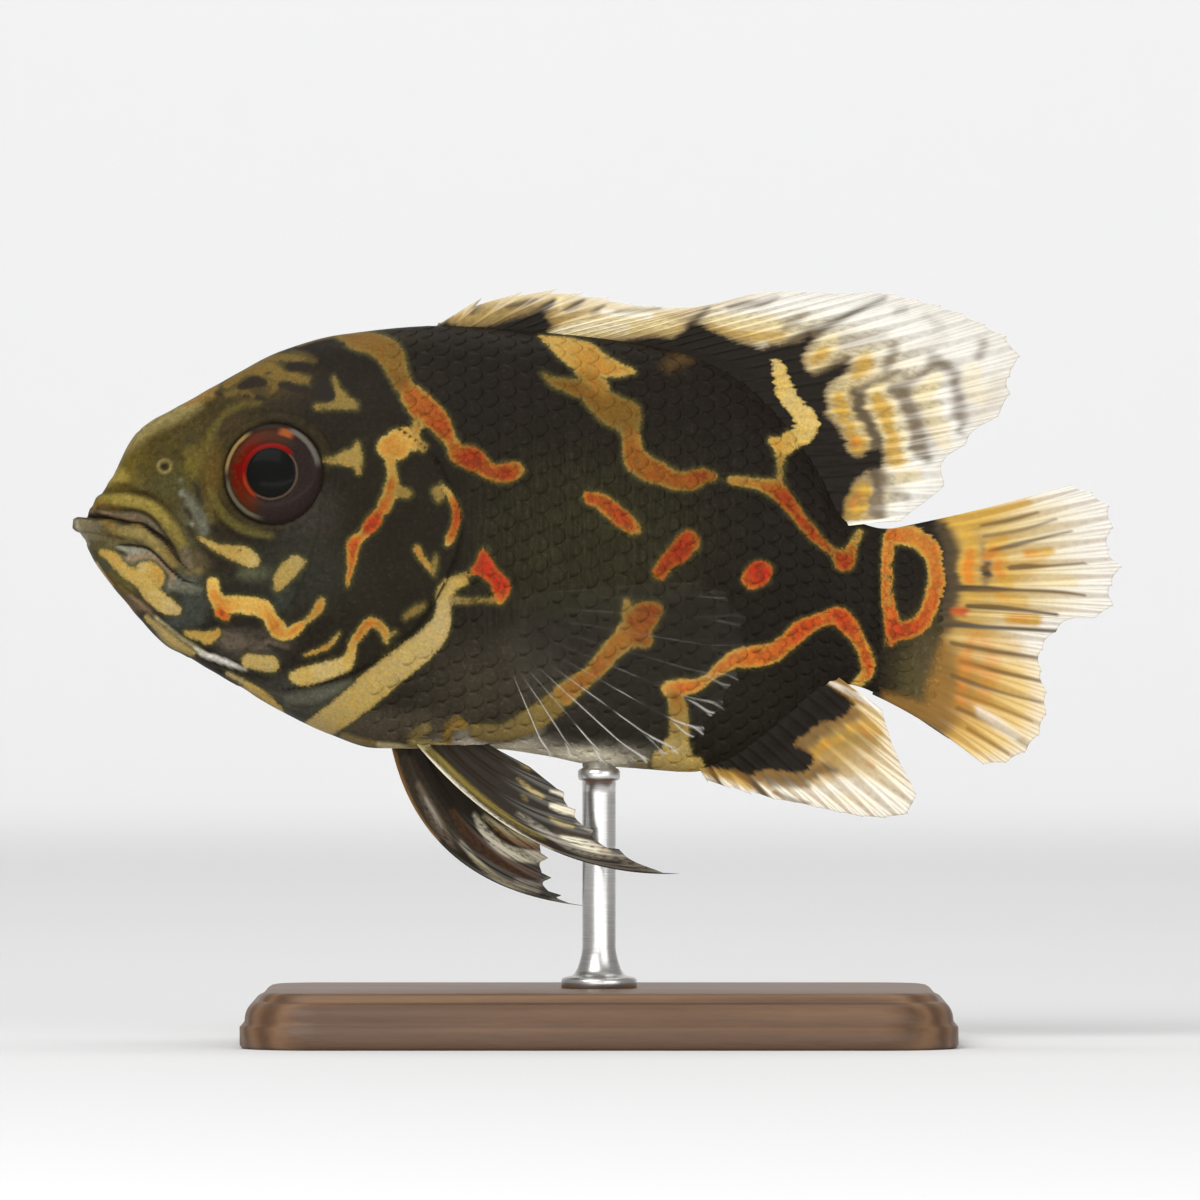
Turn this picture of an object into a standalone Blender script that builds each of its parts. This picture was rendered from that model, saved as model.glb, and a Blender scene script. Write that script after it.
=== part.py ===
"""A young tiger oscar, life size, on a display stand.

The head points to -X and the fish's left side to -Y. The origin is on the floor, under the middle of
the model. All sizes below are in millimetres, and MM turns them into metres as each mesh is made.
Side outlines are written as (x, z) points, from the snout to the tail.
"""

import math

import bmesh
import bpy
import numpy as np
from mathutils import Matrix, Vector

MM = 0.001
GAP = 0.3  # free space between neighbouring pieces

# Body: side outline, half width and squareness of the section, from the snout to the tail root
SNOUT_X = -47.0
TAIL_ROOT_X = 26.2
BACK = (
    (-47.0, 46.9), (-46.5, 47.5), (-45.9, 47.8), (-45.4, 48.2), (-44.9, 49.4), (-44.2, 50.5),
    (-43.5, 51.8), (-42.3, 54.2), (-40.9, 55.75),
    (-37.4, 57.7), (-33.0, 60.2), (-28.7, 62.4), (-23.3, 63.9), (-14.3, 64.7), (-5.0, 64.1),
    (3.0, 63.2), (8.5, 62.0), (12.5, 60.2), (16.6, 56.5), (19.9, 51.8), (22.2, 47.6), (26.2, 46.4),
)
BELLY = (
    (-47.0, 46.5), (-46.0, 44.2), (-44.9, 42.4), (-42.8, 39.8), (-40.6, 37.2), (-39.0, 35.65), (-37.4, 34.85),
    (-33.0, 32.3), (-28.7, 29.8), (-24.4, 27.75), (-20.1, 26.45), (-15.2, 26.4), (-10.0, 26.4),
    (-5.0, 25.8), (-1.0, 25.0), (3.7, 24.6), (8.2, 24.3), (11.5, 25.1), (14.5, 27.0), (17.2, 29.2),
    (19.9, 31.4), (22.2, 32.2), (26.2, 30.7),
)
HALF_WIDTH = (
    (-47.0, 0.3), (-46.4, 1.1), (-45.4, 2.1), (-44.0, 2.9), (-42.0, 3.6), (-38.0, 4.7),
    (-33.0, 5.7), (-28.0, 6.5), (-20.0, 7.5), (-13.0, 7.9), (-7.0, 7.8), (0.0, 7.2), (6.0, 6.3),
    (12.0, 5.0), (17.0, 3.6), (21.0, 2.5), (24.5, 1.7), (26.2, 0.8),
)
SQUARENESS = ((-47.0, 2.2), (-31.0, 2.35), (-12.0, 2.15), (3.0, 1.9), (14.0, 1.65), (26.2, 1.65))
BODY_STATIONS = 40
BODY_SIDES = 28
STATION_CROWDING = 1.5  # above 1, stations crowd towards the snout
FINE_STEPS = 600  # short steps along a smooth curve before it is divided evenly

# Where the body parts from one piece into the next, seen from the side
NECK_LINE = ((-14.6, 70.0), (-15.7, 62.8), (-17.2, 57.9), (-17.9, 55.2))
COVER_REAR = (
    (-17.9, 55.2), (-15.0, 52.9), (-12.9, 49.3), (-12.3, 46.2), (-13.2, 42.9), (-14.8, 39.7),
    (-17.3, 36.5), (-20.8, 34.0), (-24.7, 32.5), (-28.3, 31.9),
)
COVER_FRONT = (
    (-28.3, 31.9), (-26.6, 36.3), (-24.2, 40.8), (-22.9, 45.3), (-22.7, 50.4), (-20.9, 54.0),
    (-17.9, 55.2),
)
THROAT_BOTTOM = (-28.1, 20.0)
JAW_LINE = ((-35.6, 41.9), (-34.0, 38.0), (-32.9, 33.0), (-32.6, 22.0))
TAIL_LINE = ((22.6, 72.0), (21.7, 52.0), (20.9, 40.0), (19.8, 20.0))
COVER_DEPTH_Y = 3.0  # the gill covers reach this close to the middle plane
COVER_STEP = 0.25  # how far the gill covers stand proud of the flank
CUT_LOW, CUT_HIGH, CUT_FAR = 20.0, 72.0, 90.0  # the cutters reach past the body, below, above and ahead
CUT_SIDE = 30.0

# Lips: middle lines from the front to the corner of the mouth
UPPER_LIP = ((-45.6, 48.6), (-43.1, 48.7), (-40.6, 48.1), (-38.8, 46.8), (-37.5, 45.2), (-36.6, 43.4))
LOWER_LIP = ((-46.3, 46.6), (-44.5, 46.6), (-41.4, 46.1), (-39.7, 44.8), (-38.2, 43.4), (-36.6, 42.3))
LIP_RADIUS = 0.75
LIP_CORNER_RADIUS = 0.32
LIP_SINK = 0.35  # the lip's middle line lies this deep under the cheek
LIP_STATIONS = 7
LIP_SIDES = 7

# Eyes
EYE_X, EYE_Z = -29.2, 51.2
EYE_RADIUS = 4.6
EYE_HALF_DEPTH = 2.7
EYE_PROUD = 1.2
EYE_SEGMENTS, EYE_RINGS = 20, 8
SLOPE_STEP = 2.0  # the head's slope at the eye is taken over this distance each way

# Fins: ray counts, thicknesses and outlines
FIN_HALF = 0.26  # half thickness of the skin between two rays
RAY_HALF = (0.48, 0.3)  # half thickness of a ray at its root and its tip
PECTORAL_RAY_HALF = (0.32, 0.28)
FIN_SINK = 1.0  # fin roots start this deep in the body before they are cut to it
DORSAL_ROOT_X = (-15.0, 22.3)
DORSAL_EDGE = (
    (-14.6, 64.9), (-10.2, 67.0), (-6.8, 67.7), (-3.6, 67.9), (0.5, 67.3), (5.0, 66.5), (9.5, 66.4),
    (13.1, 67.2), (17.0, 67.8), (24.5, 67.8), (29.5, 66.8), (33.5, 65.4), (36.9, 63.5), (37.9, 61.6),
    (36.9, 58.5), (34.1, 55.4), (31.0, 52.3), (30.9, 50.0), (28.4, 48.2), (26.8, 47.0),
)
DORSAL_RAYS = 27
DORSAL_SPINES = 12
DORSAL_NOTCH = (0.22, 0.03)  # shares by which the skin ends short of a spine's tip and of a soft ray's
ANAL_ROOT_X = (8.6, 22.4)
ANAL_EDGE = (
    (9.8, 23.5), (12.6, 22.5), (17.0, 21.8), (21.0, 20.9), (25.0, 20.3), (27.8, 20.5), (28.6, 21.7),
    (27.8, 23.7), (26.4, 26.8), (25.3, 30.4),
)
ANAL_RAYS = 15
ANAL_SPINES = 3
ANAL_NOTCH = (0.2, 0.03)
TAIL_FIN_ROOT = ((24.6, 46.0), (25.2, 42.5), (25.4, 38.6), (25.2, 34.5), (24.6, 31.4))
TAIL_FIN_EDGE = (
    (42.6, 50.4), (44.8, 49.4), (46.4, 47.4), (46.9, 44.8), (47.1, 42.2), (46.5, 39.8), (44.6, 38.5),
    (42.2, 38.0), (40.2, 36.4), (39.8, 34.0), (40.4, 31.0), (39.5, 27.5), (37.6, 25.4), (34.7, 25.0),
)
TAIL_FIN_RAYS = 17
TAIL_FIN_NOTCH = (0.0, 0.04)
MEDIAN_ROWS = 3
PELVIC_RAYS = 6
PELVIC_ROWS = 5
PECTORAL_RAYS = 10
PECTORAL_ROWS = 3
PECTORAL_ROOT = ((-9.8, 40.2), (-9.0, 36.2))
PECTORAL_TIPS = (
    (9.0, 41.6), (12.4, 39.8), (13.6, 36.3), (12.8, 33.2), (10.8, 29.4), (7.6, 26.3), (2.6, 25.0),
    (-4.6, 25.8),
)
PECTORAL_NOTCH = 0.03
PECTORAL_SPREAD = 4.0  # how far the fin's far edge stands out from its root
PECTORAL_BEND = (0.3, 0.8)  # a ray bends out at this share of its run, by this share of the spread

# Stand
STAND_LENGTH, STAND_DEPTH, STAND_HEIGHT = 64.0, 40.0, 5.0
STAND_CORNER = 7.0
STAND_CHAMFER = 0.8
ROD_RADIUS = 1.5
ROD_FOOT_RADIUS = 3.4
ROD_FOOT_HEIGHT = 1.2
ROD_FOOT_FLARE = ((0.5, 0.7), (0.0, 1.8))  # beyond the rod's radius, at these heights above the foot
ROD_TOP_Z = 28.0
SOCKET_BOTTOM_Z = 15.0  # the socket's cutter starts below the belly
ROD_SIDES = 24


# Curves

def hermite(knots, values, slopes, at):
    """Values at the given places, on cubics that pass the knots with the given slopes."""
    i = np.clip(np.searchsorted(knots, at, "right") - 1, 0, len(knots) - 2)
    step = knots[i + 1] - knots[i]
    t = (at - knots[i]) / step
    start, end, start_slope, end_slope = values[i], values[i + 1], slopes[i], slopes[i + 1]
    if values.ndim == 2:
        t, step = t[:, None], step[:, None]
    return (
        (2 * t**3 - 3 * t**2 + 1) * start
        + (t**3 - 2 * t**2 + t) * step * start_slope
        + (3 * t**2 - 2 * t**3) * end
        + (t**3 - t**2) * step * end_slope
    )


def profile(points):
    """A function of x through the points, which doesn't swing past them."""
    knots, values = np.array(points, float).T
    rise = np.diff(values) / np.diff(knots)
    both = rise[:-1] * rise[1:]
    total = np.where(both > 0, rise[:-1] + rise[1:], 1.0)
    inner = np.where(both > 0, 2 * both / total, 0.0)
    slopes = np.concatenate([rise[:1], inner, rise[-1:]])
    return lambda at: hermite(knots, values, slopes, np.atleast_1d(np.asarray(at, float)))


def smooth_curve(points, count):
    """Evenly spaced points on a smooth curve through the given ones."""
    points = np.array(points, float)
    knots = np.concatenate([[0.0], np.cumsum(np.linalg.norm(np.diff(points, axis=0), axis=1))])
    slopes = np.gradient(points, knots, axis=0)
    fine = hermite(knots, points, slopes, np.linspace(0, knots[-1], FINE_STEPS))
    length = np.concatenate([[0.0], np.cumsum(np.linalg.norm(np.diff(fine, axis=0), axis=1))])
    wanted = np.linspace(0, length[-1], count)
    return np.column_stack([np.interp(wanted, length, column) for column in fine.T])


def shifted(line, distance):
    """The line moved sideways, to its right as it runs."""
    along = np.gradient(line, axis=0)
    across = np.column_stack([along[:, 1], -along[:, 0]])
    return line + distance * across / np.linalg.norm(across, axis=1)[:, None]


back, belly, half_width, squareness = map(profile, (BACK, BELLY, HALF_WIDTH, SQUARENESS))


def body_side(x, z):
    """The body's half width at a point of its side view."""
    x, z = np.atleast_1d(x).astype(float), np.atleast_1d(z).astype(float)
    middle = (back(x) + belly(x)) / 2
    height = (back(x) - belly(x)) / 2
    share = np.clip(np.abs(z - middle) / height, 0, 1)
    power = squareness(x)
    return half_width(x) * (1 - share**power) ** (1 / power)


def belly_under(x, y):
    """Height of the belly's skin at a distance from the middle plane."""
    power = squareness(x)
    share = (1 - (np.abs(y) / half_width(x)) ** power) ** (1 / power)
    return (back(x) + belly(x)) / 2 - (back(x) - belly(x)) / 2 * share


# Meshes and cuts

def finish(name, colour, roughness, metallic=0.0):
    made = bpy.data.materials.new(name)
    made.use_nodes = True
    shader = made.node_tree.nodes["Principled BSDF"]
    shader.inputs["Base Color"].default_value = (*colour, 1.0)
    shader.inputs["Roughness"].default_value = roughness
    shader.inputs["Metallic"].default_value = metallic
    made.diffuse_color = (*colour, 1.0)
    return made


def add_object(name, points, faces, material=None):
    """An object from points in millimetres. Without a material it is a hidden cutter."""
    mesh = bpy.data.meshes.new(name)
    mesh.from_pydata([tuple(point) for point in np.asarray(points) * MM], [], faces)
    shape = bmesh.new()
    shape.from_mesh(mesh)
    bmesh.ops.recalc_face_normals(shape, faces=shape.faces)
    shape.to_mesh(mesh)
    shape.free()
    made = bpy.data.objects.new(name, mesh)
    bpy.context.scene.collection.objects.link(made)
    if material:
        mesh.materials.append(material)
        mesh.shade_smooth()
        mesh.set_sharp_from_angle(angle=math.radians(40))
    else:
        made.hide_render = True
        made.display_type = "WIRE"
    return made


def cut(target, operation, *cutters):
    """Boolean modifiers, which stay on the object."""
    for cutter in cutters:
        modifier = target.modifiers.new(cutter.name, "BOOLEAN")
        modifier.operation = operation
        modifier.object = cutter
        modifier.solver = "EXACT"


def tube(rings):
    """Points and faces of a closed tube over equal rings of points, with flat ends."""
    count, sides = len(rings), len(rings[0])
    faces = [tuple(range(sides)), tuple(reversed(range((count - 1) * sides, count * sides)))]
    for i in range(count - 1):
        for j in range(sides):
            k = (j + 1) % sides
            faces.append((i * sides + j, (i + 1) * sides + j, (i + 1) * sides + k, i * sides + k))
    return np.concatenate(rings), faces


def prism(name, outline, low_y=-CUT_SIDE, high_y=CUT_SIDE):
    """A cutter with the given side outline, from one depth to another."""
    x, z = np.array(outline, float).T
    rings = [np.column_stack([x, np.full(len(x), y), z]) for y in (low_y, high_y)]
    return add_object(name, *tube(rings))


def body(name, material=None, growth=0.0):
    """The whole body from snout to tail root, as one closed solid."""
    share = np.linspace(0, 1, BODY_STATIONS) ** STATION_CROWDING
    stations = SNOUT_X + (TAIL_ROOT_X - SNOUT_X) * share
    turn = np.linspace(0, 2 * math.pi, BODY_SIDES, endpoint=False)
    rings = []
    for x, top, low, width, power in zip(
        stations, back(stations), belly(stations), half_width(stations), squareness(stations)
    ):
        middle, height = (top + low) / 2, (top - low) / 2 + growth
        out = np.sign(np.cos(turn)) * np.abs(np.cos(turn)) ** (2 / power)
        up = np.sign(np.sin(turn)) * np.abs(np.sin(turn)) ** (2 / power)
        rings.append(np.column_stack([np.full(BODY_SIDES, x), (width + growth) * out, middle + height * up]))
    rings[0][:, 0] -= growth
    rings[-1][:, 0] += growth
    return add_object(name, *tube(rings), material)


def ellipsoid(name, centre, axis, radius, half_depth, material=None):
    """A ball flattened along its axis."""
    shape = bmesh.new()
    bmesh.ops.create_uvsphere(shape, u_segments=EYE_SEGMENTS, v_segments=EYE_RINGS, radius=1.0)
    turned = Vector(axis).to_track_quat("Z", "Y").to_matrix().to_4x4()
    shape.transform(turned @ Matrix.Diagonal((radius, radius, half_depth, 1.0)))
    shape.verts.ensure_lookup_table()
    points = np.array([vertex.co[:] for vertex in shape.verts]) + centre
    faces = [tuple(vertex.index for vertex in face.verts) for face in shape.faces]
    shape.free()
    return add_object(name, points, faces, material)


def fin(name, roots, tips, middles, material, rows, notch, ray_half=RAY_HALF):
    """A fin of one piece: thick rays from root to tip, and thinner skin between them.

    roots, tips and middles hold one 3-D point for each ray, and a ray bends towards its middle point.
    notch holds, for each ray, the share of its length by which the skin behind it falls short."""
    def between(line):
        out = np.empty((2 * len(line) - 1, line.shape[1]))
        out[::2] = line
        out[1::2] = (line[1:] + line[:-1]) / 2
        return out

    count = 2 * len(roots) - 1
    start, bend, end = between(roots), between(middles), between(tips)
    short = np.zeros(count)
    short[1::2] = notch[:-1]
    reach = np.linspace(0, 1, rows + 1)[:, None] * (1 - short)
    t = reach[:, :, None]
    grid = (1 - t) ** 2 * start + 2 * t * (1 - t) * bend + t**2 * end
    normal = np.cross(np.gradient(grid, axis=0), np.gradient(grid, axis=1))
    normal /= np.linalg.norm(normal, axis=2)[:, :, None]
    half = np.full((rows + 1, count), FIN_HALF)
    half[:, ::2] = np.linspace(*ray_half, rows + 1)[:, None]
    offset = normal * half[:, :, None]
    points = np.concatenate([(grid + offset).reshape(-1, 3), (grid - offset).reshape(-1, 3)])
    other = (rows + 1) * count
    faces = []
    for i in range(rows):
        for j in range(count - 1):
            a = i * count + j
            quad = (a, a + 1, a + count + 1, a + count)
            faces += [quad, tuple(v + other for v in reversed(quad))]
    rim = (
        list(range(count))
        + [i * count + count - 1 for i in range(1, rows + 1)]
        + [rows * count + j for j in range(count - 2, -1, -1)]
        + [i * count for i in range(rows - 1, 0, -1)]
    )
    for a, b in zip(rim, rim[1:] + rim[:1]):
        faces.append((b, a, a + other, b + other))
    return add_object(name, points, faces, material)


# Start from an empty scene
for old in list(bpy.data.objects):
    bpy.data.objects.remove(old, do_unlink=True)

SKIN = dict(roughness=0.4)
olive = finish("skin_olive", (0.16, 0.12, 0.03), **SKIN)
dark = finish("skin_dark", (0.03, 0.022, 0.014), **SKIN)
amber = finish("fin_amber", (0.5, 0.33, 0.12), 0.4)
cream = finish("fin_cream", (0.7, 0.6, 0.35), 0.4)
clear_fin = finish("fin_clear", (0.6, 0.6, 0.55), 0.3)
eye_red = finish("eye_red", (0.2, 0.02, 0.01), 0.08)
wood = finish("stand_wood", (0.32, 0.17, 0.08), 0.45)
steel = finish("stand_steel", (0.6, 0.6, 0.6), 0.25, 1.0)


# Head, jaws, gill covers, trunk and tail stalk: one body, parted by thin cuts

def join_lines(*lines):
    """One line from several that meet end to end."""
    return np.concatenate([lines[0]] + [line[1:] for line in lines[1:]])


neck = smooth_curve(NECK_LINE, 6)
cover_rear = smooth_curve(COVER_REAR, 18)
cover_front = smooth_curve(COVER_FRONT, 12)
head_rear = join_lines(neck, cover_rear, np.array([cover_rear[-1], THROAT_BOTTOM]))
jaw_rear = smooth_curve(JAW_LINE, 7)
tail_front = smooth_curve(TAIL_LINE, 5)

head_block = prism(
    "head_block", [*shifted(head_rear, GAP / 2), (-CUT_FAR, CUT_LOW), (-CUT_FAR, CUT_HIGH)]
)
jaw_cutters = []
for cutter_name, lip_line, shift in (("jaw_space", UPPER_LIP, -GAP / 2), ("jaw_block", LOWER_LIP, GAP / 2)):
    outline = [(-CUT_FAR, lip_line[0][1]), *lip_line, *shifted(jaw_rear, shift), (-CUT_FAR, JAW_LINE[-1][1])]
    jaw_cutters.append(prism(cutter_name, outline))
jaw_space, jaw_block = jaw_cutters
trunk_block = prism("trunk_block", [*shifted(head_rear, -GAP / 2), *shifted(tail_front, GAP / 2)[::-1]])
tail_block = prism(
    "tail_block", [*shifted(tail_front, -GAP / 2), (CUT_FAR, CUT_LOW), (CUT_FAR, CUT_HIGH)]
)

head = body("head", olive)
cut(head, "INTERSECT", head_block)
cut(head, "DIFFERENCE", jaw_space)
lower_jaw = body("lower_jaw", olive)
cut(lower_jaw, "INTERSECT", jaw_block)
trunk = body("trunk", dark)
cut(trunk, "INTERSECT", trunk_block)
tail_stalk = body("tail_stalk", dark)
cut(tail_stalk, "INTERSECT", tail_block)

cover_outline = join_lines(cover_rear, cover_front)[:-1]
cover_middle = cover_outline.mean(axis=0)


def around_middle(outline, growth):
    """The gill cover's outline, grown or shrunk all round."""
    out = outline - cover_middle
    return cover_middle + out * (1 + growth / np.linalg.norm(out, axis=1))[:, None]


for side_name, side in (("left", -1), ("right", 1)):
    cutters = []
    for cutter_name, part in (("block", -1), ("pocket", 1)):
        depth = COVER_DEPTH_Y if part < 0 else COVER_DEPTH_Y - GAP
        outline = around_middle(cover_outline, part * GAP / 2)
        reach = sorted((side * depth, side * CUT_SIDE))
        cutters.append(prism("cover_" + cutter_name + "_" + side_name, outline, *reach))
    block, pocket = cutters
    cover = body("gill_cover_" + side_name, olive, growth=COVER_STEP)
    cut(cover, "INTERSECT", block)
    cut(head, "DIFFERENCE", pocket)


# Lips

def lip(name, line, growth=0.0, material=None):
    """A round bar that follows one cheek from the corner of the mouth, the front, and the other cheek."""
    line = smooth_curve(line, LIP_STATIONS)
    depth = np.maximum(body_side(line[:, 0], line[:, 1]) - LIP_SINK, 0.0)
    depth[0] = 0.0
    near = np.column_stack([line[:, 0], -depth, line[:, 1]])
    path = np.concatenate([near[::-1], near[1:] * (1, -1, 1)])
    share = np.abs(np.linspace(-1, 1, len(path)))
    radius = LIP_RADIUS + (LIP_CORNER_RADIUS - LIP_RADIUS) * share**2 + growth
    along = np.gradient(path, axis=0)
    along /= np.linalg.norm(along, axis=1)[:, None]
    path[0] -= along[0] * growth
    path[-1] += along[-1] * growth
    out = np.cross(along, (0.0, 0.0, 1.0))
    out /= np.linalg.norm(out, axis=1)[:, None]
    up = np.cross(out, along)
    turn = np.linspace(0, 2 * math.pi, LIP_SIDES, endpoint=False)
    rings = [
        centre + r * (np.outer(np.cos(turn), o) + np.outer(np.sin(turn), u))
        for centre, r, o, u in zip(path, radius, out, up)
    ]
    return add_object(name, *tube(rings), material)


for lip_name, lip_line in (("upper_lip", UPPER_LIP), ("lower_lip", LOWER_LIP)):
    lip(lip_name, lip_line, material=olive)
    space = lip(lip_name + "_space", lip_line, growth=GAP)
    cut(head, "DIFFERENCE", space)
    cut(lower_jaw, "DIFFERENCE", space)


# Eyes, each facing along the head's own slope

def outward(x, z):
    """The direction that the left side of the body faces at a point of its side view."""
    step = SLOPE_STEP
    slope_x = (body_side(x + step, z) - body_side(x - step, z))[0] / (2 * step)
    slope_z = (body_side(x, z + step) - body_side(x, z - step))[0] / (2 * step)
    return Vector((-slope_x, -1.0, -slope_z)).normalized()


for side_name, side in (("left", 1), ("right", -1)):
    facing = np.array(outward(EYE_X, EYE_Z)) * (1, side, 1)
    surface = np.array((EYE_X, -side * body_side(EYE_X, EYE_Z)[0], EYE_Z))
    centre = surface + facing * (EYE_PROUD - EYE_HALF_DEPTH)
    ellipsoid("eye_" + side_name, centre, facing, EYE_RADIUS, EYE_HALF_DEPTH, eye_red)
    socket = ellipsoid("socket_" + side_name, centre, facing, EYE_RADIUS + GAP, EYE_HALF_DEPTH + GAP)
    cut(head, "DIFFERENCE", socket)


# Fins, each cut to the body with a gap

near_body = body("near_body", growth=GAP)


def upright(line):
    """Side-view points in the middle plane."""
    return np.column_stack([line[:, 0], np.zeros(len(line)), line[:, 1]])


def median_fin(name, root, edge, spines, shares, material):
    """A fin in the middle plane. shares are the notches behind its spines and behind its soft rays."""
    roots, tips = upright(root), upright(smooth_curve(edge, len(root)))
    notch = np.where(np.arange(len(root)) < spines, *shares)
    made = fin(name, roots, tips, (roots + tips) / 2, material, MEDIAN_ROWS, notch)
    cut(made, "DIFFERENCE", near_body)


dorsal_x = np.linspace(*DORSAL_ROOT_X, DORSAL_RAYS)
dorsal_root = np.column_stack([dorsal_x, back(dorsal_x) - FIN_SINK])
median_fin("dorsal_fin", dorsal_root, DORSAL_EDGE, DORSAL_SPINES, DORSAL_NOTCH, cream)

anal_x = np.linspace(*ANAL_ROOT_X, ANAL_RAYS)
anal_root = np.column_stack([anal_x, belly(anal_x) + FIN_SINK])
median_fin("anal_fin", anal_root, ANAL_EDGE, ANAL_SPINES, ANAL_NOTCH, amber)

tail_root = smooth_curve(TAIL_FIN_ROOT, TAIL_FIN_RAYS)
median_fin("tail_fin", tail_root, TAIL_FIN_EDGE, 0, TAIL_FIN_NOTCH, amber)

# The two pelvic fins are held at slightly different angles, so each has its own outline: the base's
# first and last x, the leading edge's bend, and the tips from the long filament back
PELVICS = {
    "left": dict(
        side=-1, root_x=(-17.0, -11.2), bend=(-6.6, 14.8),
        tips=((7.3, 15.4), (1.8, 17.6), (-0.5, 19.4), (-2.1, 21.1), (-3.2, 22.7), (-6.2, 24.9)),
    ),
    "right": dict(
        side=1, root_x=(-18.9, -12.4), bend=(-16.4, 13.8),
        tips=((-1.1, 12.2), (-3.4, 13.2), (-4.3, 14.8), (-4.6, 16.6), (-5.0, 18.2), (-7.6, 20.4)),
    ),
}
PELVIC_ROOT_Y = (1.6, 1.3)  # of the leading and the innermost ray
PELVIC_TIP_Y = (6.6, 2.9)
PELVIC_NOTCH = 0.06
PELVIC_BEND_FADE = 1.5  # how fast the leading ray's bend fades over the rays behind it
for side_name, pelvic in PELVICS.items():
    share = np.linspace(0, 1, PELVIC_RAYS)
    root_x = np.linspace(*pelvic["root_x"], PELVIC_RAYS)
    root_y = pelvic["side"] * np.linspace(*PELVIC_ROOT_Y, PELVIC_RAYS)
    tip_y = pelvic["side"] * np.linspace(*PELVIC_TIP_Y, PELVIC_RAYS)
    tip_x, tip_z = np.array(pelvic["tips"]).T
    roots = np.column_stack([root_x, root_y, belly_under(root_x, root_y) + FIN_SINK])
    tips = np.column_stack([tip_x, tip_y, tip_z])
    middles = (roots + tips) / 2
    lead = np.array((pelvic["bend"][0], (root_y[0] + tip_y[0]) / 2, pelvic["bend"][1]))
    middles += (lead - middles[0]) * (1 - share[:, None]) ** PELVIC_BEND_FADE
    notch = np.full(PELVIC_RAYS, PELVIC_NOTCH)
    made = fin("pelvic_fin_" + side_name, roots, tips, middles, dark, PELVIC_ROWS, notch)
    cut(made, "DIFFERENCE", near_body)

flat_roots = smooth_curve(PECTORAL_ROOT, PECTORAL_RAYS)
flat_tips = smooth_curve(PECTORAL_TIPS, PECTORAL_RAYS)
pectoral_y = body_side(flat_roots[:, 0], flat_roots[:, 1]) - FIN_SINK
roots = np.column_stack([flat_roots[:, 0], pectoral_y, flat_roots[:, 1]])
tips = np.column_stack([flat_tips[:, 0], pectoral_y + PECTORAL_SPREAD, flat_tips[:, 1]])
bend_at, bend_out = PECTORAL_BEND
middles = roots + bend_at * (tips - roots)
middles[:, 1] = pectoral_y + bend_out * PECTORAL_SPREAD
for side_name, side in (("left", -1), ("right", 1)):
    mirror = (1, side, 1)
    notch = np.full(PECTORAL_RAYS, PECTORAL_NOTCH)
    made = fin(
        "pectoral_fin_" + side_name, roots * mirror, tips * mirror, middles * mirror,
        clear_fin, PECTORAL_ROWS, notch, PECTORAL_RAY_HALF,
    )
    cut(made, "DIFFERENCE", near_body)


# Stand: a wooden base with round corners, and a steel rod that ends in a socket in the belly

def turned(name, outline, material=None):
    """A solid turned about the stand's middle axis from (radius, height) points."""
    turn = np.linspace(0, 2 * math.pi, ROD_SIDES, endpoint=False)
    rings = [np.column_stack([r * np.cos(turn), r * np.sin(turn), np.full(ROD_SIDES, z)]) for r, z in outline]
    return add_object(name, *tube(rings), material)


def rounded_rectangle(length, depth, corner, steps=8):
    points = []
    for quarter, (sx, sy) in enumerate(((1, 1), (-1, 1), (-1, -1), (1, -1))):
        for turn in np.linspace(0, math.pi / 2, steps) + quarter * math.pi / 2:
            x = sx * (length / 2 - corner) + corner * math.cos(turn)
            y = sy * (depth / 2 - corner) + corner * math.sin(turn)
            points.append((x, y))
    return points


base_rings = []
for height, inset in ((0.0, 0.0), (STAND_HEIGHT - STAND_CHAMFER, 0.0), (STAND_HEIGHT, STAND_CHAMFER)):
    ring = rounded_rectangle(STAND_LENGTH - 2 * inset, STAND_DEPTH - 2 * inset, STAND_CORNER - inset)
    base_rings.append(np.array([(x, y, height) for x, y in ring]))
add_object("stand_base", *tube(base_rings), wood)

foot_z = STAND_HEIGHT + GAP
foot_top = foot_z + ROD_FOOT_HEIGHT
rod_outline = [(ROD_FOOT_RADIUS, foot_z), (ROD_FOOT_RADIUS, foot_top)]
rod_outline += [(ROD_RADIUS + out, foot_top + up) for out, up in ROD_FOOT_FLARE]
rod_outline.append((ROD_RADIUS, ROD_TOP_Z))
turned("stand_rod", rod_outline, steel)
socket_radius = ROD_RADIUS + GAP
rod_socket = turned("rod_socket", ((socket_radius, SOCKET_BOTTOM_Z), (socket_radius, ROD_TOP_Z + GAP)))
cut(trunk, "DIFFERENCE", rod_socket)
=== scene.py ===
"""Looks of a young tiger oscar on its display stand.

The head points to -X and the fish's left side to -Y. Sizes are in millimetres and MM turns them into
metres as each mesh is made. A side outline or a mark is a line of (x, z) points of the side view.
"""

import math

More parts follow.
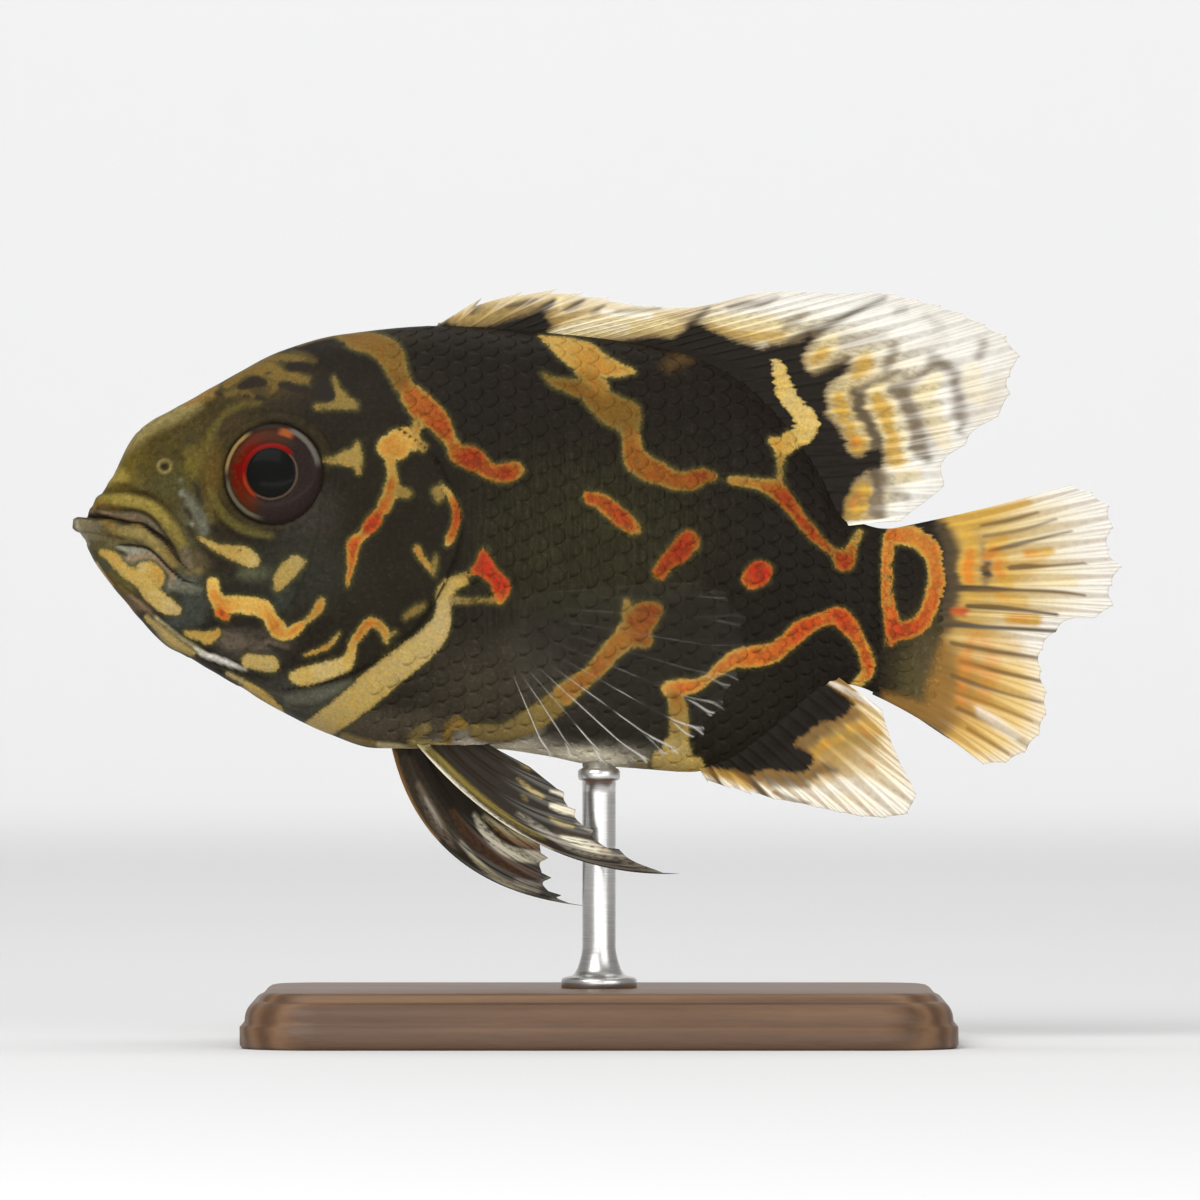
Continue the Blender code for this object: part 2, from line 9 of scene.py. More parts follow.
import bpy
import numpy as np
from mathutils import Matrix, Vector


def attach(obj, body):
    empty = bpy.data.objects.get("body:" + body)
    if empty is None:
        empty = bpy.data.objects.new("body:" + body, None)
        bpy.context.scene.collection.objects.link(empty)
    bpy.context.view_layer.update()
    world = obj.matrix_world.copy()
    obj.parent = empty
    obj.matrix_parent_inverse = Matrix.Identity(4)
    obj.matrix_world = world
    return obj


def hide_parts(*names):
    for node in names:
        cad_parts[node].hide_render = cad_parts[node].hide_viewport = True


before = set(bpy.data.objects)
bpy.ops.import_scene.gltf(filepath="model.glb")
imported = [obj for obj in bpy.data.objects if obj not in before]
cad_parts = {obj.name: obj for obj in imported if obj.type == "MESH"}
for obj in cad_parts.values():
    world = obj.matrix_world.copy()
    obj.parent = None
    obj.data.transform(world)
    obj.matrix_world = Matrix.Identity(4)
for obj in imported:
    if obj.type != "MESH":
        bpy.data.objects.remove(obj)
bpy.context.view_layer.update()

MM = 0.001

# Body: side outline, half width and squareness of the section, from the snout to the tail fin's base
FLESH_END_X = 31.5  # scaly skin runs this far out over the tail fin
BACK = (
    (-47.0, 46.9), (-46.5, 47.5), (-45.9, 47.8), (-45.4, 48.2), (-44.9, 49.4), (-44.2, 50.5), (-43.5, 51.8),
    (-42.3, 54.2), (-40.9, 55.75), (-37.4, 57.7), (-33.0, 60.2), (-28.7, 62.4), (-23.3, 63.9),
    (-14.3, 64.7), (-5.0, 64.1), (3.0, 63.2), (8.5, 62.0), (12.5, 60.2), (16.6, 56.5), (19.9, 51.8),
    (22.2, 47.6), (26.2, 46.4), (31.5, 47.4),
)
BELLY = (
    (-47.0, 46.5), (-46.0, 44.2), (-44.9, 42.4), (-42.8, 39.8), (-40.6, 37.2), (-39.0, 35.65),
    (-37.4, 34.85), (-33.0, 32.3), (-28.7, 29.8), (-24.4, 27.75), (-20.1, 26.45), (-15.2, 26.4),
    (-10.0, 26.4), (-5.0, 25.8), (-1.0, 25.0), (3.7, 24.6), (8.2, 24.3), (11.5, 25.1), (14.5, 27.0),
    (17.2, 29.2), (19.9, 31.4), (22.2, 32.2), (26.2, 30.7), (31.5, 27.4),
)
HALF_WIDTH = (
    (-47.0, 0.3), (-46.4, 1.1), (-45.4, 2.1), (-44.0, 2.9), (-42.0, 3.6), (-38.0, 4.7), (-33.0, 5.7),
    (-28.0, 6.5), (-20.0, 7.5), (-13.0, 7.9), (-7.0, 7.8), (0.0, 7.2), (6.0, 6.3), (12.0, 5.0), (17.0, 3.6),
    (21.0, 2.5), (24.5, 1.7), (26.2, 0.8), (28.5, 0.42), (31.5, 0.1),
)
SQUARENESS = ((-47.0, 2.2), (-31.0, 2.35), (-12.0, 2.15), (3.0, 1.9), (14.0, 1.65), (24.0, 1.65), (31.5, 1.9))
COAT_DEPTH = 0.12  # the bare skin lies this deep inside the body

# Skin rings: how far apart they are from each place on
RING_STEPS = ((-47.0, 0.13), (-36.0, 0.17), (-11.0, 0.3), (FLESH_END_X, 0.3))
SKIN_SIDES = 256

# Gill cover
COVER_REAR = (
    (-17.9, 55.2), (-15.0, 52.9), (-12.9, 49.3), (-12.3, 46.2), (-13.2, 42.9), (-14.8, 39.7), (-17.3, 36.5),
    (-20.8, 34.0), (-24.7, 32.5), (-28.3, 31.9),
)
COVER_FRONT = (
    (-28.3, 31.9), (-26.6, 36.3), (-24.2, 40.8), (-22.9, 45.3), (-22.7, 50.4), (-20.9, 54.0), (-17.9, 55.2),
)
COVER_LIFT = 0.42
COVER_FADE = 4.5  # the cover's edge sinks back into the head over this length
CHEEK_EDGE = ((-26.3, 54.5), (-25.0, 49.5), (-25.7, 44.0), (-27.6, 39.5), (-30.5, 36.2), (-34.5, 34.6))
CHEEK_LIFT = 0.16
COVER_GROOVE, COVER_GROOVE_WIDE = 0.10, 0.5  # behind the cover's edge
COVER_HOLLOW, COVER_HOLLOW_WIDE = 0.05, 1.2  # along the cover's front
CHEEK_FADE = 2.5
CHEEK_GROOVE, CHEEK_GROOVE_WIDE = 0.04, 0.5

# Eye
EYE_X, EYE_Z = -29.2, 51.2
SOCKET_DEPTH = 2.2
SOCKET_INNER, SOCKET_OUTER = 4.0, 4.5  # the socket's wall lies between these two radii
EYE_RIMS = ((0.16, 4.95, 0.3), (-0.08, 5.45, 0.2), (0.12, 5.95, 0.35))  # (height, radius, half width)

# Nostril
NOSTRIL_X, NOSTRIL_Z = -39.0, 51.9
NOSTRIL_RING, NOSTRIL_HOLE = 0.58, 0.36
NOSTRIL_RAISE, NOSTRIL_RIM_WIDE, NOSTRIL_DEPTH = 0.14, 0.16, 0.35

# Lips and the folds round the mouth: each line is ((x, z, share of the height), ...)
UPPER_LIP = (
    (-45.5, 48.3, 0.6), (-44.9, 48.55, 0.9), (-43.5, 48.8, 1.0), (-42.0, 48.65, 1.0), (-40.6, 48.25, 1.0),
    (-39.6, 47.7, 1.0), (-38.8, 46.9, 1.0), (-38.1, 46.0, 1.0), (-37.5, 45.1, 1.0), (-37.0, 44.1, 0.9),
    (-36.7, 43.2, 0.5),
)
LOWER_LIP = (
    (-47.6, 46.7, 1.0), (-46.0, 46.75, 1.0), (-44.0, 46.35, 1.0), (-42.0, 46.0, 1.0), (-40.8, 45.6, 1.0),
    (-39.8, 44.8, 1.0), (-38.8, 43.9, 0.9), (-37.8, 43.0, 0.8), (-36.6, 42.1, 0.5), (-35.6, 41.7, 0.1),
)
INNER_FOLD = (
    (-45.4, 47.9, 0.3), (-44.2, 47.75, 0.6), (-42.4, 47.4, 1.0), (-41.0, 47.15, 1.0), (-40.2, 46.7, 1.0),
    (-39.3, 45.9, 1.0), (-38.6, 45.1, 1.0), (-38.0, 44.2, 0.8), (-37.4, 43.2, 0.3),
)
SLIT = (
    (-47.2, 47.55, 0.8), (-45.0, 47.4, 1.0), (-43.6, 47.2, 0.7), (-42.0, 46.85, 0.7), (-41.0, 46.75, 0.8),
    (-40.2, 46.2, 1.2), (-39.2, 45.5, 1.2), (-38.5, 44.6, 0.9), (-37.7, 43.5, 0.6), (-36.8, 42.6, 0.4),
)
LIP_CREASE = (
    (-44.2, 49.6, 0.3), (-42.6, 49.65, 0.7), (-41.2, 49.4, 1.0), (-40.0, 48.95, 1.0), (-39.0, 48.2, 1.0),
    (-38.2, 47.3, 1.1), (-37.5, 46.5, 1.1), (-36.9, 45.7, 1.2), (-36.2, 45.0, 1.2), (-35.2, 44.2, 1.1),
    (-34.3, 43.5, 0.8),
)
CHIN_CREASE = (
    (-43.4, 44.85, 0.3), (-42.6, 44.85, 0.9), (-41.4, 44.75, 1.0), (-40.4, 44.5, 1.0), (-39.7, 43.95, 1.0),
    (-38.8, 43.0, 1.0), (-38.0, 42.25, 1.0), (-37.2, 41.65, 1.0), (-36.4, 41.35, 0.9), (-35.5, 41.1, 0.6),
)
# Painted shade: a dark line along the mouth's slit and along the creases of the lip and chin
CREASE_SHADE = ((SLIT, 0.12, 1.0), (LIP_CREASE, 0.07, 0.6), (CHIN_CREASE, 0.12, 0.9))  # width, strength
ROUND_FOLDS = ((0.52, 0.78, UPPER_LIP), (0.46, 0.72, LOWER_LIP), (0.30, 0.46, INNER_FOLD))

# Ridges and grooves: (height, half width, line)
FOLDS = (
    (0.16, 0.4, ((-44.2, 50.5, 0.6), (-42.6, 50.25, 1.0), (-41.0, 49.9, 1.0), (-39.4, 49.2, 0.8),
        (-38.2, 48.2, 0.4))),
    (-0.3, 0.17, LIP_CREASE), (-0.55, 0.17, SLIT), (-0.4, 0.15, CHIN_CREASE),
    (-0.2, 0.15, ((-44.6, 48.1, 0.5), (-43.0, 47.9, 0.8), (-41.2, 47.8, 1.0), (-40.3, 47.4, 1.0),
        (-39.5, 46.5, 1.0), (-38.8, 45.6, 1.0), (-38.1, 44.6, 0.7))),
    (-0.14, 0.16, ((-44.8, 46.1, 0.6), (-43.6, 45.6, 1.0), (-42.4, 45.3, 0.6))),
    (-0.22, 0.22, ((-46.9, 45.6, 0.4), (-46.0, 44.9, 1.0), (-44.9, 44.9, 0.7), (-43.9, 44.6, 0.3))),
    (-0.2, 0.16, ((-44.8, 42.7, 0.6), (-43.2, 41.2, 1.0), (-41.4, 39.9, 1.0), (-39.6, 38.3, 1.0),
        (-38.0, 36.9, 1.0), (-36.6, 35.6, 1.0), (-35.0, 34.5, 1.0), (-33.0, 33.7, 1.0), (-31.0, 32.9, 0.7),
        (-28.5, 32.0, 0.3))),
    (0.16, 0.22, ((-40.3, 38.7, 0.6), (-38.5, 37.1, 1.0), (-37.0, 36.0, 1.0), (-35.6, 35.2, 1.0),
        (-33.6, 34.4, 1.0), (-31.6, 33.6, 0.6))),
    (-0.16, 0.16, ((-34.2, 33.6, 0.6), (-32.0, 32.6, 1.0), (-29.5, 31.7, 1.0), (-27.0, 31.2, 1.0),
        (-24.5, 31.6, 0.5))),
    (-0.14, 0.16, ((-32.4, 31.9, 0.5), (-30.0, 31.0, 1.0), (-27.4, 30.2, 1.0), (-24.6, 30.2, 0.6))),
    (-0.14, 0.22, ((-35.2, 41.4, 0.4), (-35.8, 40.0, 1.0), (-36.2, 38.6, 0.7))),
    (0.14, 0.35, ((-34.9, 49.4, 0.8), (-34.3, 47.8, 1.0), (-33.0, 46.5, 1.0), (-31.3, 45.7, 1.0),
        (-29.4, 45.4, 0.8))),
    (-0.12, 0.25, ((-35.9, 49.0, 0.6), (-35.3, 47.0, 1.0), (-34.3, 45.9, 0.6))),
    (0.1, 0.3, ((-35.3, 52.5, 0.5), (-34.9, 54.6, 1.0), (-33.6, 56.3, 1.0), (-31.6, 57.3, 1.0),
        (-29.4, 57.6, 0.6))),
    (-0.12, 0.2, ((-41.5, 55.3, 0.4), (-40.5, 53.6, 0.6), (-41.6, 52.0, 0.4))),
)

# The head's slight unevenness, and its pores: (x, z, radius)
HEAD_WAVES = 0.035
PORE_DEPTH = 0.10
PORES = (
    (-37.4, 49.6, 0.22), (-36.6, 46.9, 0.2), (-40.9, 51.6, 0.2), (-36.8, 53.6, 0.18), (-38.3, 55.2, 0.18),
    (-34.4, 58.0, 0.2), (-31.3, 45.0, 0.16), (-26.2, 46.2, 0.16), (-42.2, 45.0, 0.16), (-39.6, 40.6, 0.18),
    (-37.8, 40.5, 0.2), (-34.8, 37.8, 0.18), (-31.0, 36.6, 0.18), (-24.6, 52.9, 0.16), (-29.6, 59.5, 0.2),
)

# Marks of the flank and the head: name -> (glow, ((x, z, radius, warmth), ...)). Warmth runs from 0, cream,
# through yellow, amber and orange to 1, red.
MARKS = {
    "nape_band": (0.31, ((-23.4, 63.9, 0.5, 0.4), (-21.8, 63.2, 0.95, 0.4), (-20.2, 62.9, 1.1, 0.42),
        (-18.7, 61.9, 1.25, 0.4), (-18.0, 60.2, 1.0, 0.42), (-17.5, 59.1, 0.85, 0.5))),
    "shoulder_band": (0.66, ((-17.2, 58.9, 0.7, 0.52), (-16.6, 58.0, 1.15, 0.62), (-15.6, 57.0, 1.2, 0.66),
        (-14.6, 56.1, 1.1, 0.7), (-13.8, 55.0, 0.85, 0.72), (-13.2, 54.0, 0.65, 0.6),
        (-12.6, 53.0, 0.9, 0.72), (-11.4, 52.6, 1.1, 0.85), (-10.3, 51.8, 0.85, 0.72),
        (-9.2, 51.2, 0.8, 0.72), (-8.2, 51.3, 0.95, 0.8), (-7.3, 51.6, 0.7, 0.62))),
    "gill_blob": (0.84, ((-19.2, 53.6, 0.75, 0.42), (-18.4, 53.6, 1.3, 0.48), (-17.4, 54.3, 1.1, 0.36),
        (-16.6, 54.0, 0.8, 0.36))),
    "gill_blob_link": (0.6, ((-16.6, 54.6, 0.5, 0.4), (-16.2, 55.6, 0.5, 0.5), (-16.2, 56.4, 0.5, 0.56))),
    "gill_blob_lobe": (0.42, ((-16.3, 53.9, 0.6, 0.3), (-15.8, 53.6, 0.5, 0.3))),
    "gill_stem": (0.68, ((-18.7, 52.5, 0.5, 0.38), (-18.5, 51.2, 0.5, 0.42), (-18.5, 50.4, 0.6, 0.6),
        (-18.7, 49.4, 0.7, 0.55), (-19.2, 48.3, 0.68, 0.6))),
    "gill_stem_red": (0.88, ((-19.5, 47.9, 0.5, 0.7), (-20.1, 47.0, 0.68, 0.92), (-20.6, 46.4, 0.66, 0.9),
        (-21.2, 45.7, 0.45, 0.6), (-21.9, 45.0, 0.66, 0.75), (-22.1, 43.9, 0.52, 0.7),
        (-22.2, 42.9, 0.36, 0.7), (-22.4, 41.8, 0.26, 0.66), (-22.5, 41.1, 0.12, 0.6))),
    "gill_stem_lobe": (0.4, ((-18.1, 49.7, 0.6, 0.3), (-17.2, 49.4, 0.5, 0.3))),
    "temple_patch": (0.48, ((-24.6, 52.4, 0.2, 0.24), (-23.0, 52.5, 0.62, 0.24),
        (-22.0, 52.7, 0.95, 0.24))),
    "temple_tips": (0.48, ((-21.6, 53.9, 0.25, 0.24), (-21.7, 52.7, 0.6, 0.24), (-21.5, 51.3, 0.22, 0.24))),
    "brow_branch": (0.36, ((-25.3, 57.2, 0.3, 0.26), (-23.9, 57.3, 0.42, 0.3), (-22.9, 57.6, 0.68, 0.26),
        (-21.8, 57.3, 0.4, 0.26))),
    "brow_twig": (0.34, ((-22.9, 57.9, 0.6, 0.24), (-23.5, 58.9, 0.34, 0.24), (-23.8, 59.9, 0.18, 0.24))),
    "crown": (0.26, ((-33.4, 59.3, 0.5, 0.32), (-31.6, 60.5, 0.5, 0.3), (-29.8, 60.7, 0.8, 0.28),
        (-28.6, 60.0, 0.65, 0.3), (-27.0, 59.8, 0.45, 0.3), (-25.7, 59.4, 0.25, 0.3))),
    "crown_top": (0.24, ((-30.0, 61.6, 0.4, 0.3), (-28.2, 61.7, 0.4, 0.3), (-26.4, 61.5, 0.3, 0.3))),
    "cheek_blob": (0.68, ((-35.9, 45.5, 0.15, 0.3), (-35.0, 45.0, 0.3, 0.22), (-34.0, 44.5, 0.42, 0.3),
        (-32.9, 44.2, 0.65, 0.3), (-31.8, 43.9, 0.85, 0.2), (-31.1, 43.5, 0.75, 0.14))),
    "cheek_bead": (0.58, ((-26.3, 43.3, 0.2, 0.2), (-27.1, 43.2, 0.75, 0.16), (-27.9, 42.4, 0.85, 0.22),
        (-28.5, 41.6, 0.68, 0.24), (-28.8, 41.0, 0.35, 0.2))),
    "cheek_band": (1.0, ((-34.6, 41.4, 0.6, 0.28), (-34.5, 40.5, 0.62, 0.46), (-33.9, 39.6, 0.8, 0.5),
        (-32.6, 39.5, 0.8, 0.38), (-31.2, 39.4, 0.85, 0.34), (-30.0, 39.0, 0.8, 0.4),
        (-29.3, 38.1, 0.72, 0.52), (-28.8, 37.3, 0.85, 0.52), (-28.2, 36.8, 0.62, 0.46),
        (-27.3, 37.2, 0.55, 0.52), (-26.4, 37.9, 0.3, 0.6))),
    "cheek_spot": (1.0, ((-33.9, 38.8, 0.6, 0.8), (-33.5, 38.4, 0.45, 0.85))),
    "cheek_band_end": (0.72, ((-26.3, 38.0, 0.28, 0.52), (-25.6, 38.5, 0.32, 0.5),
        (-25.1, 39.2, 0.42, 0.55), (-24.8, 39.9, 0.32, 0.46))),
    "chin_blotch": (0.8, ((-37.1, 37.0, 0.25, 0.36), (-36.0, 36.7, 0.45, 0.4), (-35.0, 36.5, 0.58, 0.36),
        (-34.3, 36.9, 0.4, 0.5))),
    "throat_bead": (0.72, ((-31.4, 34.4, 0.72, 0.14), (-29.5, 34.15, 0.82, 0.16))),
    "lower_cover": (0.8, ((-27.2, 33.0, 0.65, 0.16), (-26.2, 33.0, 0.95, 0.22), (-25.0, 33.4, 0.85, 0.12),
        (-23.7, 33.8, 0.8, 0.12), (-22.7, 34.2, 0.72, 0.2), (-22.2, 35.0, 0.5, 0.3),
        (-22.0, 36.0, 0.4, 0.48))),
    "lower_hook": (0.82, ((-21.9, 36.2, 0.42, 0.56), (-21.1, 37.3, 0.46, 0.62), (-20.4, 37.9, 0.48, 0.6),
        (-19.6, 37.6, 0.46, 0.6), (-19.1, 36.8, 0.42, 0.52), (-19.0, 36.2, 0.3, 0.44))),
    "lower_hook_end": (0.5, ((-19.0, 36.6, 0.26, 0.44), (-18.3, 37.0, 0.22, 0.4))),
    "cover_streak": (0.78, ((-26.4, 34.9, 0.12, 0.52), (-25.3, 35.3, 0.22, 0.56), (-24.2, 35.8, 0.26, 0.6),
        (-23.6, 36.5, 0.24, 0.5), (-23.2, 37.0, 0.1, 0.4))),
    "cover_smudge": (0.3, ((-17.3, 38.4, 0.3, 0.3), (-16.5, 38.9, 0.4, 0.3), (-15.8, 39.3, 0.35, 0.3))),
    "cover_bead": (0.36, ((-14.5, 49.6, 0.5, 0.22), (-14.3, 49.1, 0.5, 0.24))),
    "cover_curl": (0.78, ((-14.1, 50.2, 0.2, 0.3), (-13.5, 49.5, 0.3, 0.5), (-13.0, 48.6, 0.36, 0.74),
        (-12.7, 47.5, 0.44, 0.88), (-12.9, 46.4, 0.4, 0.84), (-13.3, 45.4, 0.4, 0.66),
        (-13.6, 44.8, 0.22, 0.4))),
    "cover_tick": (0.7, ((-16.3, 44.5, 0.34, 0.56), (-15.9, 43.8, 0.34, 0.6), (-15.4, 43.1, 0.3, 0.5),
        (-15.0, 42.5, 0.2, 0.4))),
    "cover_tick_end": (0.32, ((-14.6, 43.9, 0.2, 0.24), (-14.7, 43.0, 0.3, 0.26),
        (-14.8, 42.2, 0.25, 0.2))),
    "jaw_patch": (0.76, ((-44.6, 44.2, 0.35, 0.34), (-43.8, 43.8, 0.55, 0.3), (-43.0, 42.9, 0.6, 0.24),
        (-42.2, 42.3, 0.6, 0.2), (-41.4, 41.9, 0.75, 0.24), (-40.7, 41.3, 0.85, 0.22),
        (-40.2, 40.6, 0.85, 0.19), (-39.5, 39.9, 0.85, 0.16), (-38.7, 39.35, 0.8, 0.12),
        (-38.0, 39.0, 0.55, 0.12))),
    "jaw_patch_upper": (0.76, ((-40.9, 42.8, 0.6, 0.12), (-40.1, 42.5, 0.8, 0.3), (-39.5, 41.9, 0.6, 0.36),
        (-39.6, 41.2, 0.4, 0.34))),
    "chin_edge": (0.7, ((-40.7, 38.3, 0.2, 0.16), (-39.5, 37.3, 0.4, 0.14), (-38.5, 36.4, 0.52, 0.12),
        (-37.5, 35.7, 0.4, 0.14), (-36.4, 35.1, 0.25, 0.2))),
    "throat_edge": (0.78, ((-33.4, 33.3, 0.2, 0.02), (-32.4, 32.8, 0.25, 0.1), (-31.3, 32.0, 0.45, 0.2),
        (-30.2, 31.3, 0.48, 0.24), (-29.3, 30.6, 0.36, 0.22), (-28.6, 29.9, 0.3, 0.12))),
    "shoulder_crescent": (0.71, ((-12.1, 41.6, 0.45, 0.26), (-13.2, 41.3, 0.7, 0.22),
        (-13.9, 40.3, 0.75, 0.16), (-13.9, 39.0, 0.7, 0.1), (-14.1, 37.9, 0.9, 0.08),
        (-14.8, 36.7, 1.15, 0.1), (-16.1, 35.5, 1.3, 0.12), (-17.7, 34.3, 1.4, 0.14),
        (-19.3, 33.0, 1.4, 0.16), (-20.9, 31.6, 1.4, 0.18), (-22.6, 30.2, 1.35, 0.18),
        (-24.4, 28.9, 1.25, 0.12), (-26.0, 28.0, 1.0, 0.06))),
    "crescent_link": (0.5, ((-12.7, 41.8, 0.4, 0.2), (-11.7, 42.1, 0.3, 0.4))),
    "crescent_foot": (0.4, ((-13.2, 39.9, 0.4, 0.1), (-12.0, 39.8, 0.3, 0.2), (-10.8, 39.9, 0.22, 0.3),
        (-9.6, 39.8, 0.3, 0.5))),
    "shoulder_flame": (1.0, ((-10.2, 44.5, 0.25, 0.9), (-10.3, 43.6, 0.62, 0.98), (-10.2, 42.9, 0.85, 1.0),
        (-9.4, 42.0, 0.75, 0.95), (-8.8, 41.2, 0.85, 1.0), (-8.8, 40.4, 0.7, 0.85),
        (-8.9, 39.8, 0.4, 0.7))),
    "shoulder_flame_foot": (1.0, ((-10.4, 43.1, 0.6, 1.0), (-11.0, 42.6, 0.5, 1.0),
        (-11.5, 42.4, 0.25, 0.9))),
    "saddle": (0.75, ((-5.3, 63.6, 0.15, 0.28), (-4.2, 63.1, 0.6, 0.3), (-2.8, 62.4, 1.15, 0.34),
        (-1.4, 61.7, 1.45, 0.42), (0.1, 61.0, 1.15, 0.44), (1.6, 60.6, 0.75, 0.42),
        (3.1, 60.4, 0.3, 0.42))),
    "saddle_link": (0.5, ((-1.3, 60.3, 0.8, 0.42), (-0.5, 59.5, 0.9, 0.42), (0.1, 58.6, 1.0, 0.42))),
    "flank_band": (0.3, ((-5.1, 60.2, 0.2, 0.36), (-4.2, 59.5, 0.5, 0.4), (-2.8, 59.1, 0.7, 0.42),
        (-1.2, 58.7, 0.95, 0.44), (0.2, 57.6, 1.25, 0.44), (1.7, 56.7, 1.5, 0.4), (2.8, 56.6, 1.05, 0.38),
        (2.7, 55.2, 1.0, 0.4))),
    "flank_chain": (0.5, ((2.8, 54.8, 0.9, 0.5), (3.0, 53.7, 0.9, 0.56), (3.2, 52.6, 1.1, 0.56),
        (4.1, 51.8, 1.2, 0.56), (5.5, 51.2, 1.05, 0.6), (7.0, 50.6, 0.9, 0.6), (8.2, 50.6, 0.95, 0.64),
        (9.3, 51.0, 0.75, 0.7), (10.3, 51.0, 0.4, 0.66))),
    "rear_band": (0.66, ((11.8, 50.7, 0.4, 0.5), (13.0, 50.5, 0.5, 0.54), (14.4, 50.3, 0.55, 0.54),
        (15.7, 49.9, 0.85, 0.64), (16.6, 49.1, 0.75, 0.84), (17.4, 48.1, 0.65, 0.76),
        (18.2, 47.0, 0.62, 0.78), (19.1, 46.0, 0.58, 0.8), (20.0, 45.0, 0.5, 0.76),
        (20.9, 44.3, 0.35, 0.7))),
    "rear_blob": (0.74, ((21.4, 44.1, 0.5, 0.7), (22.0, 43.4, 0.98, 0.8), (22.6, 44.3, 0.6, 0.7),
        (23.0, 45.2, 0.4, 0.56), (23.5, 46.0, 0.35, 0.44))),
    "rump_stem": (0.5, ((16.2, 50.4, 0.4, 0.44), (16.3, 51.8, 0.38, 0.36), (16.3, 52.9, 0.55, 0.4))),
    "rump_patch": (0.95, ((16.5, 53.6, 0.85, 0.34), (17.6, 54.5, 0.95, 0.26), (18.8, 55.4, 1.05, 0.18),
        (18.5, 56.5, 0.95, 0.15), (17.5, 57.5, 0.85, 0.15), (16.7, 58.8, 0.9, 0.2), (16.3, 60.1, 0.72, 0.2),
        (15.8, 61.4, 0.32, 0.12))),
    "rump_corner": (0.85, ((15.6, 54.2, 0.45, 0.42), (16.6, 53.7, 0.7, 0.4))),
    "upper_bar": (0.74, ((-0.9, 49.1, 0.62, 0.76), (0.2, 48.7, 0.8, 0.68), (1.3, 47.8, 0.85, 0.76),
        (2.4, 46.9, 0.82, 0.78), (3.2, 46.3, 0.62, 0.66))),
    "middle_bar": (0.68, ((5.4, 42.3, 0.68, 0.78), (6.2, 43.4, 0.82, 0.84), (7.3, 44.3, 1.0, 0.9),
        (8.1, 45.2, 0.95, 0.84), (8.5, 44.8, 0.6, 0.76))),
    "rear_spot": (1.04, ((13.7, 41.8, 0.95, 0.84), (14.4, 42.3, 1.15, 1.0), (14.8, 42.6, 0.85, 0.95))),
    "lower_blob": (0.46, ((5.0, 39.0, 0.8, 0.7), (3.9, 38.3, 1.4, 0.62), (3.4, 37.1, 1.35, 0.58),
        (4.2, 36.2, 0.65, 0.54))),
    "lower_blob_top": (0.42, ((2.6, 38.8, 0.7, 0.4), (2.5, 39.7, 0.4, 0.3))),
    "lower_band": (0.58, ((2.6, 37.0, 1.1, 0.48), (1.8, 36.0, 1.05, 0.5), (0.9, 35.1, 0.95, 0.52),
        (0.2, 34.2, 0.9, 0.54), (-0.8, 33.2, 0.82, 0.54), (-2.0, 32.3, 0.95, 0.52),
        (-3.2, 31.4, 1.05, 0.44))),
    "belly_band": (0.36, ((-4.2, 30.4, 1.1, 0.26), (-5.8, 29.3, 1.15, 0.18), (-7.2, 28.5, 1.0, 0.12),
        (-9.0, 27.9, 0.85, 0.12), (-10.9, 28.1, 0.72, 0.16))),
    "belly_tip": (0.52, ((-12.2, 28.7, 0.45, 0.4), (-13.1, 28.5, 0.34, 0.46), (-13.8, 27.7, 0.26, 0.4))),
    "vent_band": (1.12, ((6.2, 32.0, 0.68, 0.5), (7.3, 32.1, 0.8, 0.6), (8.6, 32.2, 0.62, 0.62),
        (9.8, 32.9, 0.46, 0.62), (10.9, 33.8, 0.6, 0.62), (12.2, 34.6, 0.85, 0.62),
        (13.8, 34.8, 0.98, 0.66), (15.4, 35.1, 0.95, 0.68), (16.8, 36.0, 0.85, 0.72),
        (18.1, 37.2, 0.88, 0.8), (19.4, 37.9, 0.7, 0.8), (20.6, 38.3, 0.7, 0.8), (21.5, 38.5, 0.85, 0.84),
        (22.4, 37.6, 0.88, 0.84), (23.2, 36.5, 0.65, 0.72), (23.8, 35.3, 0.62, 0.7),
        (24.2, 34.3, 0.7, 0.74), (24.1, 33.3, 0.6, 0.68), (23.4, 32.6, 0.5, 0.46),
        (22.9, 32.1, 0.45, 0.36))),
    "vent_stem": (0.56, ((6.8, 31.3, 0.8, 0.52), (7.1, 30.0, 0.9, 0.36), (7.2, 28.8, 0.9, 0.28),
        (7.2, 27.7, 0.95, 0.22))),
    "vent_foot": (0.8, ((7.0, 26.6, 1.3, 0.16), (6.9, 25.6, 1.5, 0.18), (5.4, 25.4, 0.9, 0.1),
        (8.6, 25.0, 0.9, 0.2))),
    "ring_front": (1.1, ((26.1, 45.5, 0.6, 0.66), (25.9, 43.5, 0.52, 0.68), (25.9, 41.5, 0.55, 0.7),
        (26.0, 39.8, 0.58, 0.74), (26.3, 38.2, 0.7, 0.8), (26.5, 37.0, 0.8, 0.84), (26.2, 36.2, 0.5, 0.84),
        (25.9, 35.6, 0.2, 0.8))),
    "ring_back": (1.04, ((26.4, 45.7, 0.8, 0.64), (27.6, 45.7, 0.95, 0.56), (28.9, 45.3, 0.95, 0.56),
        (29.8, 44.3, 0.85, 0.58), (30.3, 42.9, 0.76, 0.6), (30.3, 41.4, 0.76, 0.62),
        (30.0, 40.0, 0.76, 0.66), (29.5, 38.6, 0.76, 0.7), (28.7, 37.6, 0.85, 0.76),
        (27.6, 37.2, 0.85, 0.8), (26.7, 37.1, 0.75, 0.84))),
}

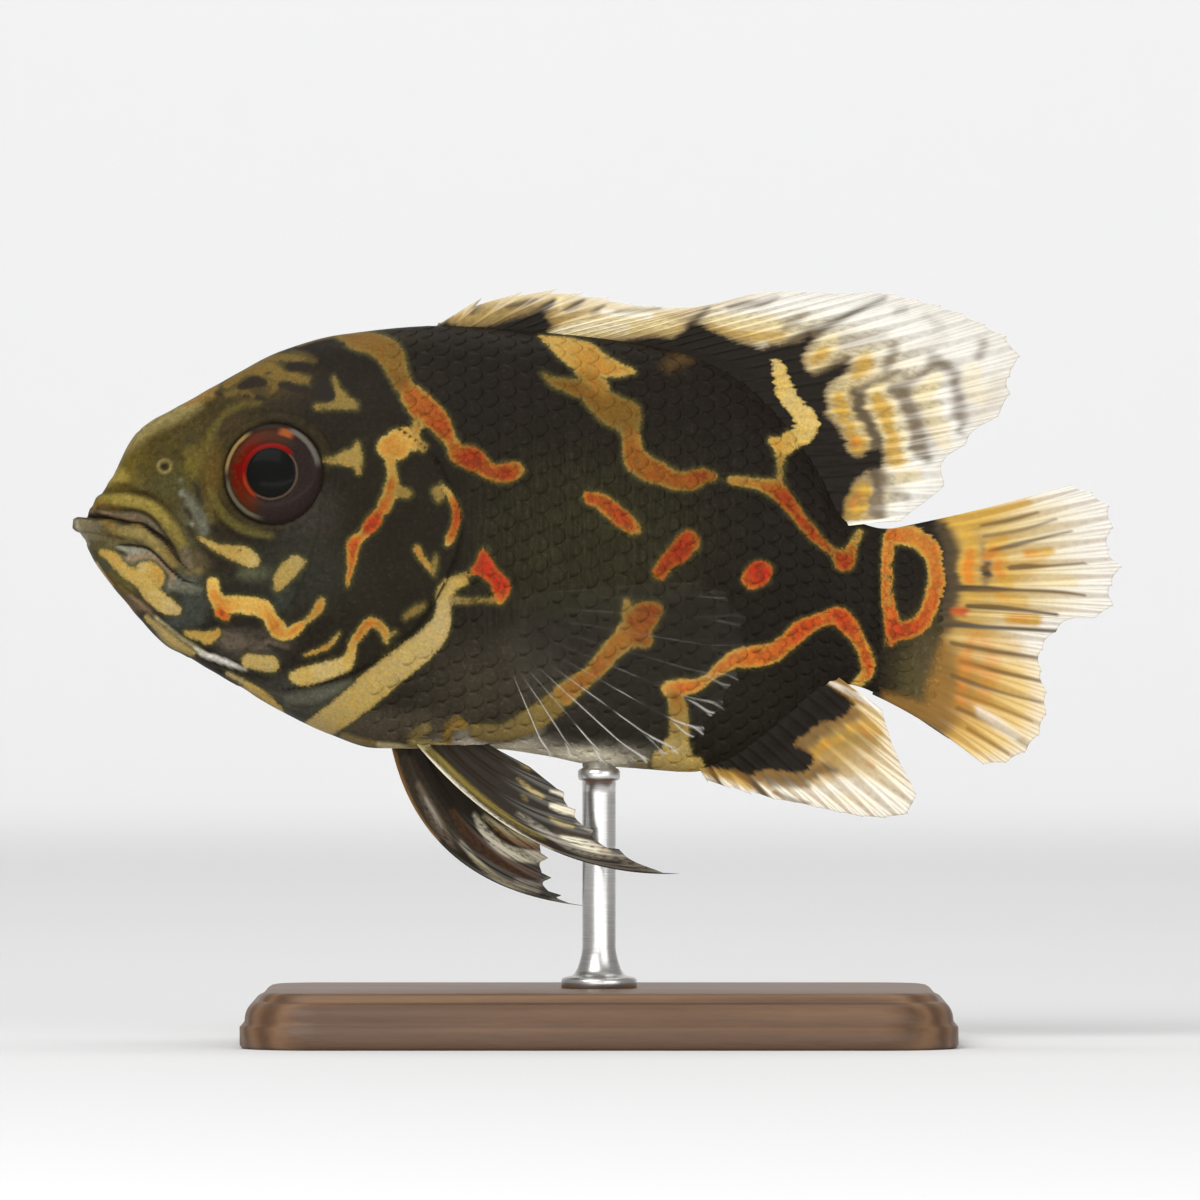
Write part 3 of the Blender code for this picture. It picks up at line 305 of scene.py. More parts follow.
# Dark ground that runs out from the back and belly over the fins, as closed side-view outlines
FIN_DARKS = (
    ((-16.0, 60.0), (-15.4, 64.5), (-13.9, 64.8), (-12.0, 64.35), (-9.6, 64.6), (-8.0, 65.1), (-6.4, 65.6),
        (-5.0, 66.0), (-4.7, 65.2), (-4.4, 64.4), (-5.3, 63.3), (-4.0, 60.0)),
    ((-2.0, 60.0), (-1.2, 62.9), (1.0, 63.05), (3.0, 63.35), (5.0, 63.6), (6.6, 63.45), (7.5, 64.0),
        (8.3, 64.8), (9.2, 64.7), (10.2, 64.1), (11.6, 63.4), (13.2, 62.95), (14.6, 62.4), (15.4, 62.7),
        (18.0, 63.0), (18.9, 63.9), (19.2, 63.4), (18.5, 62.5), (18.2, 61.3), (18.8, 60.4), (19.4, 60.0),
        (20.6, 60.6), (22.0, 61.2), (22.6, 60.9), (21.6, 60.1), (20.5, 59.3), (20.2, 58.5), (20.4, 57.5),
        (20.3, 56.5), (21.0, 55.9), (21.6, 55.2), (22.1, 54.2), (22.3, 53.3), (22.9, 52.8), (23.6, 52.7),
        (24.3, 53.3), (25.2, 53.5), (25.6, 52.8), (25.2, 51.8), (24.2, 51.6), (23.4, 50.9), (22.6, 49.7),
        (22.0, 48.6), (21.9, 47.0), (20.0, 44.0), (10.0, 50.0)),
    ((9.0, 32.0), (8.8, 25.6), (9.3, 24.9), (12.3, 24.6), (13.4, 24.2), (14.2, 24.4), (15.2, 24.7),
        (17.0, 24.5), (18.3, 24.4), (19.2, 25.0), (19.3, 25.9), (18.6, 26.3), (17.6, 26.8), (18.1, 27.5),
        (19.0, 28.3), (19.8, 28.9), (20.8, 28.9), (21.8, 29.3), (22.6, 29.9), (23.0, 30.5), (22.2, 31.2),
        (21.0, 32.0), (18.0, 34.0)),
)

# Paint of the fins: (colour, strength, softness, ((x, z, radius), ...)), laid in this order
FIN_PAINT = (
    # Spiny part of the dorsal fin
    ("wheat", 0.7, 0.3, ((-13.5, 64.9, 0.2), (-11.0, 65.3, 0.5), (-8.5, 66.0, 0.5), (-6.5, 66.6, 0.3))),
    ("umber", 0.8, 0.2, ((-11.3, 65.8, 0.2), (-10.9, 66.4, 0.25), (-10.5, 67.0, 0.12))),
    ("umber", 0.8, 0.2, ((-8.4, 66.2, 0.15), (-7.0, 66.5, 0.25), (-5.8, 66.9, 0.15))),
    ("black", 1.0, 0.2, ((-5.6, 65.4, 0.6), (-4.8, 66.2, 0.4), (-4.1, 66.8, 0.2))),
    ("butter", 0.8, 0.3, ((-3.7, 66.9, 0.3), (-3.4, 66.3, 0.3))),
    ("bistre", 0.9, 0.2, ((-2.9, 66.0, 0.15), (-2.0, 66.5, 0.28), (-1.3, 66.9, 0.15))),
    ("bistre", 0.8, 0.2, ((-0.7, 65.7, 0.15), (0.0, 66.1, 0.2), (0.5, 66.4, 0.1))),
    ("butter", 1.0, 0.35, ((-4.9, 63.5, 0.25), (-3.0, 64.1, 0.7), (0.0, 64.5, 0.9), (3.5, 64.6, 0.95),
        (6.0, 64.6, 0.8), (7.2, 64.4, 0.5))),
    ("milk", 0.35, 0.35, ((-4.2, 64.0, 0.2), (-1.5, 64.5, 0.4), (2.5, 64.5, 0.4))),
    ("milk", 0.8, 0.3, ((0.4, 65.8, 0.25), (2.0, 65.6, 0.25), (4.6, 65.5, 0.25))),
    ("taupe", 0.7, 0.25, ((1.6, 65.8, 0.15), (3.4, 66.0, 0.2), (5.4, 66.1, 0.15))),
    ("honey", 0.6, 0.35, ((3.0, 64.0, 0.2), (6.0, 64.0, 0.3), (7.4, 64.4, 0.3))),
    ("bistre", 0.9, 0.3, ((8.2, 64.6, 0.45), (8.9, 65.4, 0.3), (9.8, 66.1, 0.2))),
    ("butter", 0.9, 0.4, ((9.9, 65.1, 0.35), (11.4, 64.8, 0.7), (13.4, 64.6, 0.8), (15.2, 64.6, 0.8),
        (16.6, 64.1, 0.6))),
    ("honey", 0.75, 0.35, ((9.8, 64.5, 0.3), (11.2, 64.1, 0.35), (13.2, 63.7, 0.35), (16.4, 63.7, 0.35))),
    ("taupe", 0.8, 0.3, ((11.6, 66.2, 0.25), (13.0, 66.5, 0.35), (14.8, 66.6, 0.3), (16.0, 67.1, 0.15))),
    ("taupe", 0.7, 0.35, ((16.8, 64.6, 0.45), (17.8, 65.2, 0.4), (18.8, 65.7, 0.2))),
    ("milk", 0.8, 0.3, ((13.6, 62.1, 0.1), (14.2, 62.6, 0.25), (15.0, 62.9, 0.2))),
    # Soft part of the dorsal fin
    ("taupe", 0.5, 0.9, ((27.6, 59.4, 0.7), (28.9, 57.4, 1.1), (29.4, 55.0, 1.1), (29.6, 53.4, 0.7))),
    ("taupe", 0.4, 0.9, ((31.2, 61.2, 0.6), (32.6, 58.8, 0.8), (32.8, 56.4, 0.7))),
    ("wheat", 0.35, 0.9, ((35.8, 59.6, 0.6), (35.2, 58.0, 0.8), (34.2, 56.6, 0.6))),
    ("bistre", 0.6, 0.5, ((21.4, 61.2, 0.5), (22.4, 60.6, 0.5))),
    ("bistre", 0.95, 0.35, ((17.4, 62.7, 0.8), (18.6, 63.5, 0.65), (20.2, 64.4, 0.4), (22.0, 65.3, 0.3),
        (24.0, 66.3, 0.22), (25.6, 67.0, 0.2))),
    ("butter", 0.95, 0.4, ((19.2, 60.9, 0.6), (20.2, 62.2, 0.95), (21.2, 63.4, 0.45))),
    ("honey", 0.9, 0.35, ((19.4, 61.4, 0.45), (20.2, 62.1, 0.65))),
    ("umber", 0.9, 0.35, ((19.0, 60.0, 0.3), (20.6, 60.5, 0.35), (22.0, 61.0, 0.45), (22.3, 61.7, 0.3))),
    ("butter", 1.0, 0.35, ((20.8, 58.9, 0.45), (22.2, 59.8, 0.6), (23.6, 60.7, 0.95), (24.1, 62.1, 0.55))),
    ("honey", 0.95, 0.35, ((23.1, 60.2, 0.45), (23.9, 61.2, 0.78))),
    ("butter", 1.0, 0.35, ((21.2, 58.6, 0.55), (21.7, 57.3, 0.95), (22.2, 56.0, 0.7), (22.7, 55.0, 0.65),
        (23.2, 53.9, 1.0))),
    ("honey", 1.0, 0.35, ((21.5, 58.3, 0.45), (21.8, 57.2, 0.78), (22.1, 56.3, 0.52), (22.7, 54.9, 0.52),
        (23.3, 53.7, 0.91))),
    ("orange", 0.9, 0.35, ((22.8, 54.3, 0.3), (23.1, 54.0, 0.4))),
    ("umber", 0.95, 0.35, ((22.8, 58.7, 0.35), (23.6, 58.3, 0.55), (23.4, 57.2, 0.6), (23.9, 56.4, 0.55),
        (24.5, 55.4, 0.5), (24.9, 54.3, 0.6), (25.3, 53.0, 0.7))),
    ("taupe", 0.85, 0.3, ((23.6, 58.9, 0.4), (24.6, 59.4, 0.3), (25.8, 59.9, 0.25), (27.0, 60.5, 0.2))),
    ("butter", 1.0, 0.4, ((25.0, 58.8, 0.6), (25.6, 57.2, 0.95), (26.0, 55.7, 0.75), (26.6, 54.0, 0.95),
        (26.9, 52.6, 0.9))),
    ("honey", 1.0, 0.35, ((25.2, 58.1, 0.52), (25.6, 57.0, 0.78), (25.9, 56.0, 0.52), (26.3, 54.5, 0.59),
        (26.6, 52.7, 0.78))),
    ("taupe", 0.95, 0.4, ((26.5, 58.9, 0.45), (27.4, 58.5, 0.7), (27.7, 57.3, 0.65), (28.2, 56.3, 0.6),
        (28.6, 55.0, 0.65), (28.8, 53.7, 0.8), (29.5, 52.6, 0.4))),
    ("taupe", 0.75, 0.3, ((26.6, 58.8, 0.35), (28.2, 59.7, 0.3), (29.6, 60.6, 0.35), (30.6, 61.5, 0.4))),
    ("butter", 0.8, 0.45, ((29.0, 58.2, 0.7), (29.9, 59.3, 0.8), (30.4, 60.1, 0.3))),
    ("butter", 0.6, 0.45, ((29.9, 57.2, 0.8), (30.5, 55.6, 0.9), (31.1, 54.0, 0.7))),
    ("taupe", 0.8, 0.45, ((30.0, 61.6, 0.5), (31.5, 60.7, 0.55), (32.3, 59.2, 0.45), (32.4, 57.5, 0.55),
        (32.5, 56.1, 0.45), (32.6, 55.0, 0.3))),
    ("butter", 0.5, 0.5, ((33.6, 60.4, 0.9), (34.0, 58.4, 0.9))),
    ("taupe", 0.8, 0.4, ((26.7, 63.0, 0.3), (26.3, 61.7, 0.55), (25.8, 60.7, 0.45))),
    ("taupe", 0.7, 0.4, ((34.6, 63.0, 0.5), (34.4, 61.9, 0.4))),
    ("taupe", 0.6, 0.35, ((26.8, 65.9, 0.3), (27.6, 66.1, 0.3))),
    ("ash", 0.8, 0.5, ((22.3, 63.2, 0.8), (24.0, 63.3, 0.6), (25.6, 63.6, 0.4))),
    ("ash", 0.6, 0.5, ((29.4, 65.5, 0.3), (30.5, 64.6, 0.5))),
    ("ash", 0.5, 0.5, ((27.8, 62.2, 0.4), (29.4, 62.8, 0.4), (31.2, 63.6, 0.3))),
    ("taupe", 0.9, 0.45, ((24.8, 51.6, 0.6), (25.4, 50.6, 0.6), (25.2, 49.4, 0.65), (24.9, 48.2, 0.85),
        (25.2, 47.3, 0.6))),
    ("bistre", 0.8, 0.35, ((24.6, 52.2, 0.5), (25.1, 50.2, 0.3), (25.4, 49.8, 0.2))),
    ("taupe", 0.5, 0.45, ((26.2, 50.1, 0.5), (27.6, 49.2, 0.5))),
    ("butter", 0.7, 0.4, ((27.2, 51.0, 0.6), (28.6, 51.2, 0.6))),
    ("honey", 1.0, 0.3, ((22.4, 47.6, 0.98), (23.1, 48.8, 1.17), (23.9, 49.9, 0.72))),
    ("orange", 0.8, 0.35, ((22.8, 48.5, 0.35), (23.4, 49.2, 0.4))),
    # The fin's pale last ray, partly a painted highlight along its edge
    ("milk", 0.95, 0.12, ((21.6, 46.7, 0.3), (24.0, 46.8, 0.3), (27.2, 47.0, 0.3))),
    # Anal fin
    ("honey", 0.95, 0.25, ((10.2, 24.4, 0.2), (11.8, 24.2, 0.4), (12.8, 23.6, 0.35), (13.5, 23.0, 0.2))),
    ("black", 1.0, 0.15, ((10.0, 24.6, 0.25), (10.6, 23.8, 0.18), (11.6, 22.5, 0.1))),
    ("black", 1.0, 0.15, ((12.4, 24.8, 0.5), (13.6, 23.7, 0.35), (15.1, 22.2, 0.2))),
    ("milk", 0.9, 0.4, ((16.2, 22.8, 0.2), (18.0, 22.6, 0.4), (20.0, 22.6, 0.6), (22.6, 23.2, 0.8),
        (24.4, 22.8, 0.8), (26.2, 21.6, 0.7))),
    ("bistre", 0.9, 0.4, ((14.4, 24.2, 0.6), (16.5, 24.0, 0.6), (18.6, 24.0, 0.5), (20.2, 24.7, 0.5),
        (21.3, 24.5, 0.3))),
    ("umber", 0.7, 0.3, ((15.4, 23.4, 0.35), (17.0, 23.3, 0.4), (18.8, 23.3, 0.25))),
    ("taupe", 0.8, 0.2, ((15.8, 22.6, 0.2), (17.4, 21.9, 0.18), (19.0, 21.5, 0.15))),
    ("wheat", 0.8, 0.7, ((20.0, 27.2, 0.6), (22.0, 27.9, 0.8), (24.4, 27.2, 0.9))),
    ("amber", 0.45, 0.8, ((19.6, 26.6, 0.4), (21.6, 27.6, 0.7), (24.2, 27.4, 0.7))),
    ("umber", 0.8, 0.5, ((17.8, 25.6, 0.4), (18.4, 26.8, 0.7), (19.6, 28.0, 0.7), (21.6, 29.2, 0.6),
        (23.2, 29.6, 0.4))),
    ("honey", 0.9, 0.35, ((19.6, 26.0, 0.4), (20.4, 26.9, 0.5), (21.6, 27.4, 0.4))),
    ("honey", 0.9, 0.35, ((22.8, 28.3, 0.5), (24.2, 28.5, 0.5), (25.2, 28.0, 0.3))),
    ("orange", 0.6, 0.3, ((20.0, 26.6, 0.2), (20.6, 27.0, 0.25))),
    ("orange", 0.5, 0.25, ((23.6, 28.4, 0.3), (24.4, 27.6, 0.2))),
    ("orange", 0.5, 0.25, ((24.2, 25.3, 0.2), (24.8, 24.9, 0.2))),
    ("maroon", 0.8, 0.3, ((20.6, 29.7, 0.4), (21.3, 29.5, 0.35))),
    ("butter", 0.9, 0.3, ((23.3, 30.4, 0.25), (24.6, 29.8, 0.4), (25.3, 29.0, 0.3))),
    # The fin's pale last ray, partly a painted highlight along its edge
    ("milk", 0.95, 0.15, ((20.4, 32.6, 0.25), (22.6, 31.6, 0.3), (24.2, 30.8, 0.3), (25.6, 30.0, 0.3))),
    # Tail fin
    ("bistre", 0.9, 0.5, ((30.6, 46.8, 0.4), (31.3, 45.2, 0.6), (31.7, 43.4, 0.7), (31.8, 41.4, 0.6),
        (31.5, 39.4, 0.7), (31.0, 37.6, 0.8))),
    ("orange", 0.7, 0.5, ((33.6, 36.6, 0.3), (33.0, 34.6, 0.5), (32.7, 32.6, 0.45), (32.7, 30.6, 0.4))),
    ("honey", 0.9, 0.45, ((31.9, 46.9, 0.5), (33.6, 47.1, 0.8), (36.0, 47.9, 0.5), (38.4, 48.7, 0.4))),
    ("honey", 0.6, 0.7, ((33.4, 40.2, 0.7), (35.4, 41.8, 1.0), (37.6, 42.6, 0.9), (39.6, 43.6, 0.6))),
    ("honey", 0.6, 0.7, ((32.8, 38.0, 0.6), (35.2, 36.4, 0.9), (37.4, 35.6, 0.7))),
    ("orange", 0.45, 0.6, ((34.2, 36.8, 0.4), (35.4, 34.4, 0.6), (35.0, 32.2, 0.6), (34.2, 30.6, 0.5))),
    ("honey", 1.0, 0.4, ((33.0, 46.2, 0.7), (33.4, 44.6, 0.6), (33.2, 43.2, 0.85), (33.2, 41.8, 0.6))),
    ("orange", 1.0, 0.3, ((33.2, 44.2, 0.35), (33.2, 43.2, 0.5), (33.3, 41.8, 0.5))),
    ("taupe", 0.8, 0.3, ((34.6, 44.8, 0.3), (34.9, 42.4, 0.5), (34.8, 41.4, 0.3))),
    ("honey", 1.0, 0.3, ((35.2, 44.6, 0.6), (36.2, 45.4, 0.6))),
    ("orange", 1.0, 0.3, ((34.8, 43.9, 0.45), (35.6, 44.3, 0.45))),
    ("honey", 1.0, 0.3, ((36.0, 43.5, 0.65), (36.3, 42.3, 0.65), (36.9, 41.2, 0.45))),
    ("orange", 0.9, 0.3, ((35.8, 43.2, 0.4), (36.0, 42.2, 0.4))),
    ("orange", 0.8, 0.3, ((36.2, 40.3, 0.35), (36.9, 40.0, 0.3))),
    ("honey", 0.7, 0.3, ((36.0, 40.2, 0.4), (38.2, 39.8, 0.6))),
    ("honey", 1.0, 0.35, ((37.0, 38.2, 0.5), (39.2, 38.1, 0.6))),
    ("honey", 1.0, 0.3, ((38.6, 44.0, 0.4), (40.6, 44.3, 0.35))),
    ("orange", 0.7, 0.3, ((38.3, 44.1, 0.3), (39.0, 44.2, 0.25))),
    ("orange", 0.6, 0.3, ((37.4, 38.3, 0.3), (38.3, 38.2, 0.25))),
    ("butter", 0.7, 0.4, ((40.0, 41.7, 0.5), (42.6, 41.6, 0.5))),
    ("red", 1.0, 0.3, ((32.1, 38.9, 0.3), (32.8, 38.85, 0.45))),
    ("black", 0.9, 0.2, ((34.8, 43.0, 0.3), (34.9, 42.3, 0.4))),
    ("bistre", 0.9, 0.15, ((37.0, 42.8, 0.25), (38.2, 42.9, 0.28), (40.0, 42.95, 0.15), (43.8, 43.2, 0.1))),
    ("bistre", 1.0, 0.15, ((31.8, 41.0, 0.3), (34.8, 40.9, 0.3), (37.5, 40.8, 0.16), (41.5, 40.6, 0.14),
        (43.8, 40.3, 0.08))),
    ("bistre", 1.0, 0.15, ((33.2, 39.35, 0.2), (35.4, 39.25, 0.26), (38.5, 38.95, 0.17),
        (41.2, 38.6, 0.14))),
    ("bistre", 1.0, 0.15, ((31.0, 37.9, 0.4), (34.4, 37.5, 0.24), (38.0, 37.3, 0.2), (41.3, 37.1, 0.17))),
    ("bistre", 0.8, 0.14, ((34.4, 46.6, 0.14), (37.0, 47.1, 0.2), (39.6, 47.8, 0.12))),
    ("bistre", 0.85, 0.14, ((35.0, 44.3, 0.1), (37.2, 44.8, 0.22), (39.5, 45.4, 0.16), (42.6, 46.1, 0.1))),
    ("taupe", 0.8, 0.14, ((34.6, 45.6, 0.15), (38.0, 46.2, 0.17), (41.2, 47.2, 0.12))),
    ("bistre", 0.9, 0.14, ((31.8, 36.0, 0.2), (35.5, 35.3, 0.2), (39.6, 34.7, 0.14))),
    ("bistre", 0.85, 0.14, ((32.6, 34.4, 0.18), (35.5, 33.6, 0.18), (39.8, 32.6, 0.13))),
    ("bistre", 0.8, 0.14, ((31.8, 33.1, 0.22), (34.5, 32.1, 0.2), (37.2, 31.3, 0.14), (39.8, 30.7, 0.1))),
    ("bronze", 0.8, 0.14, ((32.0, 31.6, 0.18), (35.0, 30.6, 0.14), (39.0, 29.0, 0.1))),
    ("bistre", 0.75, 0.14, ((32.2, 30.2, 0.2), (34.5, 29.2, 0.16), (38.8, 26.6, 0.11))),
    ("bronze", 0.8, 0.14, ((33.1, 28.4, 0.18), (36.8, 26.1, 0.11))),
    ("orange", 0.5, 0.45, ((32.4, 34.6, 0.3), (34.6, 33.4, 0.3))),
    ("milk", 0.7, 0.4, ((34.3, 29.8, 0.4), (36.0, 28.7, 0.5), (37.4, 27.7, 0.4))),
)

# Soft washes over the dark ground: (x, z, x radius, z radius, colour, strength), laid in this order
DARK = (0.0125, 0.0094, 0.0066)
WASHES = (
    (-1.0, 45.0, 11.0, 8.0, (0.024, 0.0208, 0.009), 0.95),
    (8.0, 30.0, 12.0, 6.0, (0.02, 0.017, 0.011), 0.6),
    (-10.0, 32.0, 8.0, 5.0, (0.046, 0.038, 0.025), 0.9),
    (-22.0, 45.0, 10.0, 16.0, (0.0155, 0.012, 0.0062), 0.9),
    (-26.4, 47.6, 3.0, 3.0, (0.038, 0.031, 0.023), 0.8),
    (-27.5, 42.5, 6.0, 3.6, (0.026, 0.0255, 0.017), 0.8),
    (-26.5, 31.2, 6.0, 2.2, (0.06, 0.056, 0.042), 0.8),
    (-30.5, 36.0, 3.0, 1.6, (0.055, 0.045, 0.032), 0.9),
    (-19.0, 28.4, 6.0, 1.6, (0.1, 0.085, 0.055), 0.6),
    (-1.0, 25.4, 6.0, 1.4, (0.44, 0.4, 0.3), 0.85),
    (-9.5, 26.3, 5.0, 1.5, (0.66, 0.58, 0.44), 0.95),
    (29.8, 33.0, 3.2, 5.0, (0.085, 0.066, 0.024), 0.9),
    (-39.6, 53.0, 8.5, 8.0, (0.052, 0.037, 0.007), 1.0),
    (-32.0, 59.4, 5.5, 2.0, (0.062, 0.042, 0.0125), 0.8),
    (-42.9, 51.4, 2.4, 2.4, (0.125, 0.09, 0.014), 0.8),
    (-38.2, 50.6, 2.4, 1.5, (0.062, 0.055, 0.017), 0.8),
    (-36.5, 52.3, 0.9, 1.9, (0.14, 0.104, 0.017), 0.6),
    (-34.7, 51.2, 1.0, 3.6, (0.095, 0.058, 0.0125), 0.85),
    (-36.3, 55.0, 1.5, 1.0, (0.05, 0.036, 0.01), 0.7),
    (-32.6, 55.4, 2.0, 1.5, (0.04, 0.026, 0.0095), 0.85),
    (-36.3, 47.2, 1.3, 2.3, (0.064, 0.058, 0.034), 0.85),
    (-36.4, 43.4, 1.9, 1.4, (0.058, 0.042, 0.019), 0.9),
    (-41.0, 44.6, 5.0, 3.6, (0.115, 0.095, 0.04), 0.95),
    (-46.3, 46.3, 1.7, 1.5, (0.165, 0.137, 0.076), 0.95),
    (-41.5, 43.9, 1.9, 0.6, (0.17, 0.175, 0.135), 0.7),
    (-37.6, 41.3, 1.9, 0.9, (0.105, 0.115, 0.086), 0.9),
    (-36.2, 39.4, 1.4, 1.8, (0.046, 0.048, 0.036), 0.9),
    (-38.0, 38.0, 1.5, 0.8, (0.05, 0.054, 0.044), 0.8),
    (-42.8, 41.3, 1.4, 1.2, (0.135, 0.1, 0.04), 0.7),
    (-41.6, 39.4, 1.8, 0.7, (0.12, 0.085, 0.04), 0.8),
    (-33.0, 36.0, 1.4, 1.3, (0.062, 0.052, 0.038), 0.9),
    (-33.4, 42.2, 1.6, 0.8, (0.024, 0.022, 0.012), 0.9),
    (-31.0, 42.3, 1.6, 0.7, (0.09, 0.088, 0.046), 0.8),
    (-28.4, 40.0, 1.0, 1.6, (0.03, 0.034, 0.024), 0.7),
    (-19.0, 63.5, 3.0, 0.6, (0.03, 0.024, 0.01), 0.5),
)

# Colours of the strokes
COLOURS = {
    "olive": (0.098, 0.078, 0.018), "gold": (0.25, 0.185, 0.036), "tan": (0.21, 0.125, 0.03),
    "hay": (0.21, 0.164, 0.058), "ochre": (0.136, 0.086, 0.021), "moss": (0.112, 0.086, 0.017),
    "dusk": (0.037, 0.027, 0.01), "haze": (0.12, 0.118, 0.08), "lip": (0.24, 0.178, 0.036),
    "bark": (0.105, 0.058, 0.016), "soot": (0.03, 0.021, 0.01), "amber": (0.195, 0.115, 0.022),
    "mauve": (0.13, 0.096, 0.062), "pink": (0.26, 0.17, 0.1), "slate": (0.044, 0.047, 0.038),
    "pale": (0.23, 0.225, 0.165), "cream": (0.52, 0.44, 0.22), "sand": (0.215, 0.155, 0.048),
    "straw": (0.42, 0.32, 0.11), "umber": (0.06, 0.046, 0.03), "white": (0.76, 0.7, 0.52),
    "smoke": (0.3, 0.27, 0.21), "maroon": (0.105, 0.048, 0.024), "black": (0.019, 0.014, 0.009),
    "rust": (0.3, 0.15, 0.05), "milk": (0.83, 0.79, 0.68), "butter": (0.74, 0.61, 0.32),
    "honey": (0.56, 0.335, 0.055), "wheat": (0.42, 0.3, 0.095), "orange": (0.6, 0.205, 0.022),
    "red": (0.42, 0.075, 0.02), "taupe": (0.17, 0.132, 0.09), "ash": (0.42, 0.38, 0.31),
    "bistre": (0.062, 0.045, 0.024), "bronze": (0.235, 0.118, 0.025),
}

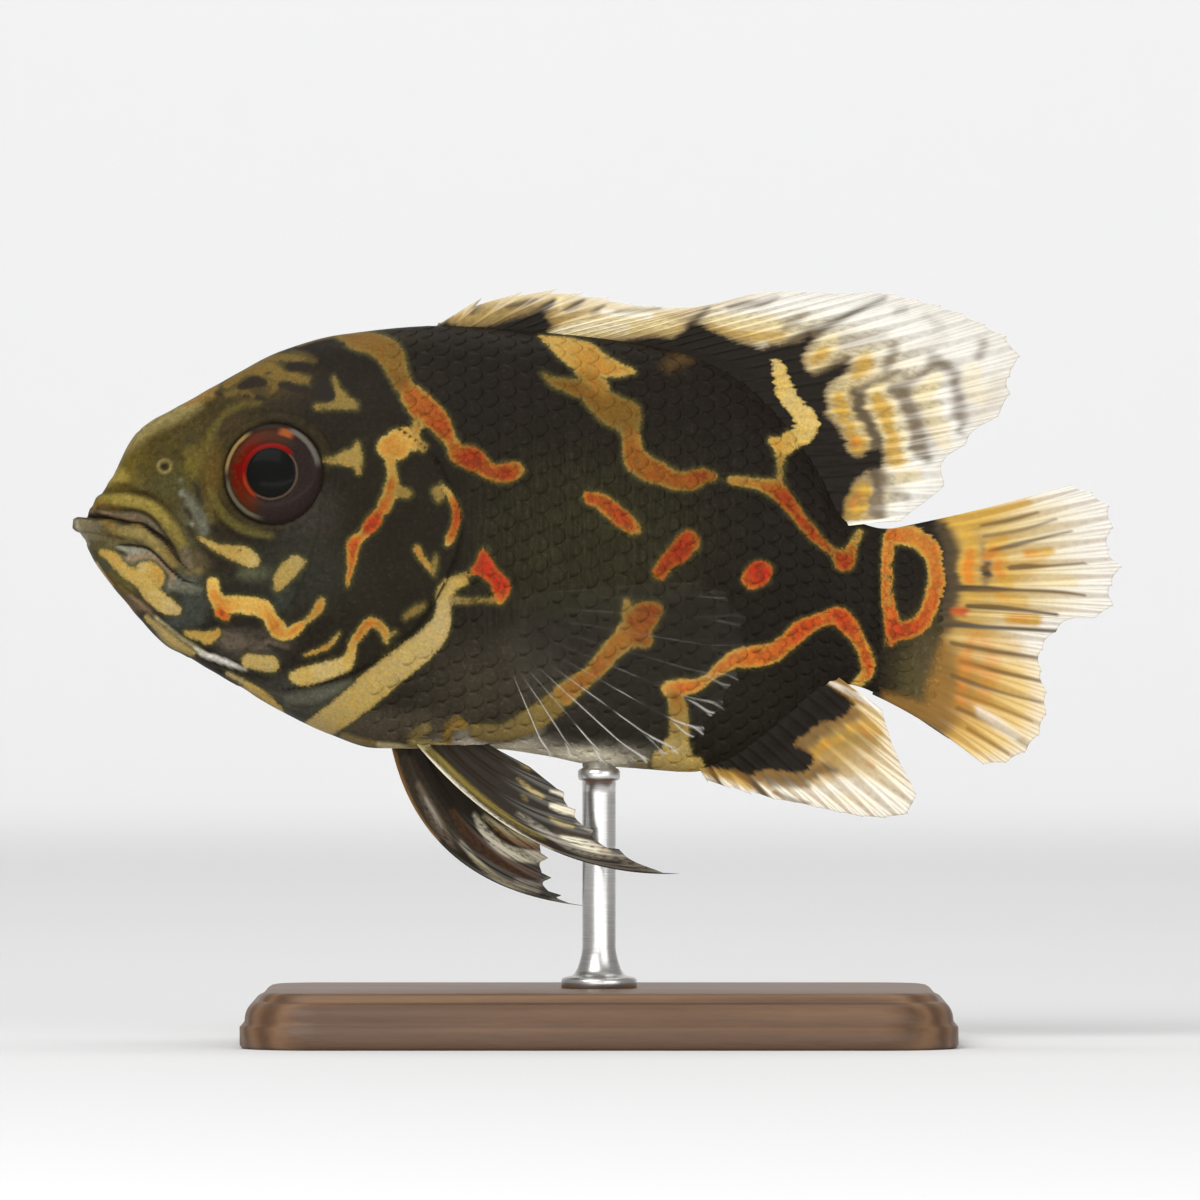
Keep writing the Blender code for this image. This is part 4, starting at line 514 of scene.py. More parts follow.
# Soft strokes of further colour, laid in this order: (colour, strength, ((x, z, radius), ...)), with the
# stroke's own softness before its line where it isn't STROKE_SOFT
STROKE_SOFT = 0.16
STROKE_REACH = 2.0  # a stroke colours nothing further from its points than this
TINTS = (
    # Forehead
    # Painted light: the lit top front edge of the head, from the snout up over the forehead
    ("hay", 0.9, 0.6, ((-43.4, 52.6, 0.3), (-42.3, 53.9, 0.6), (-41.0, 55.2, 0.8), (-39.4, 56.1, 0.8),
        (-37.6, 56.9, 0.8), (-36.2, 57.6, 0.6))),
    ("gold", 0.8, 0.4, ((-44.0, 50.7, 0.5), (-43.2, 51.1, 0.7), (-42.6, 51.0, 0.4))),
    ("tan", 0.9, 0.35, ((-37.2, 57.5, 0.3), (-35.8, 58.2, 0.55), (-34.9, 58.6, 0.5), (-34.3, 59.2, 0.25))),
    ("dusk", 0.7, 0.3, ((-34.3, 58.6, 0.25), (-33.6, 58.9, 0.32), (-33.0, 59.1, 0.25))),
    ("dusk", 0.6, 0.25, ((-35.0, 56.9, 0.2), (-34.0, 57.6, 0.25), (-33.0, 57.9, 0.3), (-32.4, 57.9, 0.2))),
    ("tan", 0.85, 0.35, ((-33.3, 60.0, 0.3), (-32.2, 60.5, 0.45), (-31.0, 60.9, 0.5), (-30.0, 61.3, 0.4),
        (-29.0, 61.9, 0.3))),
    ("ochre", 0.9, 0.35, ((-31.0, 60.5, 0.3), (-30.0, 60.5, 0.7), (-29.2, 60.4, 0.8), (-29.2, 59.5, 0.6),
        (-29.3, 58.9, 0.35))),
    ("ochre", 0.7, 0.25, ((-28.4, 60.1, 0.35), (-27.0, 59.8, 0.35), (-26.0, 59.6, 0.3))),
    ("ochre", 0.65, 0.25, ((-33.4, 58.4, 0.25), (-32.4, 58.7, 0.3), (-31.4, 58.4, 0.2),
        (-31.1, 58.2, 0.14))),
    ("ochre", 0.5, 0.3, ((-27.6, 62.2, 0.2), (-26.4, 61.8, 0.3), (-25.6, 61.4, 0.3))),
    ("tan", 0.6, 0.2, ((-27.0, 62.9, 0.2), (-25.0, 63.5, 0.2), (-23.0, 63.8, 0.25))),
    # Snout
    ("dusk", 0.6, 0.3, ((-43.6, 50.3, 0.12), (-42.2, 50.1, 0.2), (-41.4, 49.7, 0.3), (-40.4, 49.4, 0.2))),
    ("dusk", 0.55, 0.35, ((-41.3, 51.8, 0.3), (-40.8, 51.3, 0.3))),
    ("dusk", 0.5, 0.35, ((-38.1, 53.0, 0.25), (-37.5, 52.6, 0.3))),
    ("dusk", 0.7, 0.3, ((-37.3, 54.0, 0.25), (-36.7, 54.3, 0.35), (-36.2, 54.5, 0.2))),
    ("hay", 0.8, 0.12, ((-39.0, 51.9, 0.7),)),
    # Painted shade in the nostril's hole
    ("dusk", 0.9, 0.12, ((-39.0, 51.88, 0.4),)),
    # Round the eye
    ("moss", 0.6, 0.3, ((-35.6, 52.6, 0.4), (-35.1, 54.2, 0.35), (-34.4, 55.6, 0.3), (-33.3, 56.8, 0.3),
        (-31.8, 57.4, 0.28), (-30.4, 57.6, 0.2))),
    ("olive", 0.8, 0.25, ((-34.8, 49.6, 0.3), (-34.2, 48.3, 0.4), (-33.2, 47.2, 0.4), (-32.0, 46.4, 0.4),
        (-30.6, 45.9, 0.35), (-29.4, 45.7, 0.25))),
    ("dusk", 0.65, 0.3, ((-34.1, 51.4, 0.1), (-33.9, 49.9, 0.2), (-33.2, 48.4, 0.25), (-32.1, 47.2, 0.3),
        (-30.6, 46.6, 0.3), (-28.8, 46.5, 0.25))),
    ("dusk", 0.5, 0.4, ((-33.9, 53.2, 0.2), (-32.9, 55.0, 0.35), (-31.2, 56.2, 0.45), (-29.0, 56.6, 0.45),
        (-26.8, 56.0, 0.4), (-25.0, 54.4, 0.4), (-24.2, 52.0, 0.4))),
    # Cheek behind the lip
    # The haze and pale strokes here are painted highlights
    ("haze", 0.85, 0.3, ((-37.3, 49.6, 0.25), (-36.7, 48.7, 0.35), (-36.1, 47.9, 0.42), (-35.6, 47.0, 0.5),
        (-35.3, 46.2, 0.4), (-35.5, 45.8, 0.25))),
    ("haze", 0.8, 0.2, ((-37.5, 50.6, 0.2),)),
    ("pale", 0.8, 0.2, ((-37.45, 49.5, 0.22),)),
    ("pale", 0.8, 0.16, ((-36.5, 46.7, 0.18),)),
    ("olive", 0.6, 0.3, ((-35.2, 48.4, 0.3), (-34.9, 47.6, 0.35), (-34.8, 47.0, 0.2))),
    ("black", 0.85, 0.22, ((-36.4, 50.4, 0.2), (-36.0, 50.0, 0.2), (-35.9, 49.2, 0.2),
        (-35.6, 48.7, 0.14))),
    ("black", 0.75, 0.22, ((-37.1, 48.0, 0.2), (-36.7, 47.6, 0.22), (-36.6, 47.2, 0.1))),
    ("black", 0.8, 0.22, ((-36.8, 46.4, 0.2), (-36.4, 45.9, 0.25), (-35.9, 45.5, 0.15))),
    ("black", 0.9, 0.3, ((-34.8, 46.4, 0.25), (-34.2, 46.0, 0.5), (-33.3, 45.7, 0.4), (-32.2, 45.5, 0.3))),
    ("black", 0.85, 0.3, ((-36.0, 44.8, 0.15), (-35.0, 44.0, 0.3), (-34.0, 43.1, 0.55),
        (-33.0, 42.6, 0.55))),
    ("sand", 0.4, 0.3, ((-36.8, 42.4, 0.25), (-35.8, 42.5, 0.3))),
    # Upper lip
    ("lip", 0.9, 0.3, ((-44.7, 49.0, 0.35), (-43.2, 48.9, 0.5), (-41.8, 48.75, 0.55), (-40.4, 48.3, 0.55),
        (-39.4, 47.6, 0.55), (-38.6, 46.7, 0.5), (-37.9, 45.8, 0.45), (-37.4, 45.0, 0.4))),
    ("olive", 0.6, 0.3, ((-38.4, 46.4, 0.4), (-37.7, 45.4, 0.5), (-37.2, 44.6, 0.45))),
    ("amber", 0.8, 0.2, ((-45.5, 48.4, 0.3), (-44.9, 48.7, 0.3))),
    ("bark", 0.85, 0.18, ((-44.9, 48.4, 0.15), (-43.7, 48.25, 0.25), (-42.7, 48.05, 0.2))),
    ("soot", 0.85, 0.14, ((-43.0, 48.0, 0.08), (-41.6, 47.95, 0.14), (-40.6, 47.6, 0.2), (-39.9, 47.0, 0.2),
        (-39.2, 46.0, 0.2), (-38.6, 45.2, 0.2), (-38.1, 44.6, 0.15))),
    ("mauve", 0.8, 0.18, ((-44.8, 47.8, 0.1), (-43.2, 47.6, 0.14), (-42.0, 47.5, 0.22), (-41.0, 47.2, 0.22),
        (-40.2, 46.8, 0.2), (-39.4, 46.0, 0.2), (-38.8, 45.3, 0.18))),
    ("pink", 0.55, 0.1, ((-45.8, 47.85, 0.08), (-44.6, 47.8, 0.1), (-43.2, 47.35, 0.1), (-42.0, 47.15, 0.1),
        (-41.0, 47.0, 0.1))),
    ("mauve", 0.8, 0.3, ((-37.2, 44.4, 0.25), (-36.9, 43.6, 0.35), (-36.7, 43.0, 0.25))),
    # Lower lip
    ("smoke", 0.6, 0.2, ((-47.0, 47.0, 0.15), (-46.9, 46.4, 0.2), (-46.4, 45.6, 0.2), (-45.9, 44.9, 0.1))),
    # Painted shadow in the mouth's slit
    ("soot", 0.9, 0.14, ((-46.8, 47.4, 0.12), (-45.6, 47.3, 0.24), (-44.6, 47.25, 0.2),
        (-44.0, 47.2, 0.08))),
    ("amber", 0.8, 0.22, ((-44.4, 46.9, 0.25), (-43.8, 46.6, 0.35), (-43.5, 46.2, 0.25))),
    ("sand", 0.9, 0.3, ((-43.4, 46.0, 0.3), (-42.2, 46.0, 0.5), (-41.2, 45.9, 0.5), (-40.4, 45.4, 0.45),
        (-39.6, 44.6, 0.45), (-38.8, 43.8, 0.38), (-38.2, 43.1, 0.3))),
    ("amber", 0.6, 0.2, ((-41.8, 46.9, 0.18), (-41.1, 46.6, 0.2))),
    ("amber", 0.6, 0.2, ((-39.0, 44.5, 0.14), (-38.4, 43.8, 0.18), (-37.9, 43.1, 0.16))),
    # Painted shadow in the mouth's slit, this stroke and the next
    ("soot", 0.9, 0.1, ((-43.05, 46.97, 0.16), (-42.5, 46.82, 0.22), (-42.0, 46.8, 0.1))),
    ("black", 0.9, 0.12, ((-40.8, 46.6, 0.1), (-40.1, 46.1, 0.18), (-39.3, 45.6, 0.2),
        (-38.7, 45.2, 0.16))),
    # Painted shadow in the mouth's slit
    ("soot", 0.8, 0.22, ((-38.4, 45.0, 0.2), (-38.0, 44.3, 0.25), (-37.7, 43.6, 0.2))),
    ("bark", 0.6, 0.16, ((-44.8, 46.1, 0.12), (-43.6, 45.6, 0.2), (-42.4, 45.25, 0.16))),
    # Lower jaw
    ("pale", 0.75, 0.18, ((-43.2, 44.65, 0.12), (-42.3, 44.45, 0.25), (-41.4, 44.3, 0.3),
        (-40.7, 44.2, 0.2))),
    ("pink", 0.75, 0.2, ((-42.6, 43.5, 0.2), (-41.3, 43.8, 0.3), (-40.3, 43.85, 0.25), (-39.5, 43.35, 0.25),
        (-38.8, 42.7, 0.25), (-38.2, 42.0, 0.25), (-38.4, 41.2, 0.2))),
    ("soot", 0.85, 0.14, ((-43.3, 44.3, 0.12), (-42.8, 44.12, 0.2), (-42.4, 43.9, 0.1))),
    ("straw", 0.5, 0.3, ((-41.6, 42.5, 0.3), (-41.0, 42.0, 0.35))),
    ("olive", 0.8, 0.25, ((-43.9, 42.2, 0.25), (-42.9, 41.4, 0.32), (-41.9, 40.6, 0.28))),
    ("slate", 0.85, 0.2, ((-44.6, 43.2, 0.22), (-44.0, 42.9, 0.2))),
    ("bark", 0.7, 0.14, ((-44.3, 42.4, 0.12), (-43.4, 41.2, 0.15), (-42.4, 40.1, 0.15))),
    ("straw", 0.8, 0.14, ((-45.2, 43.2, 0.15), (-44.5, 42.1, 0.15), (-43.8, 41.2, 0.12))),
    ("pink", 0.5, 0.2, ((-42.2, 40.3, 0.14), (-41.2, 39.5, 0.18), (-40.2, 38.7, 0.14), (-39.4, 37.9, 0.1))),
    ("slate", 0.7, 0.2, ((-41.6, 40.9, 0.15), (-40.6, 40.0, 0.2), (-39.8, 39.1, 0.2))),
    ("haze", 0.75, 0.25, ((-38.4, 41.4, 0.25), (-37.4, 41.05, 0.42), (-36.5, 40.9, 0.42),
        (-35.8, 40.8, 0.3))),
    ("black", 0.7, 0.2, ((-38.1, 40.5, 0.22), (-37.5, 40.3, 0.2))),
    ("slate", 0.8, 0.35, ((-37.2, 39.8, 0.4), (-36.3, 39.2, 0.5), (-36.0, 38.4, 0.45))),
    ("slate", 0.7, 0.25, ((-38.4, 38.1, 0.3), (-37.4, 37.9, 0.35), (-36.4, 37.8, 0.3))),
    ("cream", 0.85, 0.2, ((-40.6, 38.4, 0.2), (-39.6, 37.3, 0.36), (-38.7, 36.4, 0.5), (-37.8, 35.7, 0.4),
        (-36.8, 35.1, 0.2))),
    ("soot", 0.8, 0.14, ((-36.8, 35.2, 0.1), (-35.8, 34.65, 0.14), (-34.8, 34.1, 0.14),
        (-33.6, 33.6, 0.1))),
    ("cream", 0.8, 0.25, ((-39.8, 38.3, 0.1), (-38.4, 37.1, 0.15), (-36.9, 36.0, 0.2), (-35.6, 35.1, 0.2))),
    ("milk", 0.9, 0.16, ((-36.4, 35.55, 0.1), (-35.4, 34.95, 0.2), (-34.2, 34.6, 0.24), (-33.0, 34.1, 0.16),
        (-31.7, 33.6, 0.06))),
    # Throat and belly
    ("mauve", 0.45, ((-34.6, 36.9, 0.5), (-33.4, 36.4, 0.8), (-32.2, 36.0, 0.7))),
    ("mauve", 0.4, ((-31.0, 35.9, 0.5), (-29.4, 36.0, 0.45), (-28.0, 35.6, 0.3))),
    ("haze", 0.5, 0.3, ((-27.8, 30.9, 0.5), (-25.6, 31.3, 0.6), (-23.6, 32.0, 0.5), (-22.4, 32.4, 0.3))),
    ("umber", 0.7, 0.3, ((-22.0, 28.4, 0.5), (-19.8, 28.0, 0.9), (-17.4, 28.4, 0.9), (-15.4, 29.2, 0.6))),
    ("sand", 0.8, 0.2, ((-23.0, 27.7, 0.3), (-21.4, 27.2, 0.3), (-19.8, 26.9, 0.25))),
    ("cream", 0.9, 0.2, ((-19.8, 26.9, 0.2), (-18.2, 26.6, 0.4), (-16.9, 26.3, 0.4), (-15.6, 26.0, 0.3))),
    ("sand", 0.75, 0.2, ((-16.9, 27.2, 0.3), (-16.3, 27.9, 0.45), (-15.4, 28.4, 0.4))),
    ("straw", 0.7, 0.2, ((-16.6, 26.9, 0.3), (-15.4, 26.9, 0.4), (-14.3, 26.8, 0.4), (-13.6, 27.1, 0.3))),
    ("tan", 1.0, 0.2, ((-13.5, 27.3, 0.3), (-13.6, 28.0, 0.35), (-13.2, 28.7, 0.45), (-12.6, 29.1, 0.4))),
    ("smoke", 0.75, 0.35, ((-12.6, 28.4, 0.4), (-11.6, 27.8, 0.6), (-9.5, 27.5, 0.7), (-7.4, 27.7, 0.9),
        (-5.8, 28.6, 0.8))),
    # The belly's pale lower edge, with a painted highlight along it
    ("white", 0.8, 0.3, ((-12.0, 26.7, 0.3), (-9.4, 26.3, 0.55), (-6.6, 26.1, 0.4))),
    ("white", 0.7, 0.4, ((-3.6, 25.9, 0.3), (-1.4, 26.0, 0.6), (0.6, 25.8, 0.5), (2.2, 25.2, 0.3))),
    ("sand", 0.7, 0.3, ((3.4, 25.2, 0.3), (4.8, 25.4, 0.5), (5.6, 25.6, 0.4))),
    ("bark", 0.55, 0.7, ((6.2, 61.0, 0.5), (7.8, 61.8, 0.6), (9.4, 62.8, 0.4))),
    # The belly's pale lower edge, with a painted highlight along it
    ("white", 0.25, 0.5, ((-10.4, 26.5, 0.3), (-8.0, 26.3, 0.5), (-4.5, 26.1, 0.5), (-1.5, 25.9, 0.4))),
    # Tail stalk's end
    ("bronze", 0.8, 0.6, ((26.0, 31.2, 0.4), (28.5, 30.2, 0.7), (31.0, 29.4, 1.2))),
    ("bronze", 0.95, 0.7, ((31.4, 36.4, 0.5), (31.1, 34.0, 1.1), (30.9, 31.6, 1.5))),
    ("bistre", 0.5, 0.8, ((29.6, 36.0, 0.7), (29.4, 33.8, 0.8))),
    ("honey", 0.7, 0.3, ((30.8, 47.2, 0.4), (31.6, 47.4, 0.4))),
)

# Dark spots and lines painted on the head: ((x, z, radius), ...)
SPOT_STRENGTH, SPOT_SOFT = 0.8, 0.22
SPOTS = (
    ((-29.9, 60.2, 0.16), (-29.5, 60.3, 0.16)),
    ((-34.4, 58.5, 0.2), (-33.9, 58.3, 0.2)),
    ((-30.6, 58.05, 0.3), (-30.1, 57.95, 0.22)),
    ((-23.6, 62.8, 0.3), (-23.0, 62.9, 0.25)),
    ((-27.6, 60.8, 0.5), (-26.8, 60.9, 0.5), (-26.1, 60.8, 0.4)),
    ((-32.2, 59.0, 0.35), (-31.5, 59.3, 0.5), (-30.8, 59.5, 0.6), (-30.1, 59.4, 0.4)),
    ((-28.5, 59.2, 0.35), (-28.0, 59.2, 0.45), (-27.2, 58.8, 0.4), (-26.2, 58.8, 0.3)),
    ((-25.4, 59.4, 0.6), (-24.7, 58.8, 0.8), (-24.3, 58.3, 0.7)),
    ((-31.8, 58.2, 0.2), (-31.4, 58.15, 0.2)),
    ((-23.4, 51.3, 0.5), (-22.8, 51.3, 0.6)),
    ((-33.6, 59.7, 0.16), (-32.6, 60.4, 0.14)),
    ((-32.4, 37.7, 0.3), (-31.4, 37.9, 0.35), (-30.6, 37.5, 0.3)),
    ((-29.6, 35.8, 0.2), (-28.6, 35.4, 0.3), (-27.6, 35.2, 0.25)),
    ((-32.4, 44.25, 0.14), (-32.1, 44.35, 0.14)),
)

# Paint of the pelvic fins: (colour, strength, ((x, z, radius), ...)), laid in this order
LEFT_PELVIC_PAINT = (
    ("gold", 0.75, ((-16.0, 26.9, 0.3), (-14.6, 25.7, 0.34), (-12.3, 23.65, 0.32), (-10.1, 21.8, 0.3),
        (-7.9, 20.15, 0.28), (-6.2, 19.1, 0.22), (-5.0, 18.6, 0.16))),
    ("smoke", 0.85, ((-7.2, 20.7, 0.2), (-5.5, 19.6, 0.3), (-4.0, 18.6, 0.32), (-2.5, 17.8, 0.36),
        (-1.0, 17.3, 0.42), (1.0, 17.0, 0.36), (2.6, 16.8, 0.3))),
    ("white", 0.95, ((-3.2, 18.7, 0.2), (-1.8, 18.2, 0.4), (-0.4, 17.7, 0.4), (0.8, 17.3, 0.2))),
    ("rust", 0.6, ((0.1, 17.5, 0.2), (0.8, 17.3, 0.2))),
    ("umber", 0.9, ((-3.8, 19.1, 0.3), (-2.0, 18.9, 0.25), (0.0, 18.4, 0.2), (1.0, 17.9, 0.2))),
    ("taupe", 0.8, ((2.4, 16.5, 0.4), (5.0, 15.9, 0.4), (7.3, 15.4, 0.4))),
    ("umber", 0.8, ((-4.8, 17.75, 0.12), (-3.0, 17.0, 0.16), (-1.0, 16.5, 0.16), (1.0, 16.1, 0.16),
        (3.0, 15.8, 0.2))),
    ("straw", 0.85, ((-7.3, 23.8, 0.16), (-6.2, 22.9, 0.25), (-5.1, 22.2, 0.18))),
    ("sand", 0.85, ((-6.9, 22.3, 0.2), (-6.6, 22.0, 0.2))),
    ("sand", 0.9, ((-6.9, 25.0, 0.12), (-6.2, 24.7, 0.2))),
    ("white", 0.9, ((-4.5, 22.8, 0.1), (-3.3, 22.4, 0.2), (-2.6, 21.9, 0.14))),
    ("white", 0.95, ((-4.3, 21.4, 0.2), (-3.6, 21.2, 0.36), (-2.6, 20.9, 0.36), (-2.0, 20.6, 0.2))),
    ("straw", 0.8, ((-4.4, 20.3, 0.16), (-3.6, 19.9, 0.2), (-2.4, 19.6, 0.16))),
    ("smoke", 0.8, ((-2.0, 19.9, 0.16), (-0.8, 19.3, 0.16), (0.6, 18.5, 0.12))),
    ("white", 1.0, ((-17.0, 27.0, 0.3), (-15.0, 25.2, 0.3), (-12.7, 23.1, 0.28), (-10.5, 21.2, 0.27),
        (-8.3, 19.6, 0.26), (-6.0, 18.15, 0.24), (-4.4, 17.5, 0.14))),
    ("cream", 0.9, ((-16.6, 26.9, 0.4), (-15.7, 26.9, 0.4))),
)
RIGHT_PELVIC_PAINT = (
    ("umber", 0.9, ((-17.4, 25.0, 1.0), (-16.0, 22.0, 1.2), (-14.4, 19.6, 1.2), (-12.6, 18.0, 0.8))),
    ("maroon", 0.9, ((-13.2, 20.8, 0.3), (-12.0, 19.0, 0.5), (-10.4, 17.4, 0.55), (-8.6, 16.2, 0.55),
        (-6.8, 15.4, 0.5), (-5.5, 15.1, 0.35))),
    ("taupe", 0.9, ((-16.3, 23.2, 0.3), (-15.5, 21.6, 0.5), (-14.7, 20.0, 0.55), (-14.0, 18.8, 0.45),
        (-13.3, 17.8, 0.25))),
    ("ash", 0.7, ((-15.6, 21.9, 0.16), (-14.9, 20.6, 0.2), (-14.3, 19.4, 0.16))),
    ("rust", 0.85, ((-18.6, 26.2, 0.35), (-17.9, 24.0, 0.3), (-17.0, 21.8, 0.25), (-15.8, 19.7, 0.22),
        (-14.4, 18.0, 0.2))),
    ("smoke", 0.9, ((-12.4, 18.0, 0.2), (-11.2, 16.5, 0.28), (-9.5, 15.0, 0.28), (-8.0, 14.2, 0.26),
        (-5.6, 13.6, 0.24))),
    ("cream", 0.7, ((-11.6, 16.9, 0.14), (-10.2, 15.6, 0.16), (-8.6, 14.5, 0.14), (-6.6, 13.9, 0.1))),
    ("cream", 0.8, ((-10.4, 20.4, 0.2), (-9.0, 19.4, 0.28), (-7.2, 18.5, 0.3), (-5.4, 17.9, 0.2))),
    ("smoke", 0.8, ((-7.4, 14.6, 0.2), (-5.6, 14.3, 0.28), (-4.4, 14.7, 0.2))),
    ("white", 0.95, ((-11.3, 20.6, 0.2), (-10.2, 18.9, 0.42), (-8.8, 17.6, 0.5), (-7.2, 16.9, 0.55),
        (-5.6, 16.7, 0.6), (-4.7, 16.4, 0.5))),
    ("rust", 0.85, ((-9.4, 19.3, 0.16), (-8.0, 18.4, 0.22), (-6.6, 17.9, 0.26), (-5.4, 17.6, 0.2))),
    ("black", 0.95, ((-14.2, 18.2, 0.2), (-13.0, 16.5, 0.32), (-11.6, 15.2, 0.28), (-10.0, 14.1, 0.24),
        (-8.0, 13.2, 0.2), (-6.0, 12.7, 0.18), (-4.4, 12.6, 0.18))),
    ("smoke", 0.8, ((-4.0, 12.8, 0.3), (-2.4, 12.4, 0.3), (-1.0, 12.2, 0.3))),
)

# Pelvic fins: (side, root of the first ray, root of the last, middle of the first ray, tips, paint)
PELVIC_FINS = {
    "left": (
        -1, (-17.0, 26.6), (-11.2, 26.6), (-6.6, 14.8),
        ((7.3, 15.4), (1.8, 17.6), (-0.5, 19.4), (-2.1, 21.1), (-3.2, 22.7), (-6.2, 24.9)),
        LEFT_PELVIC_PAINT,
    ),
    "right": (
        1, (-18.9, 26.8), (-12.4, 26.7), (-16.4, 13.8),
        ((-1.1, 12.2), (-3.4, 13.2), (-4.3, 14.8), (-4.6, 16.6), (-5.0, 18.2), (-7.6, 20.4)),
        RIGHT_PELVIC_PAINT,
    ),
}
PELVIC_ROOT_Y = (1.6, 1.3)
PELVIC_TIP_Y = (6.6, 2.9)
PELVIC_FALL = (0.05, 0.05, 0.05, 0.05, 0.06, 0.06)

# Unpaired fins. A fall is how far the skin ends short of a ray's tip, as a share of the ray.
DORSAL_ROOT_X = (-15.0, 22.3)
SPINE_TIPS = (
    (-14.4, 64.9), (-10.5, 67.1), (-6.8, 67.7), (-3.7, 67.95), (-1.3, 67.6), (0.9, 67.15), (3.0, 66.6),
    (5.1, 66.4), (7.2, 66.3), (9.3, 66.4), (11.4, 66.8), (13.6, 67.4),
)
SPINE_FALL = (0.22, 0.26, 0.13, 0.12, 0.09, 0.05, 0.03, 0.02, 0.015, 0.015, 0.015, 0.015)
DORSAL_SOFT_TIPS = (
    (15.6, 67.7), (17.8, 67.7), (20.0, 67.6), (22.3, 67.5), (24.6, 67.65), (26.7, 67.4), (28.8, 66.9),
    (30.8, 66.4), (32.8, 65.7), (34.8, 64.7), (36.7, 63.6), (37.9, 61.8), (37.0, 60.0), (37.0, 58.4),
    (35.9, 56.4), (34.0, 55.3), (32.9, 53.8), (31.0, 52.4), (31.0, 50.1), (28.9, 48.4), (27.1, 47.0),
)
ANAL_ROOT_X = (8.6, 21.4)
ANAL_EDGE = (
    (9.8, 23.5), (12.6, 22.7), (14.8, 22.1), (17.0, 21.8), (21.0, 20.9), (25.0, 20.3), (27.8, 20.7),
    (28.6, 21.7), (27.8, 23.9), (26.4, 27.0), (25.5, 30.0),
)
ANAL_RAYS = 15
ANAL_SPINES, ANAL_SPINE_FALL = 3, 0.12
TAIL_FIN_ROOT = ((24.6, 46.0), (25.2, 42.5), (25.4, 38.6), (25.2, 34.5), (24.6, 31.4))
TAIL_FIN_EDGE = (
    (42.6, 50.3), (44.6, 49.5), (45.9, 48.4), (46.3, 46.2), (46.0, 44.0), (47.1, 42.7), (46.2, 41.4),
    (46.6, 40.0), (45.2, 38.5), (42.4, 38.1), (41.2, 37.1), (40.0, 35.6), (39.8, 33.8), (40.3, 31.6),
    (40.2, 29.2), (38.6, 26.4), (36.8, 25.3), (34.6, 25.1),
)
TAIL_FIN_RAYS = 19
RAY_FALL = 0.012

# Pectoral fins
PECTORAL_ROOT = ((-9.8, 40.2), (-9.0, 36.2))
PECTORAL_TIPS = (
    (9.0, 41.6), (12.4, 39.8), (13.6, 36.3), (12.8, 33.2), (10.8, 29.4), (7.6, 26.3), (2.6, 25.0),
    (-4.6, 25.8),
)
PECTORAL_RAYS = 12
PECTORAL_SPREAD = 4.0
PECTORAL_FALL = 0.02
PECTORAL_BASE_X, PECTORAL_BASE_Z = -10.6, 38.1
PECTORAL_BASE_LONG, PECTORAL_BASE_HIGH, PECTORAL_BASE_LIFT = 1.5, 2.5, 0.30
FIN_SINK = 1.0  # a fin's root lies this deep in the body

# Ground colours of the fins along their rays: (share of the ray, colour)
SPINY_GROUND = (
    (0.0, (0.22, 0.13, 0.034)), (0.5, (0.42, 0.27, 0.075)), (0.85, (0.63, 0.5, 0.28)),
    (1.0, (0.73, 0.67, 0.54)),
)
SOFT_GROUND = (
    (0.0, (0.3, 0.2, 0.08)), (0.35, (0.6, 0.45, 0.2)), (0.55, (0.7, 0.62, 0.44)),
    (0.75, (0.76, 0.73, 0.66)), (0.9, (0.76, 0.73, 0.66)), (1.0, (0.7, 0.66, 0.58)),
)
ANAL_FRONT_GROUND = (
    (0.0, (0.26, 0.15, 0.04)), (0.45, (0.5, 0.34, 0.12)), (0.72, (0.82, 0.74, 0.52)),
    (1.0, (0.88, 0.84, 0.74)),
)
ANAL_REAR_GROUND = (
    (0.0, (0.2, 0.12, 0.04)), (0.6, (0.44, 0.26, 0.07)), (0.85, (0.72, 0.56, 0.3)),
    (1.0, (0.84, 0.76, 0.58)),
)
TAIL_UPPER_GROUND = (
    (0.3, (0.085, 0.055, 0.022)), (0.37, (0.44, 0.28, 0.075)), (0.55, (0.56, 0.4, 0.14)),
    (0.72, (0.65, 0.55, 0.34)), (0.88, (0.76, 0.72, 0.62)), (1.0, (0.8, 0.78, 0.73)),
)
TAIL_LOWER_GROUND = (
    (0.38, (0.13, 0.075, 0.02)), (0.52, (0.36, 0.185, 0.032)), (0.68, (0.55, 0.33, 0.068)),
    (0.86, (0.7, 0.49, 0.17)), (1.0, (0.84, 0.75, 0.57)),
)

# Scales
SCALE_STEP = 1.45  # between two columns
SCALE_ROW = ((-22.0, 1.5), (-5.0, 1.75), (10.0, 1.6), (25.0, 1.1))
SCALE_FRONT_X = -22.0
SCALE_BACK_X = 25.6
SCALE_RAISE = 0.05
SCALE_THICKNESS = 0.024
PLATE_LENGTH, PLATE_WIDTH = 1.85, 1.12  # of a plate, in column steps and in row gaps
PLATE_LONG = np.array((0.0, 0.35, 0.62, 0.8, 0.92, 1.0))
PLATE_WIDE = np.array((0.55, 0.95, 1.0, 0.92, 0.74, 0.5))
PLATE_ACROSS = np.linspace(-1, 1, 5)
PLATE_SINK = 0.03  # of a plate's front end under the skin
COAT_FRONT = ((20.0, -14.0), (32.0, -25.0), (55.2, -19.5), (62.8, -21.5), (70.0, -23.0))  # z, x of its edge
PLATE_SHIFT = 0.06  # each plate lies off its place by up to this much
COVER_GAP = 0.25  # between the gill cover's edge and the middle of a plate
BARE_X, BARE_Z, BARE_LONG, BARE_HIGH = -10.4, 38.1, 1.7, 2.6  # round the pectoral fin's base
PATCH = 0.003  # size of a scale's patch on the unwrapped skin

# Stand
STAND_LENGTH, STAND_DEPTH = 64.0, 40.0
STAND_CORNER, CORNER_POINTS = 7.0, 14
ROD_RADIUS, ROD_TOP_Z, ROD_SIDES = 1.5, 28.0, 48

